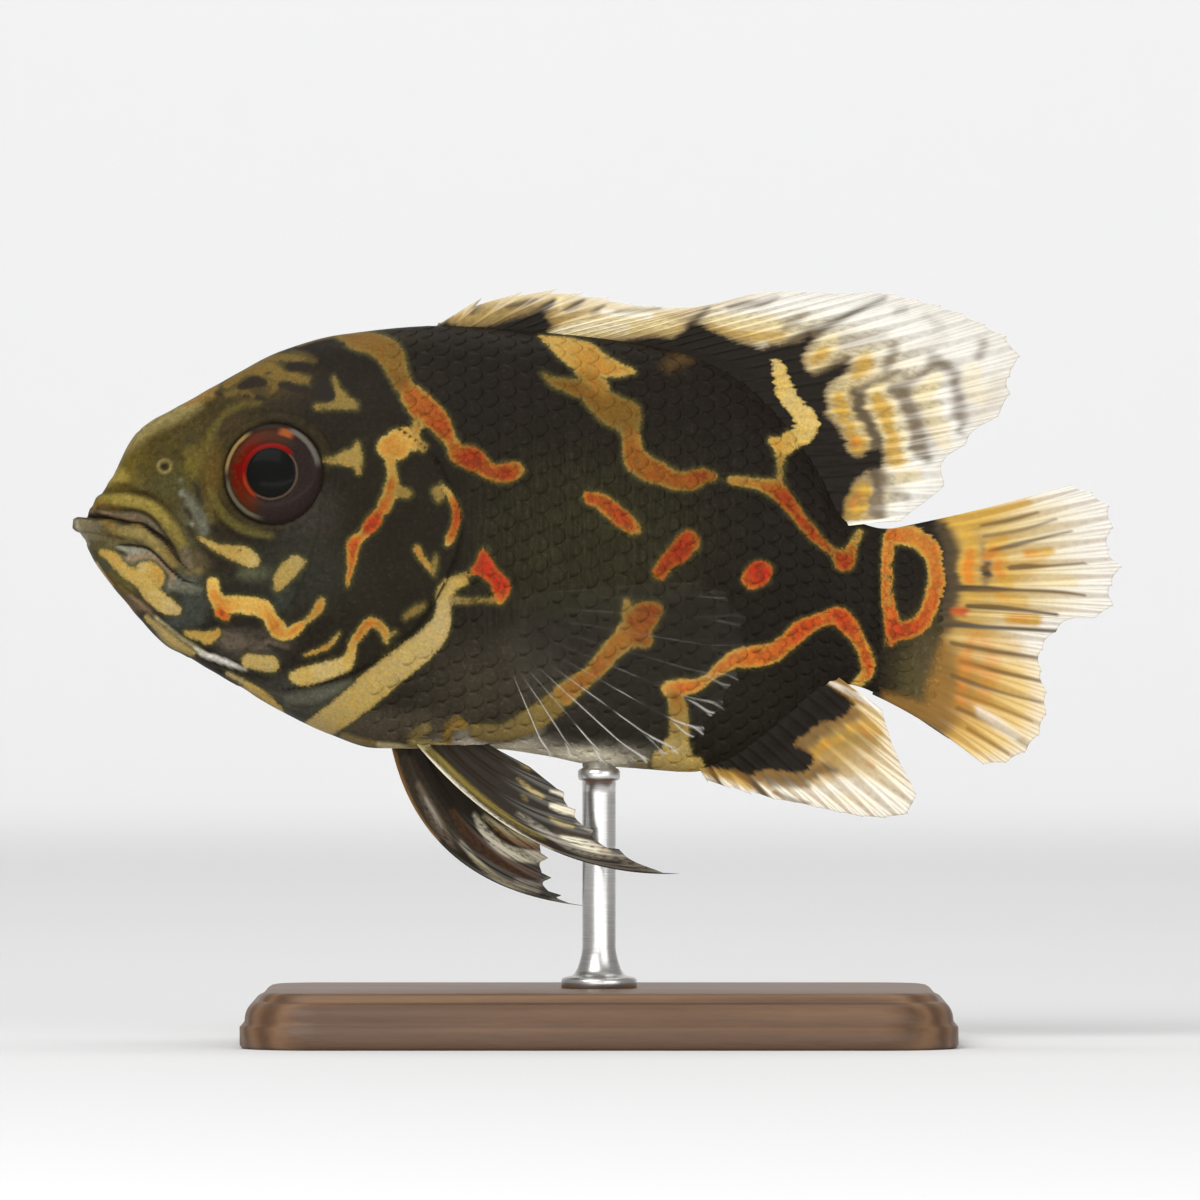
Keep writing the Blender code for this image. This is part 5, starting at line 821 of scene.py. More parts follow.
# Edge of the plinth below and above its cove: (height, how far it lies inside the plinth's outline)
PLINTH_FOOT = ((0.0, 0.35), (0.12, 0.12), (0.35, 0.0), (1.9, 0.0), (2.15, 0.35), (2.5, 0.45))
PLINTH_TOP = ((4.35, 1.75), (4.7, 1.95), (4.92, 2.3), (5.0, 2.8))
COVE_Z, COVE_INSET, COVE_HIGH, COVE_DEEP = 2.5, 0.45, 1.7, 1.2

# The rod from its foot up: (how far it stands out from the plain rod, height)
ROD_SHAPE = (
    (1.9, 4.95), (1.9, 5.7), (1.78, 5.9), (1.5, 6.0), (0.95, 6.1), (0.7, 6.3), (0.45, 6.75), (0.25, 7.35),
    (0.1, 7.95), (0.0, 8.55), (0.0, 14.0), (0.0, 22.5), (0.0, 23.6), (0.32, 23.75), (0.4, 23.95),
    (0.4, 24.5), (0.25, 24.7), (0.0, 24.8), (0.0, ROD_TOP_Z),
)

# Studio
CAMERA_DISTANCE = 1200.0
CAMERA_LENS, CAMERA_SENSOR = 400.0, 36.0
VIEW_X, VIEW_Z = 0.09, 39.9
FLOOR_FRONT, FLOOR_REAR, FLOOR_HALF = -2600.0, 2100.0, 2800.0
BACKDROP_RISE, BACKDROP_BEND = 900.0, 500.0
WORLD_STRENGTH = 0.34

# Lights: (name, place, what it faces, size, power)
LIGHTS = (
    ("key", (-350, -620, 620), (0, 0, 42), (600, 500), 5.6),
    ("fill", (520, -700, 260), (0, 0, 42), (600, 500), 2.4),
    ("top", (0, 120, 700), (0, 0, 40), (700, 500), 2.6),
    ("low", (-60, -560, 30), (0, 0, 36), (560, 50), 0.7),
    ("backdrop", (0, 1150, 1050), (0, 2150, 380), (2200, 500), 9.0),
)


# Curves

def hermite(knots, values, slopes, at):
    """Values at the given places, on cubics that pass the knots with the given slopes."""
    i = np.clip(np.searchsorted(knots, at, "right") - 1, 0, len(knots) - 2)
    step = knots[i + 1] - knots[i]
    t = (at - knots[i]) / step
    start, end, start_slope, end_slope = values[i], values[i + 1], slopes[i], slopes[i + 1]
    if values.ndim == 2:
        t, step = t[:, None], step[:, None]
    return (
        (2 * t**3 - 3 * t**2 + 1) * start
        + (t**3 - 2 * t**2 + t) * step * start_slope
        + (3 * t**2 - 2 * t**3) * end
        + (t**3 - t**2) * step * end_slope
    )


def profile(points):
    """A function of x through the points, which doesn't swing past them."""
    knots, values = np.array(points, float).T
    rise = np.diff(values) / np.diff(knots)
    both = rise[:-1] * rise[1:]
    total = np.where(both > 0, rise[:-1] + rise[1:], 1.0)
    inner = np.where(both > 0, 2 * both / total, 0.0)
    slopes = np.concatenate([rise[:1], inner, rise[-1:]])
    return lambda at: hermite(knots, values, slopes, np.atleast_1d(np.asarray(at, float)))


def smooth_curve(points, count):
    """Evenly spaced points on a smooth curve through the given ones, whose other columns follow along."""
    points = np.array(points, float)
    steps = np.linalg.norm(np.diff(points[:, :2], axis=0), axis=1)
    knots = np.concatenate([[0.0], np.cumsum(steps)])
    slopes = np.gradient(points, knots, axis=0)
    fine = hermite(knots, points, slopes, np.linspace(0, knots[-1], 400))
    length = np.concatenate([[0.0], np.cumsum(np.linalg.norm(np.diff(fine[:, :2], axis=0), axis=1))])
    wanted = np.linspace(0, length[-1], count)
    return np.column_stack([np.interp(wanted, length, column) for column in fine.T])


def smoothstep(low, high, at):
    """0 below low, 1 above high, and smooth between."""
    t = np.clip((at - low) / (high - low), 0, 1)
    return t * t * (3 - 2 * t)


def hump(far, width):
    """1 at no distance, fading out within about twice the width."""
    return np.exp(-((far / width) ** 2))


back, belly, half_width, squareness = map(profile, (BACK, BELLY, HALF_WIDTH, SQUARENESS))


def body_side(x, z):
    """The body's half width at a point of its side view."""
    x, z = np.atleast_1d(x).astype(float), np.atleast_1d(z).astype(float)
    middle = (back(x) + belly(x)) / 2
    height = (back(x) - belly(x)) / 2
    share = np.clip(np.abs(z - middle) / height, 0, 1)
    power = squareness(x)
    return half_width(x) * (1 - share**power) ** (1 / power)


def belly_under(x, y):
    """Height of the belly's skin at a distance from the middle plane."""
    power = squareness(x)
    share = (1 - (np.abs(y) / half_width(x)) ** power) ** (1 / power)
    return (back(x) + belly(x)) / 2 - (back(x) - belly(x)) / 2 * share


# Marks: how deep a point of the side view lies in a drawn line

DRAWN_STEPS = 5  # short pieces that a drawn line has between two of its points


def from_piece(x, z, start, end):
    """The place along a straight piece that is nearest to each point, from 0 to 1, and the distance."""
    run = end[:2] - start[:2]
    t = np.clip(((x - start[0]) * run[0] + (z - start[1]) * run[1]) / (run @ run + 1e-9), 0, 1)
    return t, np.hypot(x - start[0] - t * run[0], z - start[1] - t * run[1])


def into_line(x, z, line):
    """How deep each point lies inside a line of changing width, and the line's further values there."""
    line = np.array(line, float)
    if len(line) == 1:
        line = np.concatenate([line, line + (0.01, 0, *np.zeros(line.shape[1] - 2))])
    line = smooth_curve(line, DRAWN_STEPS * (len(line) - 1) + 1)
    depth = np.full(x.shape, -9.0)
    values = np.zeros((*x.shape, line.shape[1] - 3))
    for start, end in zip(line[:-1], line[1:]):
        t, far = from_piece(x, z, start, end)
        here = start[2] + t * (end[2] - start[2]) - far
        deeper = here > depth
        depth = np.where(deeper, here, depth)
        values = np.where(deeper[..., None], start[3:] + t[..., None] * (end[3:] - start[3:]), values)
    return depth, values


def near_line(x, z, line, reach):
    """Which points lie in the box round a line."""
    low, high = np.min(line, axis=0)[:2] - reach, np.max(line, axis=0)[:2] + reach
    return (x > low[0]) & (x < high[0]) & (z > low[1]) & (z < high[1])


MARK_REACH = 2.6
MARK_BLEND = 0.16


def marking(x, z, marks):
    """Depth inside the nearest mark, its warmth and its glow, blended where two marks meet."""
    depth = np.full(x.shape, -MARK_REACH)
    weight, warmth, glow = (np.zeros(x.shape) for _ in range(3))
    for mark_glow, line in marks.values():
        near = near_line(x, z, line, MARK_REACH)
        if not near.any():
            continue
        here, values = into_line(x[near], z[near], line)
        share = np.exp(np.clip(here, -MARK_REACH, 0.8) / MARK_BLEND)
        weight[near] += share
        warmth[near] += share * values[:, 0]
        glow[near] += share * mark_glow
        depth[near] = np.maximum(depth[near], here)
    weight = np.maximum(weight, 1e-12)
    return np.stack([depth, warmth / weight, glow / weight], axis=-1)


def painted(x, z, lines, strength, soft):
    """How much of any of the lines covers each point, from 0 to the strength."""
    cover = np.zeros(x.shape)
    for line in lines:
        near = near_line(x, z, line, STROKE_REACH)
        if near.any():
            here, _ = into_line(x[near], z[near], line)
            cover[near] = np.maximum(cover[near], strength * smoothstep(-soft, soft, here))
    return cover


def tinted(x, z, colour, tints):
    """The colours with soft strokes of other colours laid over them."""
    for name, strength, *own, line in tints:
        near = near_line(x, z, line, STROKE_REACH)
        if near.any():
            here, _ = into_line(x[near], z[near], line)
            soft = own[0] if own else STROKE_SOFT
            share = strength * smoothstep(-soft, soft, here)[:, None]
            colour[near] += share * (np.array(COLOURS[name]) - colour[near])
    return colour


def ground(x, z):
    """Colour of the bare skin, from the washes, with the strokes laid over it, some of them painted light and
    shade.
    """
    colour = np.broadcast_to(np.array(DARK), (*x.shape, 3)).copy()
    for at_x, at_z, wide, high, tint, strength in WASHES:
        share = strength * np.exp(-(((x - at_x) / wide) ** 2 + ((z - at_z) / high) ** 2) ** 1.5)
        colour += share[..., None] * (np.array(tint) - colour)
    return tinted(x, z, colour, TINTS)


def right_side(x, y, z):
    """Where on the drawn left side the skin looks up its marks: the right side's are bent differently."""
    share = smoothstep(0.1, 0.9, y / np.maximum(body_side(x.ravel(), z.ravel()).reshape(x.shape), 0.4))
    share = share * smoothstep(-40.0, -30.0, x) * (1 - smoothstep(20.0, 25.0, x))
    share = share * smoothstep(5.5, 9.0, np.hypot(x - EYE_X, z - EYE_Z))
    return (
        x + share * (1.7 * np.sin(0.21 * z + 0.8) + 0.8 * np.sin(0.5 * x + 0.3 * z)),
        z + share * (1.5 * np.sin(0.24 * x + 1.1) + 0.7 * np.sin(0.45 * z + 0.9)),
    )


# Relief of the skin

def inside_outline(x, z, outline):
    """Which points lie inside a closed outline."""
    inside = np.zeros(x.shape, bool)
    for (ax, az), (bx, bz) in zip(outline, np.roll(outline, -1, axis=0)):
        crosses = (az > z) != (bz > z)
        at = ax + (z - az) * (bx - ax) / (bz - az if bz != az else 1e-9)
        inside ^= crosses & (x < at)
    return inside


cover_rear = smooth_curve(COVER_REAR, 40)
cover_front = smooth_curve(COVER_FRONT, 30)
cover_outline = np.concatenate([cover_rear, cover_front[1:-1]])
cheek_edge = smooth_curve(CHEEK_EDGE, 30)


def line_distance(x, z, line):
    """Distance of each point from a line."""
    far = np.full(x.shape, 99.0)
    for start, end in zip(line[:-1], line[1:]):
        far = np.minimum(far, from_piece(x, z, start, end)[1])
    return far


def fold(x, z, height, width, line, rounded=False):
    """A ridge or groove along a line of (x, z, share of the height) points."""
    out = np.zeros(x.shape)
    drawn = [(px, pz, 0.0, share) for px, pz, share in line]
    near = near_line(x, z, drawn, 3 * width + 0.4)
    if near.any():
        depth, values = into_line(x[near], z[near], drawn)
        shape = np.sqrt(np.clip(1 - (depth / width) ** 2, 0, 1)) if rounded else hump(depth, width)
        out[near] = height * values[:, 0] * shape
    return out


def relief(x, z):
    """How far the skin stands out of the plain body, seen from the side."""
    height = np.zeros(x.shape)
    for lift, width, line in ROUND_FOLDS:
        height += fold(x, z, lift, width, line, rounded=True)
    for lift, width, line in FOLDS:
        height += fold(x, z, lift, width, line)

    inside = inside_outline(x, z, cover_outline)
    far = line_distance(x, z, cover_rear)
    groove = COVER_GROOVE * hump(far, COVER_GROOVE_WIDE)
    height += np.where(inside, COVER_LIFT * hump(far, COVER_FADE), -groove)
    front = inside & (line_distance(x, z, cover_front) < COVER_HOLLOW_WIDE)
    height -= np.where(front, COVER_HOLLOW, 0.0)
    far = line_distance(x, z, cheek_edge)
    ahead = (x < np.interp(z, cheek_edge[::-1, 1], cheek_edge[::-1, 0])) & (z > cheek_edge[-1, 1])
    groove = CHEEK_GROOVE * hump(far, CHEEK_GROOVE_WIDE)
    height += np.where(ahead, CHEEK_LIFT * hump(far, CHEEK_FADE), -groove)

    eye = np.hypot(x - EYE_X, z - EYE_Z)
    for lift, radius, width in EYE_RIMS:
        height += lift * hump(eye - radius, width)
    height -= SOCKET_DEPTH * (1 - smoothstep(SOCKET_INNER, SOCKET_OUTER, eye))

    nostril = np.hypot(x - NOSTRIL_X, z - NOSTRIL_Z)
    height += NOSTRIL_RAISE * hump(nostril - NOSTRIL_RING, NOSTRIL_RIM_WIDE)
    height -= NOSTRIL_DEPTH * (1 - smoothstep(NOSTRIL_HOLE - 0.22, NOSTRIL_HOLE + 0.06, nostril))
    for px, pz, radius in PORES:
        height -= PORE_DEPTH * hump(np.hypot(x - px, z - pz), radius)

    far = np.hypot((x - PECTORAL_BASE_X) / PECTORAL_BASE_LONG, (z - PECTORAL_BASE_Z) / PECTORAL_BASE_HIGH)
    height += PECTORAL_BASE_LIFT * hump(far, 1.0)
    waves = np.sin(1.9 * x + 0.8 * np.sin(0.9 * z)) * np.sin(1.5 * z + 0.5)
    height += HEAD_WAVES * waves * smoothstep(-30.0, -36.0, x)
    return height * (1 - smoothstep(22.0, 25.0, x))


# Meshes

def new_piece(name, points, groups, material, slot, attributes=None, unwrap=None, replaces=()):
    """A piece of the model from points in millimetres, and its faces in groups of equal corner counts."""
    mesh = bpy.data.meshes.new(name)
    corners = np.concatenate([np.asarray(group).ravel() for group in groups])
    sizes = np.concatenate([np.full(len(group), np.shape(group)[1]) for group in groups])
    mesh.vertices.add(len(points))
    mesh.vertices.foreach_set("co", (np.asarray(points, float) * MM).ravel())
    mesh.loops.add(len(corners))
    mesh.loops.foreach_set("vertex_index", corners.astype(np.int32))
    mesh.polygons.add(len(sizes))
    mesh.polygons.foreach_set("loop_start", np.concatenate([[0], np.cumsum(sizes)[:-1]]).astype(np.int32))
    mesh.polygons.foreach_set("use_smooth", np.ones(len(sizes), bool))
    mesh.update(calc_edges=True)
    for key, values in (attributes or {}).items():
        values = np.asarray(values, float)
        if values.ndim == 1:
            mesh.attributes.new(key, "FLOAT", "POINT").data.foreach_set("value", values)
        else:
            mesh.attributes.new(key, "FLOAT_VECTOR", "POINT").data.foreach_set("vector", values.ravel())
    if unwrap is not None:
        layer = mesh.uv_layers.new(name="OFBake")
        layer.data.foreach_set("uv", np.asarray(unwrap, float)[corners].ravel())
    mesh.materials.append(material)
    made = bpy.data.objects.new(name, mesh)
    bpy.context.scene.collection.objects.link(made)
    if slot:
        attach(made, "root")
    if replaces:
        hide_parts(*replaces)
    return made


def grid_faces(rows, columns, closed=False):
    """Four-sided faces over a grid of points, closed round its columns or open."""
    i, j = np.meshgrid(np.arange(rows - 1), np.arange(columns if closed else columns - 1), indexing="ij")
    here, beside = i * columns + j, i * columns + (j + 1) % columns
    return np.stack([here, beside, beside + columns, here + columns], axis=-1).reshape(-1, 4)


def closed_loft(rings, sides):
    """Faces of a closed piece of rings, whose last two points are the middles of its two ends."""
    j = np.arange(sides)
    k = (j + 1) % sides
    middle, base = rings * sides, (rings - 1) * sides
    first = np.column_stack([np.full(sides, middle), k, j])
    last = np.column_stack([np.full(sides, middle + 1), base + j, base + k])
    return [grid_faces(rings, sides, closed=True), np.concatenate([first, last])]


def with_ends(grid):
    """The points of a grid of rings in one list, then the middles of the first and the last ring."""
    return np.concatenate([grid.reshape(-1, grid.shape[-1]), [grid[0].mean(axis=0), grid[-1].mean(axis=0)]])


def sheet_faces(rows, columns):
    """Faces of a closed sheet: a grid of points on one side, the same on the other, and the rim between."""
    one = rows * columns
    face = grid_faces(rows, columns)
    rim = np.concatenate([
        np.arange(columns), np.arange(1, rows) * columns + columns - 1,
        one - 2 - np.arange(columns - 1), np.arange(rows - 2, 0, -1) * columns,
    ])
    around = np.column_stack([rim, np.roll(rim, -1), np.roll(rim, -1) + one, rim + one])
    return np.concatenate([face, face[:, ::-1] + one, around[:, ::-1]])


def surface_normals(grid, closed):
    """Unit normals of a grid of points."""
    down = np.gradient(grid, axis=0)
    if closed:
        across = np.roll(grid, -1, axis=1) - np.roll(grid, 1, axis=1)
    else:
        across = np.gradient(grid, axis=1)
    normal = np.cross(across, down)
    return normal / np.maximum(np.linalg.norm(normal, axis=-1, keepdims=True), 1e-12)


# Finishes

class Value:
    """A socket of a finish, whose arithmetic is written in Python."""

    def __init__(self, finish, socket):
        self.finish, self.socket = finish, socket

    def __add__(self, other):
        return self.finish.math("ADD", self, other)

    def __sub__(self, other):
        return self.finish.math("SUBTRACT", self, other)

    def __rsub__(self, other):
        return self.finish.math("SUBTRACT", other, self)

    def __mul__(self, other):
        return self.finish.math("MULTIPLY", self, other)

    def __truediv__(self, other):
        return self.finish.math("DIVIDE", self, other)

    __radd__ = __add__
    __rmul__ = __mul__


class Finish:
    """A material with one shader, built node by node."""

    def __init__(self, name, **constants):
        self.material = bpy.data.materials.new(name)
        self.material.use_nodes = True
        self.tree = self.material.node_tree
        self.shader = self.tree.nodes["Principled BSDF"]
        for key, value in constants.items():
            self.shader.inputs[key.replace("_", " ")].default_value = value

    def node(self, kind, settings=None, sockets=None, out=0):
        """A new node: its settings first, then the values or links of its sockets. Returns one output."""
        node = self.tree.nodes.new(kind)
        for key, value in (settings or {}).items():
            if key == "stops":
                self.set_stops(node.color_ramp.elements, value)
            else:
                setattr(node, key, value)
        for key, value in (sockets or {}).items():
            self.feed(node.inputs[key], value)
        return Value(self, node.outputs[out])

    def set_stops(self, elements, stops):
        while len(elements) < len(stops):
            elements.new(1.0)
        for element, (at, colour) in zip(elements, stops):
            element.position = at
            element.color = (*colour, 1.0)

    def feed(self, socket, value):
        if isinstance(value, Value):
            self.tree.links.new(value.socket, socket)
        elif isinstance(value, (tuple, list)) and len(value) == 3 and socket.type == "RGBA":
            socket.default_value = (*value, 1.0)
        else:
            socket.default_value = value

    def surface(self, **inputs):
        for key, value in inputs.items():
            self.feed(self.shader.inputs[key.replace("_", " ")], value)
        return self.material

    def math(self, operation, *values):
        return self.node("ShaderNodeMath", {"operation": operation}, dict(enumerate(values)))

    def step(self, value, low, high):
        """0 below low, 1 above high, and smooth between."""
        sockets = {0: value, 1: low, 2: high}
        return self.node("ShaderNodeMapRange", {"interpolation_type": "SMOOTHSTEP"}, sockets)

    def mix(self, share, first, second):
        return self.node("ShaderNodeMix", {"data_type": "RGBA"}, {0: share, 6: first, 7: second}, out=2)

    def ramp(self, value, stops):
        return self.node("ShaderNodeValToRGB", {"stops": stops}, {0: value})

    def shade(self, colour, share):
        """The colour, or any vector, multiplied by one number."""
        return self.node("ShaderNodeVectorMath", {"operation": "SCALE"}, {0: colour, 3: share})

    def stretch(self, vector, factors):
        """The vector with each of its numbers multiplied by its own factor."""
        return self.node("ShaderNodeVectorMath", {"operation": "MULTIPLY"}, {0: vector, 1: factors})

    def millimetres(self):
        """The place on the object, in millimetres."""
        return self.shade(self.node("ShaderNodeTexCoord", out=3), 1 / MM)

    def attribute(self, name, out=2):
        return self.node("ShaderNodeAttribute", {"attribute_name": name}, out=out)

    def parts(self, vector):
        """The three numbers of a vector."""
        first = self.node("ShaderNodeSeparateXYZ", None, {0: vector})
        outputs = first.socket.node.outputs
        return first, Value(self, outputs[1]), Value(self, outputs[2])

    def noise(self, place, scale, detail=2.0, roughness=0.5):
        sockets = {"Vector": place, "Scale": scale, "Detail": detail, "Roughness": roughness}
        return self.node("ShaderNodeTexNoise", None, sockets)

    def cells(self, place, scale):
        return self.node("ShaderNodeTexVoronoi", None, {"Vector": place, "Scale": scale})

    def bump(self, height, distance, strength):
        sockets = {"Strength": strength, "Distance": distance, "Height": height}
        return self.node("ShaderNodeBump", None, sockets)


WARMTH = (
    (0.0, (0.78, 0.74, 0.64)), (0.2, (0.62, 0.47, 0.21)), (0.36, (0.6, 0.41, 0.105)),
    (0.52, (0.53, 0.27, 0.045)), (0.68, (0.5, 0.145, 0.02)), (0.84, (0.45, 0.06, 0.012)),
    (1.0, (0.42, 0.026, 0.01)),
)
WARMTH_LOW = -0.25  # warmth at the ramp's start
RIM_GREEN = (0.058, 0.052, 0.015)
VEIN_RED = (0.20, 0.030, 0.010)
# Colour of the dark painted spots and of the painted shade in the skin's creases
SPOT_AND_SHADE_DARK = (0.016, 0.012, 0.009)


def marked(finish, place, base, core=0.26, rim_share=0.62, feather=0.0):
    """Lays the marks over a base colour. Returns the colour and how much mark covers the skin."""
    depth, warmth, glow = finish.parts(finish.attribute("marking", out=1))
    wander = finish.noise(place, 1.3, 3.0, 0.6)
    grain = finish.noise(place, 4.0, 2.0, 0.6)
    bead = finish.cells(place, 1.9)
    edge = depth + (wander - 0.5) * 0.40 + (grain - 0.5) * 0.32 + feather
    inside = finish.step(edge, -0.10, 0.14)
    rim = finish.step(edge, -0.42, 0.02) * (1 - inside)
    cooler = (1 - finish.step(edge, 0.06, 0.55)) * (finish.step(warmth, 0.15, 0.6) * core)
    heat = warmth - cooler + (wander - 0.5) * 0.30 - (bead - 0.35) * 0.10
    colour = finish.ramp((heat - WARMTH_LOW) / (1 - WARMTH_LOW), WARMTH)
    vein = finish.step(bead + (grain - 0.5) * 0.3, 0.40, 0.66) * finish.step(warmth, 0.34, 0.8)
    colour = finish.mix(vein * finish.step(edge, 0.05, 0.4) * 0.62, colour, VEIN_RED)
    mottle = glow * (0.84 + (grain - 0.5) * 0.7 + (wander - 0.5) * 0.4)
    colour = finish.shade(colour, mottle * (0.70 + finish.step(edge, 0.0, 0.35) * 0.34))
    under = finish.mix(rim * rim_share, base, RIM_GREEN)
    return finish.mix(inside, under, colour), inside


def skin_finish(name, cell_height):
    """Skin: washes, beaded marks with a green rim, fine upright lines on the flank, dark painted spots, and
    painted shade in the creases, the nostril, round the eye and behind the gill cover's edge.

    cell_height is the share of the cells in the naked skin's bump, and 0 for the scale plates, which have
    instead a tone of their own and painted shade along their rear edge."""
    finish = Finish(name, Specular_IOR_Level=0.05)
    place = finish.millimetres()
    x, y, z = finish.parts(place)
    broad = finish.noise(place, 0.45, 3.0)
    fine = finish.noise(place, 3.4, 3.0, 0.6)
    blotch = finish.noise(place, 1.6, 3.0, 0.62)
    head = 1 - finish.step(x, -30.0, -18.0)
    texture = 0.42 + broad * 0.36 + fine * 0.44 + (blotch - 0.5) * (0.5 + head * 0.4)
    base = finish.shade(finish.attribute("ground", out=0), texture + 0.2)
    lines = finish.noise(finish.stretch(place, (4.2, 1.0, 0.5)), 1.0, 2.0) - 0.5
    flank = finish.step(x, -16.0, -9.0) * (1 - finish.step(x, 9.0, 16.0))
    flank = flank * finish.step(z, 34.0, 40.0) * (1 - finish.step(z, 52.0, 57.0))
    base = finish.shade(base, 0.95 + lines * flank * 1.3)
    speck = finish.noise(place, 2.6, 3.0, 0.65)
    base = finish.mix(finish.step(speck, 0.52, 0.70) * (0.5 - head * 0.2), base, finish.shade(base, 2.0))
    pit = 1 - finish.step(finish.noise(place, 2.1, 3.0, 0.68), 0.40, 0.52)
    base = finish.mix(pit * (0.15 + head * 0.3), base, finish.shade(base, 0.5))
    colour, inside = marked(finish, place, base)
    # Dark painted spots, and painted shade in the creases, the nostril, round the eye and behind the gill
    # cover's edge
    dark = finish.attribute("dark")
    dark = finish.step(dark + (fine - 0.5) * 0.4 + (blotch - 0.5) * 0.3, 0.2, 0.85)
    colour = finish.mix(dark * 0.9, colour, SPOT_AND_SHADE_DARK)
    height = fine * 0.5 + finish.cells(place, 1.9) * cell_height + lines * flank * 0.2 + broad * 0.4
    if cell_height == 0:
        # Painted shade: each plate darker towards its rear edge and the sides near it, where it overlaps the
        # next
        edge = finish.step(finish.attribute("edge"), 0.75, 1.0)
        colour = finish.mix(edge * 0.14, colour, finish.shade(colour, 0.4))
        colour = finish.shade(colour, 0.93 + finish.attribute("tone") * 0.14)
    normal = finish.bump(height, 0.00006, 0.7)
    return finish.surface(Base_Color=colour, Roughness=0.40 + fine * 0.14, Normal=normal)


skin_material = skin_finish("fish_skin", 0.35)
scale_material = skin_finish("fish_scales", 0)


# Skin: one loft from the snout to the base of the tail fin

def ring_places():
    """Where along the body the skin has its rings."""
    parts = []
    for (start, step), (end, _) in zip(RING_STEPS[:-1], RING_STEPS[1:]):
        parts.append(np.linspace(start, end, round((end - start) / step), endpoint=False))
    return np.concatenate([*parts, [FLESH_END_X]])


def plain_body(x, sides):
    """Rings of points round the body, evenly spaced, from the belly up the left side and down the right."""
    quarter = sides // 4
    turn = np.linspace(0, math.pi / 2, 160)
    power = 2 / squareness(x)[:, None]
    wide = half_width(x)[:, None] * np.cos(turn) ** power
    high = (back(x) - belly(x))[:, None] / 2 * np.sin(turn) ** power
    wide[:, -1] = 0.0
    steps = np.hypot(np.diff(wide, axis=1), np.diff(high, axis=1))
    arc = np.concatenate([np.zeros((len(x), 1)), np.cumsum(steps, axis=1)], axis=1)
    share = np.linspace(0, 1, quarter + 1)
    y, z = (
        np.array([np.interp(share * a[-1], a, row) for a, row in zip(arc, values)]) for values in (wide, high)
    )
    up, down = slice(None, None, -1), slice(None)
    ring_y = np.concatenate([-y[:, up], -y[:, 1:], y[:, up][:, 1:], y[:, 1:-1]], axis=1)
    ring_z = np.concatenate([-z[:, up], z[:, 1:], z[:, up][:, 1:], -z[:, 1:-1]], axis=1)
    middle = ((back(x) + belly(x)) / 2)[:, None]
    grid = np.stack([np.broadcast_to(x[:, None], ring_y.shape), ring_y, middle + ring_z], axis=-1)
    return grid, 4 * arc[:, -1]


ring_x = ring_places()
plain, ring_length = plain_body(ring_x, SKIN_SIDES)
outward = surface_normals(plain, closed=True)
outward *= np.sign((outward[:, SKIN_SIDES // 4, 1] * -1).sum())
inset = COAT_DEPTH * np.clip((half_width(ring_x) - 0.3) / 1.0, 0, 1)
skin_grid = plain + outward * (relief(plain[..., 0], plain[..., 2]) - inset[:, None])[..., None]
skin_out = surface_normals(skin_grid, closed=True)
skin_out *= np.sign((skin_out * outward).sum())


def skin_values(points):
    """The marks, the ground colour, and the dark painted spots and painted shade at points of the skin."""
    x, y, z = points[..., 0], points[..., 1], points[..., 2]
    look_x, look_z = right_side(x, y, z)
    spots_and_shade = painted(x, z, SPOTS, SPOT_STRENGTH, SPOT_SOFT)
    # Painted shade, laid with the dark spots: along the mouth's slit and the creases of the lip and chin
    for line, width, strength in CREASE_SHADE:
        drawn = [(px, pz, width * share, 1.0) for px, pz, share in line]
        near = near_line(x, z, drawn, 1.0)
        here, _ = into_line(x[near], z[near], drawn)
        spots_and_shade[near] = np.maximum(spots_and_shade[near], strength * smoothstep(-0.1, 0.08, here))
    # Painted shade behind the gill cover's rear edge
    far = line_distance(x, z, cover_rear)
    edge = hump(far, 0.22) * ~inside_outline(x, z, cover_outline)
    spots_and_shade = np.maximum(spots_and_shade, 0.9 * edge)
    # Painted shade in the nostril
    nostril = np.hypot(x - NOSTRIL_X, z - NOSTRIL_Z)
    spots_and_shade = np.maximum(spots_and_shade, 0.6 * (1 - smoothstep(0.14, 0.34, nostril)))
    # Painted shade round the eye socket
    eye = np.hypot(x - EYE_X, z - EYE_Z)
    spots_and_shade = np.maximum(spots_and_shade, 0.12 * (1 - smoothstep(4.5, 5.2, eye)))
    marks = marking(look_x, look_z, MARKS)
    return {"marking": marks, "ground": ground(x, z), "dark": spots_and_shade}


def add_skin():
    attributes = {}
    for key, value in skin_values(skin_grid).items():
        attributes[key] = with_ends(value.reshape(*skin_grid.shape[:2], -1)).squeeze()
    new_piece(
        "skin", with_ends(skin_grid), closed_loft(*skin_grid.shape[:2]), skin_material, "skin", attributes,
        replaces=(
            "head", "lower_jaw", "upper_lip", "lower_lip", "gill_cover_left", "gill_cover_right", "trunk",
            "tail_stalk",
        ),
    )


add_skin()


# Scales: thin overlapping plates that ride on the skin's own grid

def on_skin(x, arc, side, lift):
    """Points over the skin: x, the distance along its ring from the flank's middle line, and a lift."""
    row = np.interp(x, ring_x, np.arange(len(ring_x)))
    length = np.interp(x, ring_x, ring_length)
    quarter = SKIN_SIDES / 4
    column = np.where(side < 0, quarter, 3 * quarter) - side * arc / length * SKIN_SIDES
    i, j = np.floor(row).astype(int), np.floor(column).astype(int)
    i = np.clip(i, 0, len(ring_x) - 2)
    fi, fj = (row - i)[..., None], (column - j)[..., None]
    out = 0
    for grid, scale in ((skin_grid, 1.0), (skin_out, lift[..., None])):
        a, b = grid[i, j % SKIN_SIDES], grid[i, (j + 1) % SKIN_SIDES]
        c, d = grid[i + 1, j % SKIN_SIDES], grid[i + 1, (j + 1) % SKIN_SIDES]
        out = out + scale * ((a * (1 - fj) + b * fj) * (1 - fi) + (c * (1 - fj) + d * fj) * fi)
    return out, row / len(ring_x), column / SKIN_SIDES


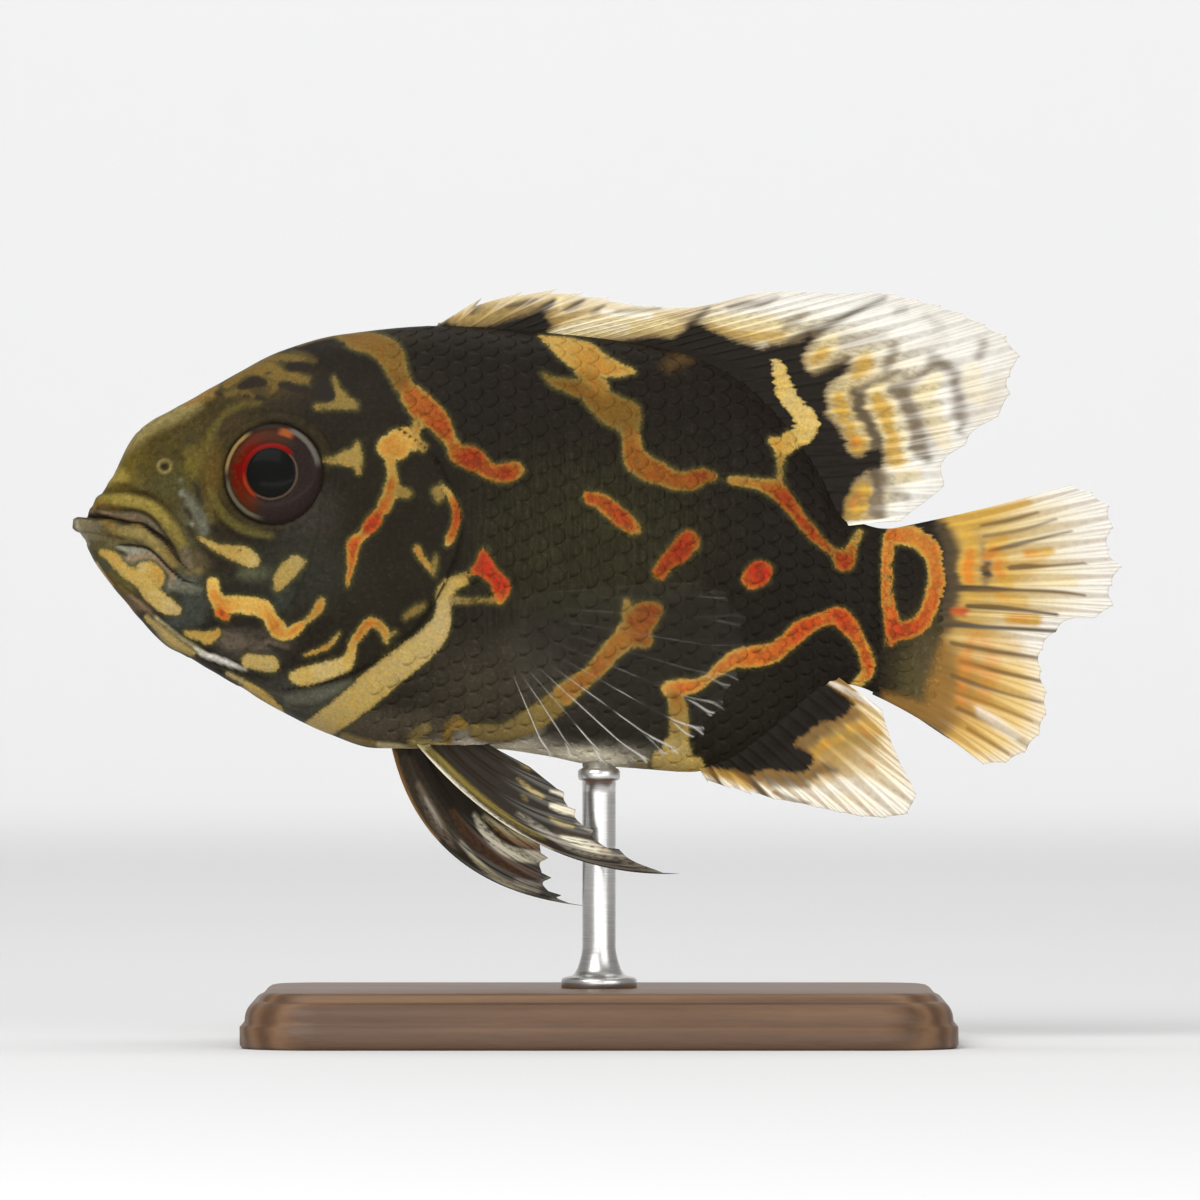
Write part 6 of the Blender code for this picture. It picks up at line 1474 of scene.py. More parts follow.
def scale_roots():
    """Where the scales of one side start: x, distance from the flank's middle line, length and width."""
    roots = []
    columns = round((SCALE_BACK_X - SCALE_FRONT_X) / SCALE_STEP)
    row_gap = profile(SCALE_ROW)
    for column, x in enumerate(np.linspace(SCALE_FRONT_X, SCALE_BACK_X, columns)):
        gap = row_gap(x)[0]
        quarter = np.interp(x, ring_x, ring_length) / 4
        count = int((quarter - 0.5 * gap) / gap) + 1
        for row in range(-count, count + 1):
            arc = (row + 0.5 * (column % 2)) * gap
            if abs(arc) < quarter - 0.35 * gap:
                roots.append((x, arc, PLATE_LENGTH * SCALE_STEP, PLATE_WIDTH * gap))
    return np.array(roots)


def add_scales(name, side):
    """The scale plates of one side, which leave the head, the gill cover and the pectoral fin's base free."""
    rng = np.random.default_rng(5 if side < 0 else 6)
    x, arc, long, wide = scale_roots().T
    centre, _, _ = on_skin(x, arc, side, np.zeros(len(x)))
    centre_x, centre_z = centre[:, 0], centre[:, 2]
    free = ~inside_outline(centre_x, centre_z, cover_outline)
    free &= centre_x > np.interp(centre_z, *zip(*COAT_FRONT))
    free &= line_distance(centre_x, centre_z, cover_rear) > COVER_GAP
    free &= np.hypot((centre_x - BARE_X) / BARE_LONG, (centre_z - BARE_Z) / BARE_HIGH) > 1.0
    x, arc, long, wide = (values[free][:, None, None] for values in (x, arc, long, wide))
    shift_x, shift_arc, widen = rng.uniform(-1, 1, (len(x), 3)).T[..., None, None]
    t, c = np.meshgrid(PLATE_LONG, PLATE_ACROSS, indexing="ij")
    place_x = x + PLATE_SHIFT * shift_x + (t - 0.10 * c**2 * t) * long
    place_arc = arc + PLATE_SHIFT * shift_arc + c * PLATE_WIDE[:, None] * wide / 2 * (1 + 0.04 * widen)
    lift = -PLATE_SINK + (SCALE_RAISE + PLATE_SINK) * t**1.2 - 0.02 * c**2
    thin = np.interp(place_x, (20.0, 27.5), (1.0, 0.35))
    sheets = []
    for under in (0.0, SCALE_THICKNESS):
        end_x = np.minimum(place_x, FLESH_END_X - 0.2)
        points, u, v = on_skin(end_x, place_arc, side, (lift - under) * thin)
        sheets.append(points)
    patch = np.stack([u[:, :1, 2:3] + (t - 0.5) * PATCH, v[:, :1, 2:3] + c * PATCH / 2], axis=-1)
    count, rows, across = place_x.shape
    plate_points = 2 * rows * across
    points = np.stack(sheets, axis=1).reshape(-1, 3)
    unwrap = np.stack([patch, patch], axis=1).reshape(-1, 2)
    plate = sheet_faces(rows, across)[:, ::side]
    faces = (plate + np.arange(count)[:, None, None] * plate_points).reshape(-1, 4)
    attributes = skin_values(points)
    # How near each point lies to its plate's rear edge, for the painted shade there
    edge = np.maximum(t, np.abs(c) * smoothstep(0.3, 0.6, t))
    attributes["edge"] = np.broadcast_to(edge, (count, 2, rows, across)).ravel()
    attributes["tone"] = np.repeat(rng.uniform(0, 1, count), plate_points)
    new_piece(name, points, [faces], scale_material, "skin", attributes, unwrap)


add_scales("scales_left", -1)
add_scales("scales_right", 1)


# Fins: one closed sheet each, with the rays standing out of the thin skin between them

def between(values, at):
    """Values at fractional places along a list of them, on a smooth curve."""
    values = np.asarray(values, float)
    knots = np.arange(len(values), dtype=float)
    return hermite(knots, values, np.gradient(values, axis=0), at)


FORK_SPREAD = (0.21, 0.10)  # how far a ray's branches draw apart at each fork, in ray gaps


def branch_offsets(t, forks):
    """Places of a ray's branches, as shares of the room between two rays, at each length share t."""
    first, second = (spread * smoothstep(fork, 1.0, t) for spread, fork in zip(FORK_SPREAD, forks))
    return [a * first + b * second for a in (-1, 1) for b in (-1, 1)]


def along_rays(grid):
    """The distance of each point from its ray's root."""
    return np.cumsum(np.linalg.norm(np.diff(grid, axis=0, prepend=grid[:1]), axis=-1), axis=0)


def fin_sheet(
    roots, tips, middles, fall, columns, rows, ray, web, forks, ripple=0.0, fine=(0.24, 0.16),
    flare=(0.0, 0.6, 3.2),
):
    """The middle, normals and half thickness of a fin, and for each point the ray's nearness, how far out
    it lies and between which rays.

    columns are the steps between two rays, and rows those along them. fall is how far the skin ends short
    of each ray's tip, just behind the ray, and ripple how far it ends short half way to the next ray. ray
    is the half thickness of a ray at its root and tip, fine its half width there, and web the half
    thickness of the skin. forks are the shares of its length where a ray divides. flare is the half
    thickness of the fleshy root and the two distances between which it fades."""
    count = len(roots)
    s = np.linspace(0, count - 1, (count - 1) * columns + 1)
    start, end, bend = (between(values, s) for values in (roots, tips, middles))
    phase = s - np.floor(s)
    index = np.minimum(np.floor(s).astype(int), count - 1)
    drop = np.where(phase > 0, np.asarray(fall)[index] * (1 - phase) ** 0.7, 0.0)
    reach = 1 - drop - ripple * (0.5 - 0.5 * np.cos(2 * math.pi * phase))
    t = np.linspace(0, 1, rows)[:, None] * reach
    u = t[..., None]
    grid = (1 - u) ** 2 * start + 2 * u * (1 - u) * bend + u**2 * end
    spacing = np.linalg.norm(np.gradient(grid, axis=1), axis=-1) * columns
    beside = np.where(phase > 0.5, phase - 1, phase)
    nearness = np.zeros(t.shape)
    wide = np.interp(t, (0, 1), fine)
    for offset in branch_offsets(t, forks):
        for whole in (0, 1, -1):
            far = np.abs(beside + whole - offset) * spacing
            nearness = np.maximum(nearness, hump(far, wide))
    thick = web + (np.interp(t, (0, 1), ray) - web) * nearness
    thick = thick + flare[0] * (1 - smoothstep(*flare[1:], along_rays(grid)))
    thick = np.minimum(thick, 0.02 + 0.9 * (reach - t) * np.linalg.norm(end - start, axis=-1))
    normal = surface_normals(grid, closed=False)
    return grid, normal, thick, {"ray": nearness, "reach": t, "place": np.broadcast_to(s, t.shape)}


def add_fin(name, sheet, material, slot, values):
    """A fin's piece from its sheet and further values of its points."""
    grid, normal, thick, own = sheet
    out = normal * thick[..., None]
    attributes = {}
    for key, value in {**own, **values}.items():
        value = value.reshape(-1, 3) if value.ndim == 3 else value.ravel()
        attributes[key] = np.concatenate([value, value])
    points = np.stack([grid + out, grid - out]).reshape(-1, 3)
    new_piece(name, points, [sheet_faces(*grid.shape[:2])], material, slot, attributes, replaces=(name,))


FIN_WHITE = (0.86, 0.83, 0.76)
FIN_BROWN = (0.115, 0.080, 0.040)
FIN_GOLD_BROWN = (0.240, 0.125, 0.030)
PELVIC_BROWN = (0.026, 0.020, 0.013)
NO_DARK = -3.0  # the dark edge's value where no dark ground is near


def fin_finish(name, brown, pale, broken):
    """Fin skin: painted ground, pale rays, brown skin between them, dark base, marks, and a clear edge.

    pale is how much the rays show, and broken how much of the brown lies in dashes."""
    finish = Finish(name, Specular_IOR_Level=0.08)
    place = finish.millimetres()
    fine = finish.noise(place, 3.0, 3.0, 0.6)
    flow = finish.attribute("flow", out=1)
    streak = finish.noise(flow, 1.0, 3.0, 0.65)
    dashes = finish.step(finish.noise(finish.stretch(flow, (1.0, 4.5, 1.0)), 1.0, 2.0), 0.42, 0.62)
    ray = finish.attribute("ray")
    base = finish.shade(finish.attribute("ground", out=0), 0.72 + fine * 0.20 + streak * 0.42)
    web = finish.attribute("web")
    base = finish.mix(web * (1 - ray) * (0.2 + streak + dashes * broken), base, brown)
    clear = finish.step(finish.attribute("reach"), 0.35, 0.7)
    base = finish.mix(ray * (1 - web * 0.4) * clear * pale, base, FIN_WHITE)
    edge = finish.attribute("dark") + (streak - 0.5) * 0.6 + (fine - 0.5) * 0.4
    base = finish.mix(finish.step(edge, -1.1, 0.1) * 0.6, base, brown)
    inked = finish.step(edge, -0.30, 0.26)
    base = finish.mix(inked, base, finish.shade(DARK, 0.6 + fine * 0.8))
    colour, inside = marked(finish, place, base, core=0.2, rim_share=0.0, feather=(streak - 0.5) * 0.6)
    height = ray * 0.4 + fine * 0.3 + streak * 0.3
    alpha = 1.0 - (1 - ray * 0.6) * finish.attribute("thin") * (1 - inside * 0.6) * (1 - inked)
    normal = finish.bump(height, 0.00005, 0.7)
    return finish.surface(Base_Color=colour, Roughness=0.40 + fine * 0.12, Alpha=alpha, Normal=normal)


fin_material = fin_finish("fin_skin", FIN_BROWN, 0.26, 0.5)
golden_material = fin_finish("golden_fin_skin", FIN_GOLD_BROWN, 0.10, 0.15)

FLOW_ACROSS = 4.0  # how fast streaks change from ray to ray, and along a ray
FLOW_ALONG = 0.3
STREAK = 0.34  # paint is drawn out by up to about this much along the rays


def fin_flow(grid, place):
    """Where a point lies across the rays and along them, for streaks that follow the rays."""
    return np.stack([place * FLOW_ACROSS, along_rays(grid) * FLOW_ALONG, np.zeros(place.shape)], axis=-1)


def streaked(grid, place):
    """Side-view places moved unevenly along the rays, so that what is painted there ends in streaks."""
    along = np.gradient(grid, axis=0)
    along /= np.maximum(np.linalg.norm(along, axis=-1, keepdims=True), 1e-9)
    run = along_rays(grid)
    rng = np.random.default_rng(8)
    shift = np.zeros(run.shape)
    for fineness in (2.6, 6.1):
        rough = rng.uniform(-0.5, 0.5, (400, 12))
        across, down = place * fineness, run * 0.35
        i, j = np.floor(across).astype(int), np.floor(down).astype(int)
        a, b = smoothstep(0, 1, across - i), smoothstep(0, 1, down - j)
        shift = shift + (
            (rough[i, j] * (1 - b) + rough[i, j + 1] * b) * (1 - a)
            + (rough[i + 1, j] * (1 - b) + rough[i + 1, j + 1] * b) * a
        )
    moved = grid + along * (STREAK * shift)[..., None]
    return moved[..., 0], moved[..., 2]


def add_upright_fin(name, sheet, material, tint, web, thin):
    """A fin of the middle plane, with the flank's marks and the dark ground running out over it."""
    grid, own = sheet[0], sheet[3]
    x, z = streaked(grid, own["place"])
    dark = np.full(x.shape, NO_DARK)
    for outline in FIN_DARKS:
        outline = np.array(outline + outline[:1])
        far = line_distance(x, z, outline)
        dark = np.maximum(dark, np.where(inside_outline(x, z, outline[:-1]), far, -far))
    add_fin(name, sheet, material, "fin", {
        "marking": marking(x, z, MARKS), "dark": dark, "ground": tinted(x, z, tint, FIN_PAINT), "web": web,
        "thin": thin, "flow": fin_flow(grid, own["place"]),
    })


def blend(stops, share):
    """The colour at each share of a way, from ((share, colour), ...)."""
    places, colours = zip(*stops)
    return np.stack([np.interp(share, places, column) for column in zip(*colours)], axis=-1)


def upright(line):
    """Side-view points in the middle plane."""
    line = np.asarray(line, float)
    return np.column_stack([line[:, 0], np.zeros(len(line)), line[:, 1]])


def add_dorsal():
    """The dorsal fin: spines in front with notches between them, and soft rays that lean back behind."""
    tips = np.array(SPINE_TIPS + DORSAL_SOFT_TIPS)
    share = np.arange(len(tips)) / (len(tips) - 1)
    lean = smoothstep(0.44, 0.72, share) * (1 - smoothstep(0.76, 1.0, share))  # of the soft rays
    root_x = np.linspace(*DORSAL_ROOT_X, len(tips)) + 2.8 * lean
    roots = upright(np.column_stack([root_x, back(root_x) - FIN_SINK]))
    tips = upright(tips)
    middles = (roots + tips) / 2
    middles[:, 2] += 0.1 - 1.3 * lean
    sheet = fin_sheet(
        roots, tips, middles, np.concatenate([SPINE_FALL, np.full(len(DORSAL_SOFT_TIPS), RAY_FALL)]),
        columns=16, rows=84, ray=(0.16, 0.06), web=0.045, forks=(0.25, 0.5), ripple=0.008,
        flare=(0.5, 0.6, 3.2),
    )
    t = sheet[3]["reach"]
    soft = smoothstep(10.0, 14.0, sheet[3]["place"])
    tint = blend(SPINY_GROUND, t) * (1 - soft[..., None]) + blend(SOFT_GROUND, t) * soft[..., None]
    web = 0.5 * (1 - smoothstep(0.6, 0.9, t)) * (1 - soft)
    web = web + soft * (0.22 + 0.24 * (1 - smoothstep(0.6, 0.85, t)))
    thin = smoothstep(0.6, 1.0, t) * (0.3 + 0.12 * soft)
    add_upright_fin("dorsal_fin", sheet, fin_material, tint, web, thin)


def add_anal():
    tips = upright(smooth_curve(ANAL_EDGE, ANAL_RAYS))
    root_x = np.linspace(*ANAL_ROOT_X, ANAL_RAYS)
    roots = upright(np.column_stack([root_x, belly(root_x) + FIN_SINK]))
    fall = np.where(np.arange(ANAL_RAYS) < ANAL_SPINES, ANAL_SPINE_FALL, RAY_FALL)
    sheet = fin_sheet(
        roots, tips, (roots + tips) / 2, fall,
        columns=14, rows=64, ray=(0.15, 0.06), web=0.045, forks=(0.35, 0.7), ripple=0.008,
        flare=(0.5, 0.6, 3.2),
    )
    t = sheet[3]["reach"]
    warm = smoothstep(9.0, 13.0, sheet[3]["place"])[..., None]
    tint = blend(ANAL_FRONT_GROUND, t) * (1 - warm) + warm * blend(ANAL_REAR_GROUND, t)
    thin = smoothstep(0.75, 1.0, t) * 0.22
    add_upright_fin("anal_fin", sheet, golden_material, tint, 0.7 * smoothstep(0.12, 0.3, t), thin)


def add_tail_fin():
    """The tail fin, whose base is flesh painted like the body."""
    roots = upright(smooth_curve(TAIL_FIN_ROOT, TAIL_FIN_RAYS))
    tips = upright(smooth_curve(TAIL_FIN_EDGE, TAIL_FIN_RAYS))
    middles = (roots + tips) / 2
    middles[:, 2] += np.linspace(-0.5, 0.9, TAIL_FIN_RAYS)
    sheet = fin_sheet(
        roots, tips, middles, np.full(TAIL_FIN_RAYS, RAY_FALL),
        columns=14, rows=96, ray=(0.12, 0.06), web=0.05, forks=(0.3, 0.62), ripple=0.012,
        flare=(0.1, 7.0, 12.0),
    )
    t = sheet[3]["reach"]
    x, z = sheet[0][..., 0], sheet[0][..., 2]
    low = smoothstep(36.5, 33.5, z)[..., None]
    tint = blend(TAIL_UPPER_GROUND, t) * (1 - low) + blend(TAIL_LOWER_GROUND, t) * low
    flesh = 1 - smoothstep(30.6, 32.6, x + 0.4 * np.sin(2.1 * z))[..., None]
    tint = tint * (1 - flesh) + ground(x, z) * flesh
    thin = smoothstep(0.7, 1.0, t) * 0.28
    add_upright_fin("tail_fin", sheet, golden_material, tint, 0.55 * smoothstep(0.3, 0.45, t), thin)


add_dorsal()
add_anal()
add_tail_fin()


# Pelvic fins

def add_pelvic(side_name, pelvic):
    """A pelvic fin, whose first ray bends most."""
    side, front, rear, bend, tips, paint = pelvic
    share = np.linspace(0, 1, len(tips))
    root_x = smooth_curve((front, rear), len(tips))[:, 0]
    tip_x, tip_z = np.transpose(tips)
    root_y = side * np.interp(share, (0, 1), PELVIC_ROOT_Y)
    tip_y = side * np.interp(share, (0, 1), PELVIC_TIP_Y)
    roots = np.column_stack([root_x, root_y, belly_under(root_x, root_y) + FIN_SINK])
    tips = np.column_stack([tip_x, tip_y, tip_z])
    middles = (roots + tips) / 2
    lead = np.array((bend[0], (root_y[0] + tip_y[0]) / 2, bend[1]))
    middles += (lead - middles[0]) * (1 - share[:, None]) ** 1.5
    sheet = fin_sheet(
        roots, tips, middles, PELVIC_FALL,
        columns=22, rows=80, ray=(0.20, 0.07), web=0.05, forks=(0.15, 0.5), ripple=0.025,
    )
    grid, own = sheet[0], sheet[3]
    t, s = own["reach"], own["place"]
    tint = np.broadcast_to(np.array(COLOURS["black"]), (*t.shape, 3)).copy()
    add_fin("pelvic_fin_" + side_name, sheet, pelvic_material, "fin", {
        "marking": np.broadcast_to((-MARK_REACH, 0.0, 0.0), (*t.shape, 3)), "dark": np.full(t.shape, NO_DARK),
        "ground": tinted(*streaked(grid, s), tint, paint), "web": np.full(t.shape, 0.5),
        "thin": smoothstep(0.8, 1.0, t) * 0.25, "flow": fin_flow(grid, s) * (2.6, 1.3, 1.0),
    })


pelvic_material = fin_finish("pelvic_skin", PELVIC_BROWN, 0.12, 0.9)
for side_name, pelvic in PELVIC_FINS.items():
    add_pelvic(side_name, pelvic)


# Pectoral fins: nearly clear skin on thin pale rays

def clear_finish():
    """Nearly clear fin skin, whose rays show best on the lower rear part."""
    finish = Finish("clear_fin_skin", Roughness=0.35, Specular_IOR_Level=0.1)
    place = finish.millimetres()
    fine = finish.noise(place, 2.6, 2.0)
    ray = finish.attribute("ray")
    reach = finish.attribute("reach")
    colour = finish.shade((0.58, 0.56, 0.50), 0.7 + fine * 0.5)
    strength = finish.step(finish.noise(finish.attribute("flow", out=1), 0.7, 2.0), 0.40, 0.62)
    low = 1 - finish.step(finish.parts(place)[2], 28.5, 34.5)
    alpha = ray * (0.015 + strength * (0.03 + low * 0.55)) * finish.step(reach, 0.25, 0.6) + 0.004
    return finish.surface(Base_Color=colour, Alpha=alpha, Normal=finish.bump(ray, 0.00004, 0.6))


clear_material = clear_finish()


def add_pectorals():
    flat_roots = smooth_curve(PECTORAL_ROOT, PECTORAL_RAYS)
    flat_tips = smooth_curve(PECTORAL_TIPS, PECTORAL_RAYS)
    root_y = body_side(flat_roots[:, 0], flat_roots[:, 1]) - FIN_SINK
    roots = np.column_stack([flat_roots[:, 0], root_y, flat_roots[:, 1]])
    tips = np.column_stack([flat_tips[:, 0], root_y + PECTORAL_SPREAD, flat_tips[:, 1]])
    middles = roots * 0.7 + tips * 0.3
    middles[:, 1] = root_y + 0.8 * PECTORAL_SPREAD
    for side_name, side in (("left", -1), ("right", 1)):
        mirror = (1, side, 1)
        sheet = fin_sheet(
            roots * mirror, tips * mirror, middles * mirror, np.full(PECTORAL_RAYS, PECTORAL_FALL),
            columns=28, rows=60, ray=(0.10, 0.05), web=0.03, forks=(0.85, 0.95), ripple=0.015,
            fine=(0.09, 0.07),
        )
        values = {"flow": fin_flow(sheet[0], sheet[3]["place"])}
        add_fin("pectoral_fin_" + side_name, sheet, clear_material, "clear_fin", values)


add_pectorals()


# Eyes: a flat iris round a bulging pupil, turned with the head's slope

IRIS_PROFILE = (
    (0.0, 1.25), (1.2, 1.17), (1.9, 1.04), (2.25, 0.92), (2.42, 0.8), (2.6, 0.76), (3.0, 0.72), (3.6, 0.6),
    (4.1, 0.36), (4.4, 0.06), (4.55, -0.35), (4.6, -0.9), (4.3, -1.7), (3.0, -2.4), (0.0, -2.7),
)
EYE_TURNS, EYE_RINGS = 96, 60


def eye_finish():
    """Eye: a black pupil, a red ring open at the lower right, a dark iris, and a broken gold and grey edge
    that is painted reflection of the cornea.
    """
    finish = Finish(
        "eye_glass", Roughness=0.4, Specular_IOR_Level=0.02, Coat_Roughness=0.12, Coat_Weight=0.03
    )
    place = finish.attribute("face", out=1)
    across, up, _ = finish.parts(place)
    radius = finish.math("SQRT", across * across + up * up)
    angle = finish.math("ARCTAN2", up, across * -1.0) / math.pi  # 0 towards the snout, 0.5 at the top
    grain = finish.noise(place, 2.2, 3.0)
    fleck = finish.noise(place, 5.0, 2.0)
    ring = radius + (grain - 0.5) * 0.14

    def within(value, low, high, soft):
        return finish.step(value, low - soft, low + soft) * (1 - finish.step(value, high - soft, high + soft))

    def band(low, high, soft):
        return within(ring, low, high, soft)

    def arc(start, end, soft=0.1):
        return within(angle, start, end, soft)

    gold_fleck = finish.step(grain, 0.52, 0.62)
    iris = finish.shade((0.020, 0.013, 0.011), 0.6 + fleck * 0.8)
    layers = (
        (arc(-0.36, 0.66) * band(2.5, 4.0, 0.3) * 0.8, (0.050, 0.013, 0.004)),
        (arc(-0.27, 0.36) * band(2.6, 3.6, 0.2), (0.105, 0.003, 0.001)),
        (arc(-0.30, 0.50) * band(2.9, 3.9, 0.2) * gold_fleck * 0.7, (0.052, 0.020, 0.005)),
        (arc(-0.34, -0.12) * band(2.6, 3.7, 0.25) * 0.6, (0.060, 0.014, 0.003)),
        (arc(0.26, 0.46) * band(3.0, 3.8, 0.2) * 0.6, (0.070, 0.012, 0.003)),
        # Painted reflections of the cornea: the orange, gold and grey arcs round the iris's edge
        (arc(0.56, 0.66, 0.03) * band(3.5, 4.15, 0.15), (0.240, 0.062, 0.013)),
        (arc(0.02, 0.32, 0.05) * band(4.0, 4.36, 0.12), (0.230, 0.150, 0.052)),
        (arc(-0.40, -0.05, 0.06) * band(3.95, 4.3, 0.12) * 0.9, (0.110, 0.102, 0.062)),
        (arc(0.63, 0.94, 0.04) * band(4.0, 4.42, 0.14) * 0.85, (0.120, 0.108, 0.090)),
        (finish.step(ring, 4.42, 4.58), (0.030, 0.022, 0.013)),
        (arc(-0.30, 0.76, 0.04) * band(2.30, 2.68, 0.09), (0.160, 0.003, 0.002)),
        (arc(-0.30, -0.02, 0.06) * band(2.36, 2.62, 0.09) * 0.6, (0.240, 0.045, 0.010)),
        (band(2.26, 2.42, 0.06) * (1 - arc(-0.30, 0.76, 0.04)) * 0.7, (0.100, 0.066, 0.040)),
        (1 - finish.step(radius, 2.17, 2.24), (0.0055, 0.0055, 0.005)),
    )
    for cover, colour in layers:
        iris = finish.mix(cover, iris, colour)
    return finish.surface(Base_Color=iris, Normal=finish.bump(fleck, 0.00003, 0.4))


def facing_out(x, z):
    """The direction that the left side of the body faces at a point of its side view."""
    step = 2.0
    slope_x = (body_side(x + step, z) - body_side(x - step, z))[0] / (2 * step)
    slope_z = (body_side(x, z + step) - body_side(x, z - step))[0] / (2 * step)
    return Vector((-slope_x, -1.0, -slope_z)).normalized()


def add_eyes():
    """Both eyes, whose attribute face holds each point's place across, up and out of the eye."""
    material = eye_finish()
    outline = smooth_curve(IRIS_PROFILE, EYE_RINGS)
    angle = np.linspace(0, 2 * math.pi, EYE_TURNS, endpoint=False)
    radius, height = outline[1:-1, :1], outline[1:-1, 1:]
    rings = np.broadcast_arrays(radius * np.cos(angle), radius * np.sin(angle), height)
    local = np.stack(rings, axis=-1).reshape(-1, 3)
    local = np.concatenate([local, [(0, 0, outline[0, 1]), (0, 0, outline[-1, 1])]])
    faces = closed_loft(len(radius), EYE_TURNS)
    for side_name, side in (("left", 1), ("right", -1)):
        out = np.array(facing_out(EYE_X, EYE_Z)) * (1, side, 1)
        surface = np.array((EYE_X, -side * body_side(EYE_X, EYE_Z)[0], EYE_Z))
        ahead = np.array((1.0, 0.0, 0.0)) - out * out[0]
        ahead /= np.linalg.norm(ahead)
        above = np.cross(out, ahead) * side
        points = surface + local[:, :1] * ahead + local[:, 1:2] * above + local[:, 2:3] * out
        new_piece(
            "eyeball_" + side_name, points, [group[:, ::-side] for group in faces], material, "eye",
            {"face": local}, replaces=("eye_" + side_name,),
        )


add_eyes()


# Stand

WALNUT = ((0.1, (0.070, 0.034, 0.016)), (0.55, (0.122, 0.062, 0.029)), (0.95, (0.175, 0.095, 0.046)))
STEEL = ((0.3, (0.50, 0.50, 0.49)), (0.7, (0.66, 0.65, 0.63)))


def wood_finish():
    """Varnished wood with its grain along X."""
    finish = Finish("stand_walnut", Roughness=0.4, Specular_IOR_Level=0.4)
    place = finish.millimetres()
    stretched = finish.stretch(place, (0.09, 1.0, 1.0))  # the grain runs along the base
    wave = finish.node(
        "ShaderNodeTexWave", {"wave_type": "RINGS", "rings_direction": "X"},
        {"Vector": stretched, "Scale": 0.16, "Distortion": 7.0, "Detail": 3.0, "Detail Scale": 0.8},
    )
    pores = finish.noise(stretched, 3.2, 4.0, 0.7)
    colour = finish.ramp(wave * 0.6 + pores * 0.5, WALNUT)
    normal = finish.bump(pores, 0.00006, 0.5)
    return finish.surface(Base_Color=colour, Roughness=0.34 + pores * 0.2, Normal=normal)


def steel_finish():
    """Steel, brushed round the rod."""
    finish = Finish("stand_satin_steel", Metallic=1.0, Roughness=0.3)
    rings = finish.noise(finish.stretch(finish.millimetres(), (0.3, 0.3, 9.0)), 1.6, 3.0)
    colour = finish.ramp(rings, STEEL)
    normal = finish.bump(rings, 0.00002, 0.4)
    return finish.surface(Base_Color=colour, Roughness=0.24 + rings * 0.16, Normal=normal)


def rounded_rectangle(length, depth, corner):
    """Points round a rectangle with rounded corners."""
    points = []
    for quarter, (sx, sy) in enumerate(((1, 1), (-1, 1), (-1, -1), (1, -1))):
        for turn in np.linspace(0, math.pi / 2, CORNER_POINTS) + quarter * math.pi / 2:
            x = sx * (length / 2 - corner) + corner * math.cos(turn)
            points.append((x, sy * (depth / 2 - corner) + corner * math.sin(turn)))
    return np.array(points)


def stacked(name, rings, material, slot, replaces):
    """A closed piece from level rings of points, with flat ends."""
    rings = np.array(rings)
    new_piece(name, with_ends(rings), closed_loft(*rings.shape[:2]), material, slot, replaces=replaces)


def add_stand():
    cove = []
    for turn in np.linspace(0.15, math.pi / 2, 8):
        rise, inset = COVE_HIGH * math.sin(turn), COVE_DEEP * (1 - math.cos(turn))
        cove.append((COVE_Z + rise, COVE_INSET + inset))
    rings = []
    for height, inset in (*PLINTH_FOOT, *cove, *PLINTH_TOP):
        ring = rounded_rectangle(STAND_LENGTH - 2 * inset, STAND_DEPTH - 2 * inset, STAND_CORNER - inset)
        rings.append(np.column_stack([ring, np.full(len(ring), height)]))
    stacked("stand_plinth", rings, wood_finish(), "stand_wood", ("stand_base",))
    turn = np.linspace(0, 2 * math.pi, ROD_SIDES, endpoint=False)
    circle = np.column_stack([np.cos(turn), np.sin(turn), np.zeros(ROD_SIDES)])
    rings = [circle * (ROD_RADIUS + more) + (0.0, 0.0, height) for more, height in ROD_SHAPE]
    stacked("stand_post", rings, steel_finish(), "stand_metal", ("stand_rod",))


add_stand()


# Studio

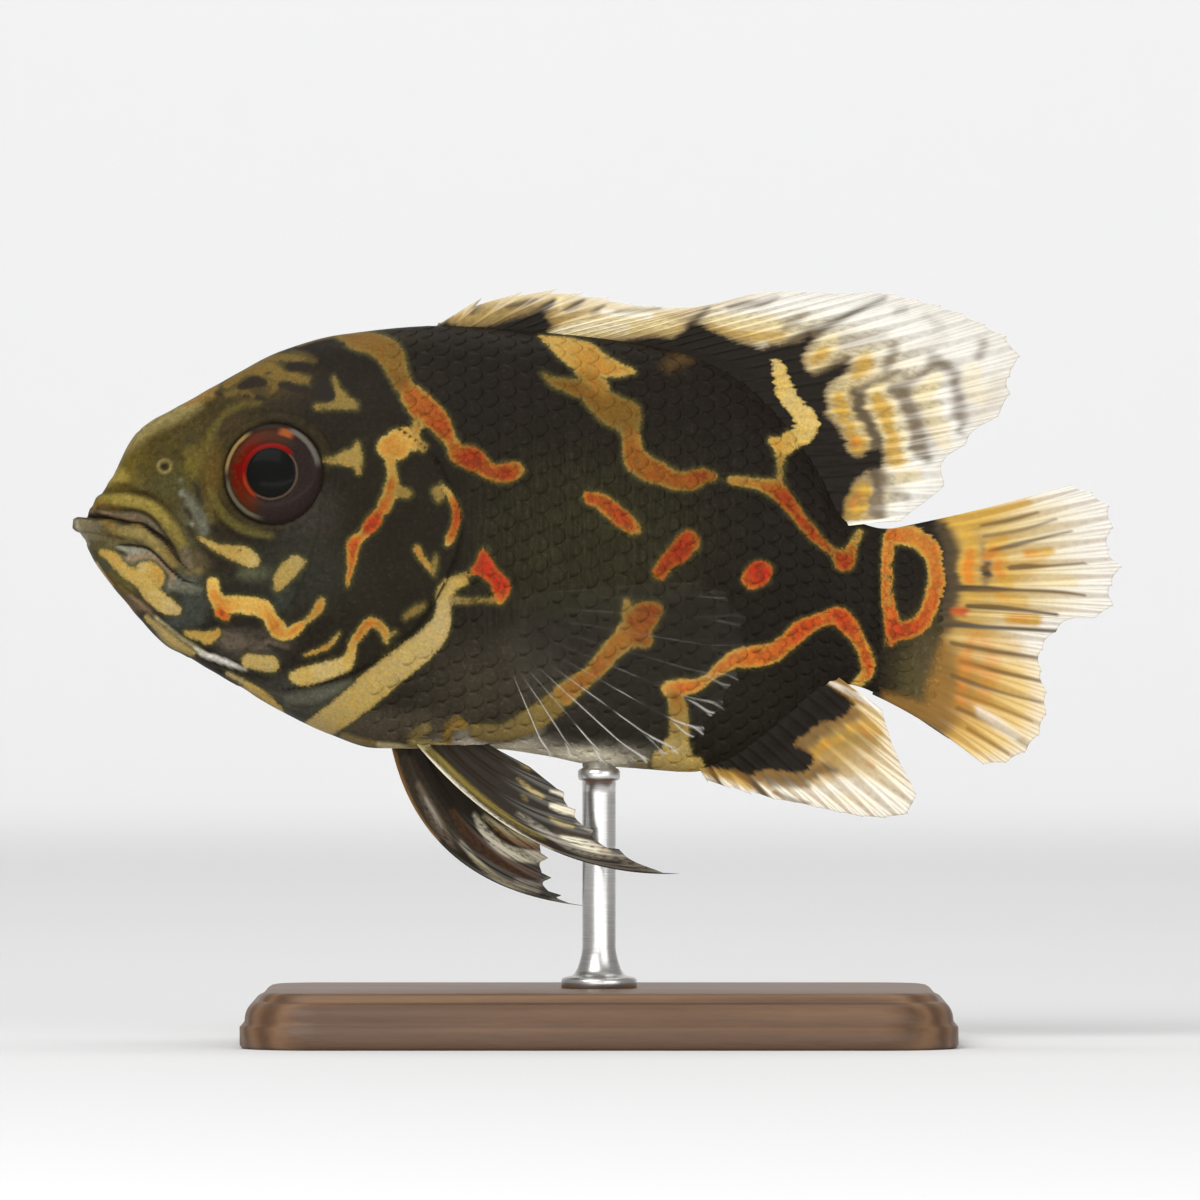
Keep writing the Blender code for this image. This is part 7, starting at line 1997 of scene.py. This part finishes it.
def add_floor():
    """A pale floor that curves up into a backdrop."""
    finish = Finish("studio_paper", Roughness=0.85, Specular_IOR_Level=0.2)
    # Painted shade: the floor is darker near the camera, where the lamps light it most, and brighter further
    # back
    far = finish.step(finish.parts(finish.millimetres())[1], 60.0, 700.0)
    finish.surface(Base_Color=finish.shade((0.95, 0.95, 0.95), 0.72 + far * 0.28))
    foot = FLOOR_REAR - BACKDROP_BEND
    side_line = [(FLOOR_FRONT, 0.0), (0.0, 0.0), (foot, 0.0)]
    for turn in np.linspace(0, math.pi / 2, 16)[1:]:
        side_line.append((foot + BACKDROP_BEND * math.sin(turn), BACKDROP_BEND * (1 - math.cos(turn))))
    side_line.append((FLOOR_REAR, BACKDROP_BEND + BACKDROP_RISE))
    points = np.array([(x, y, z) for y, z in side_line for x in (-FLOOR_HALF, FLOOR_HALF)])
    faces = grid_faces(len(side_line), 2)[:, ::-1]
    new_piece("floor", points, [faces], finish.material, None)


def add_light(name, place, target, size, power):
    data = bpy.data.lights.new(name, "AREA")
    data.shape = "RECTANGLE"
    data.size, data.size_y = size[0] * MM, size[1] * MM
    data.energy = power
    light = bpy.data.objects.new(name, data)
    light.location = Vector(place) * MM
    light.rotation_euler = (Vector(target) - Vector(place)).to_track_quat("-Z", "Y").to_euler()
    bpy.context.scene.collection.objects.link(light)


def add_studio():
    add_floor()
    for light in LIGHTS:
        add_light(*light)
    world = bpy.data.worlds.new("studio")
    world.use_nodes = True
    background = world.node_tree.nodes["Background"]
    background.inputs["Color"].default_value = (1.0, 1.0, 1.0, 1.0)
    background.inputs["Strength"].default_value = WORLD_STRENGTH
    bpy.context.scene.world = world
    bpy.context.scene.view_settings.view_transform = "Standard"
    data = bpy.data.cameras.new("camera")
    data.lens, data.sensor_width = CAMERA_LENS, CAMERA_SENSOR
    data.clip_start, data.clip_end = 0.01, 20.0
    camera = bpy.data.objects.new("camera", data)
    camera.location = Vector((VIEW_X, -CAMERA_DISTANCE, VIEW_Z)) * MM
    camera.rotation_euler = (math.pi / 2, 0.0, 0.0)
    bpy.context.scene.collection.objects.link(camera)
    bpy.context.scene.camera = camera


add_studio()
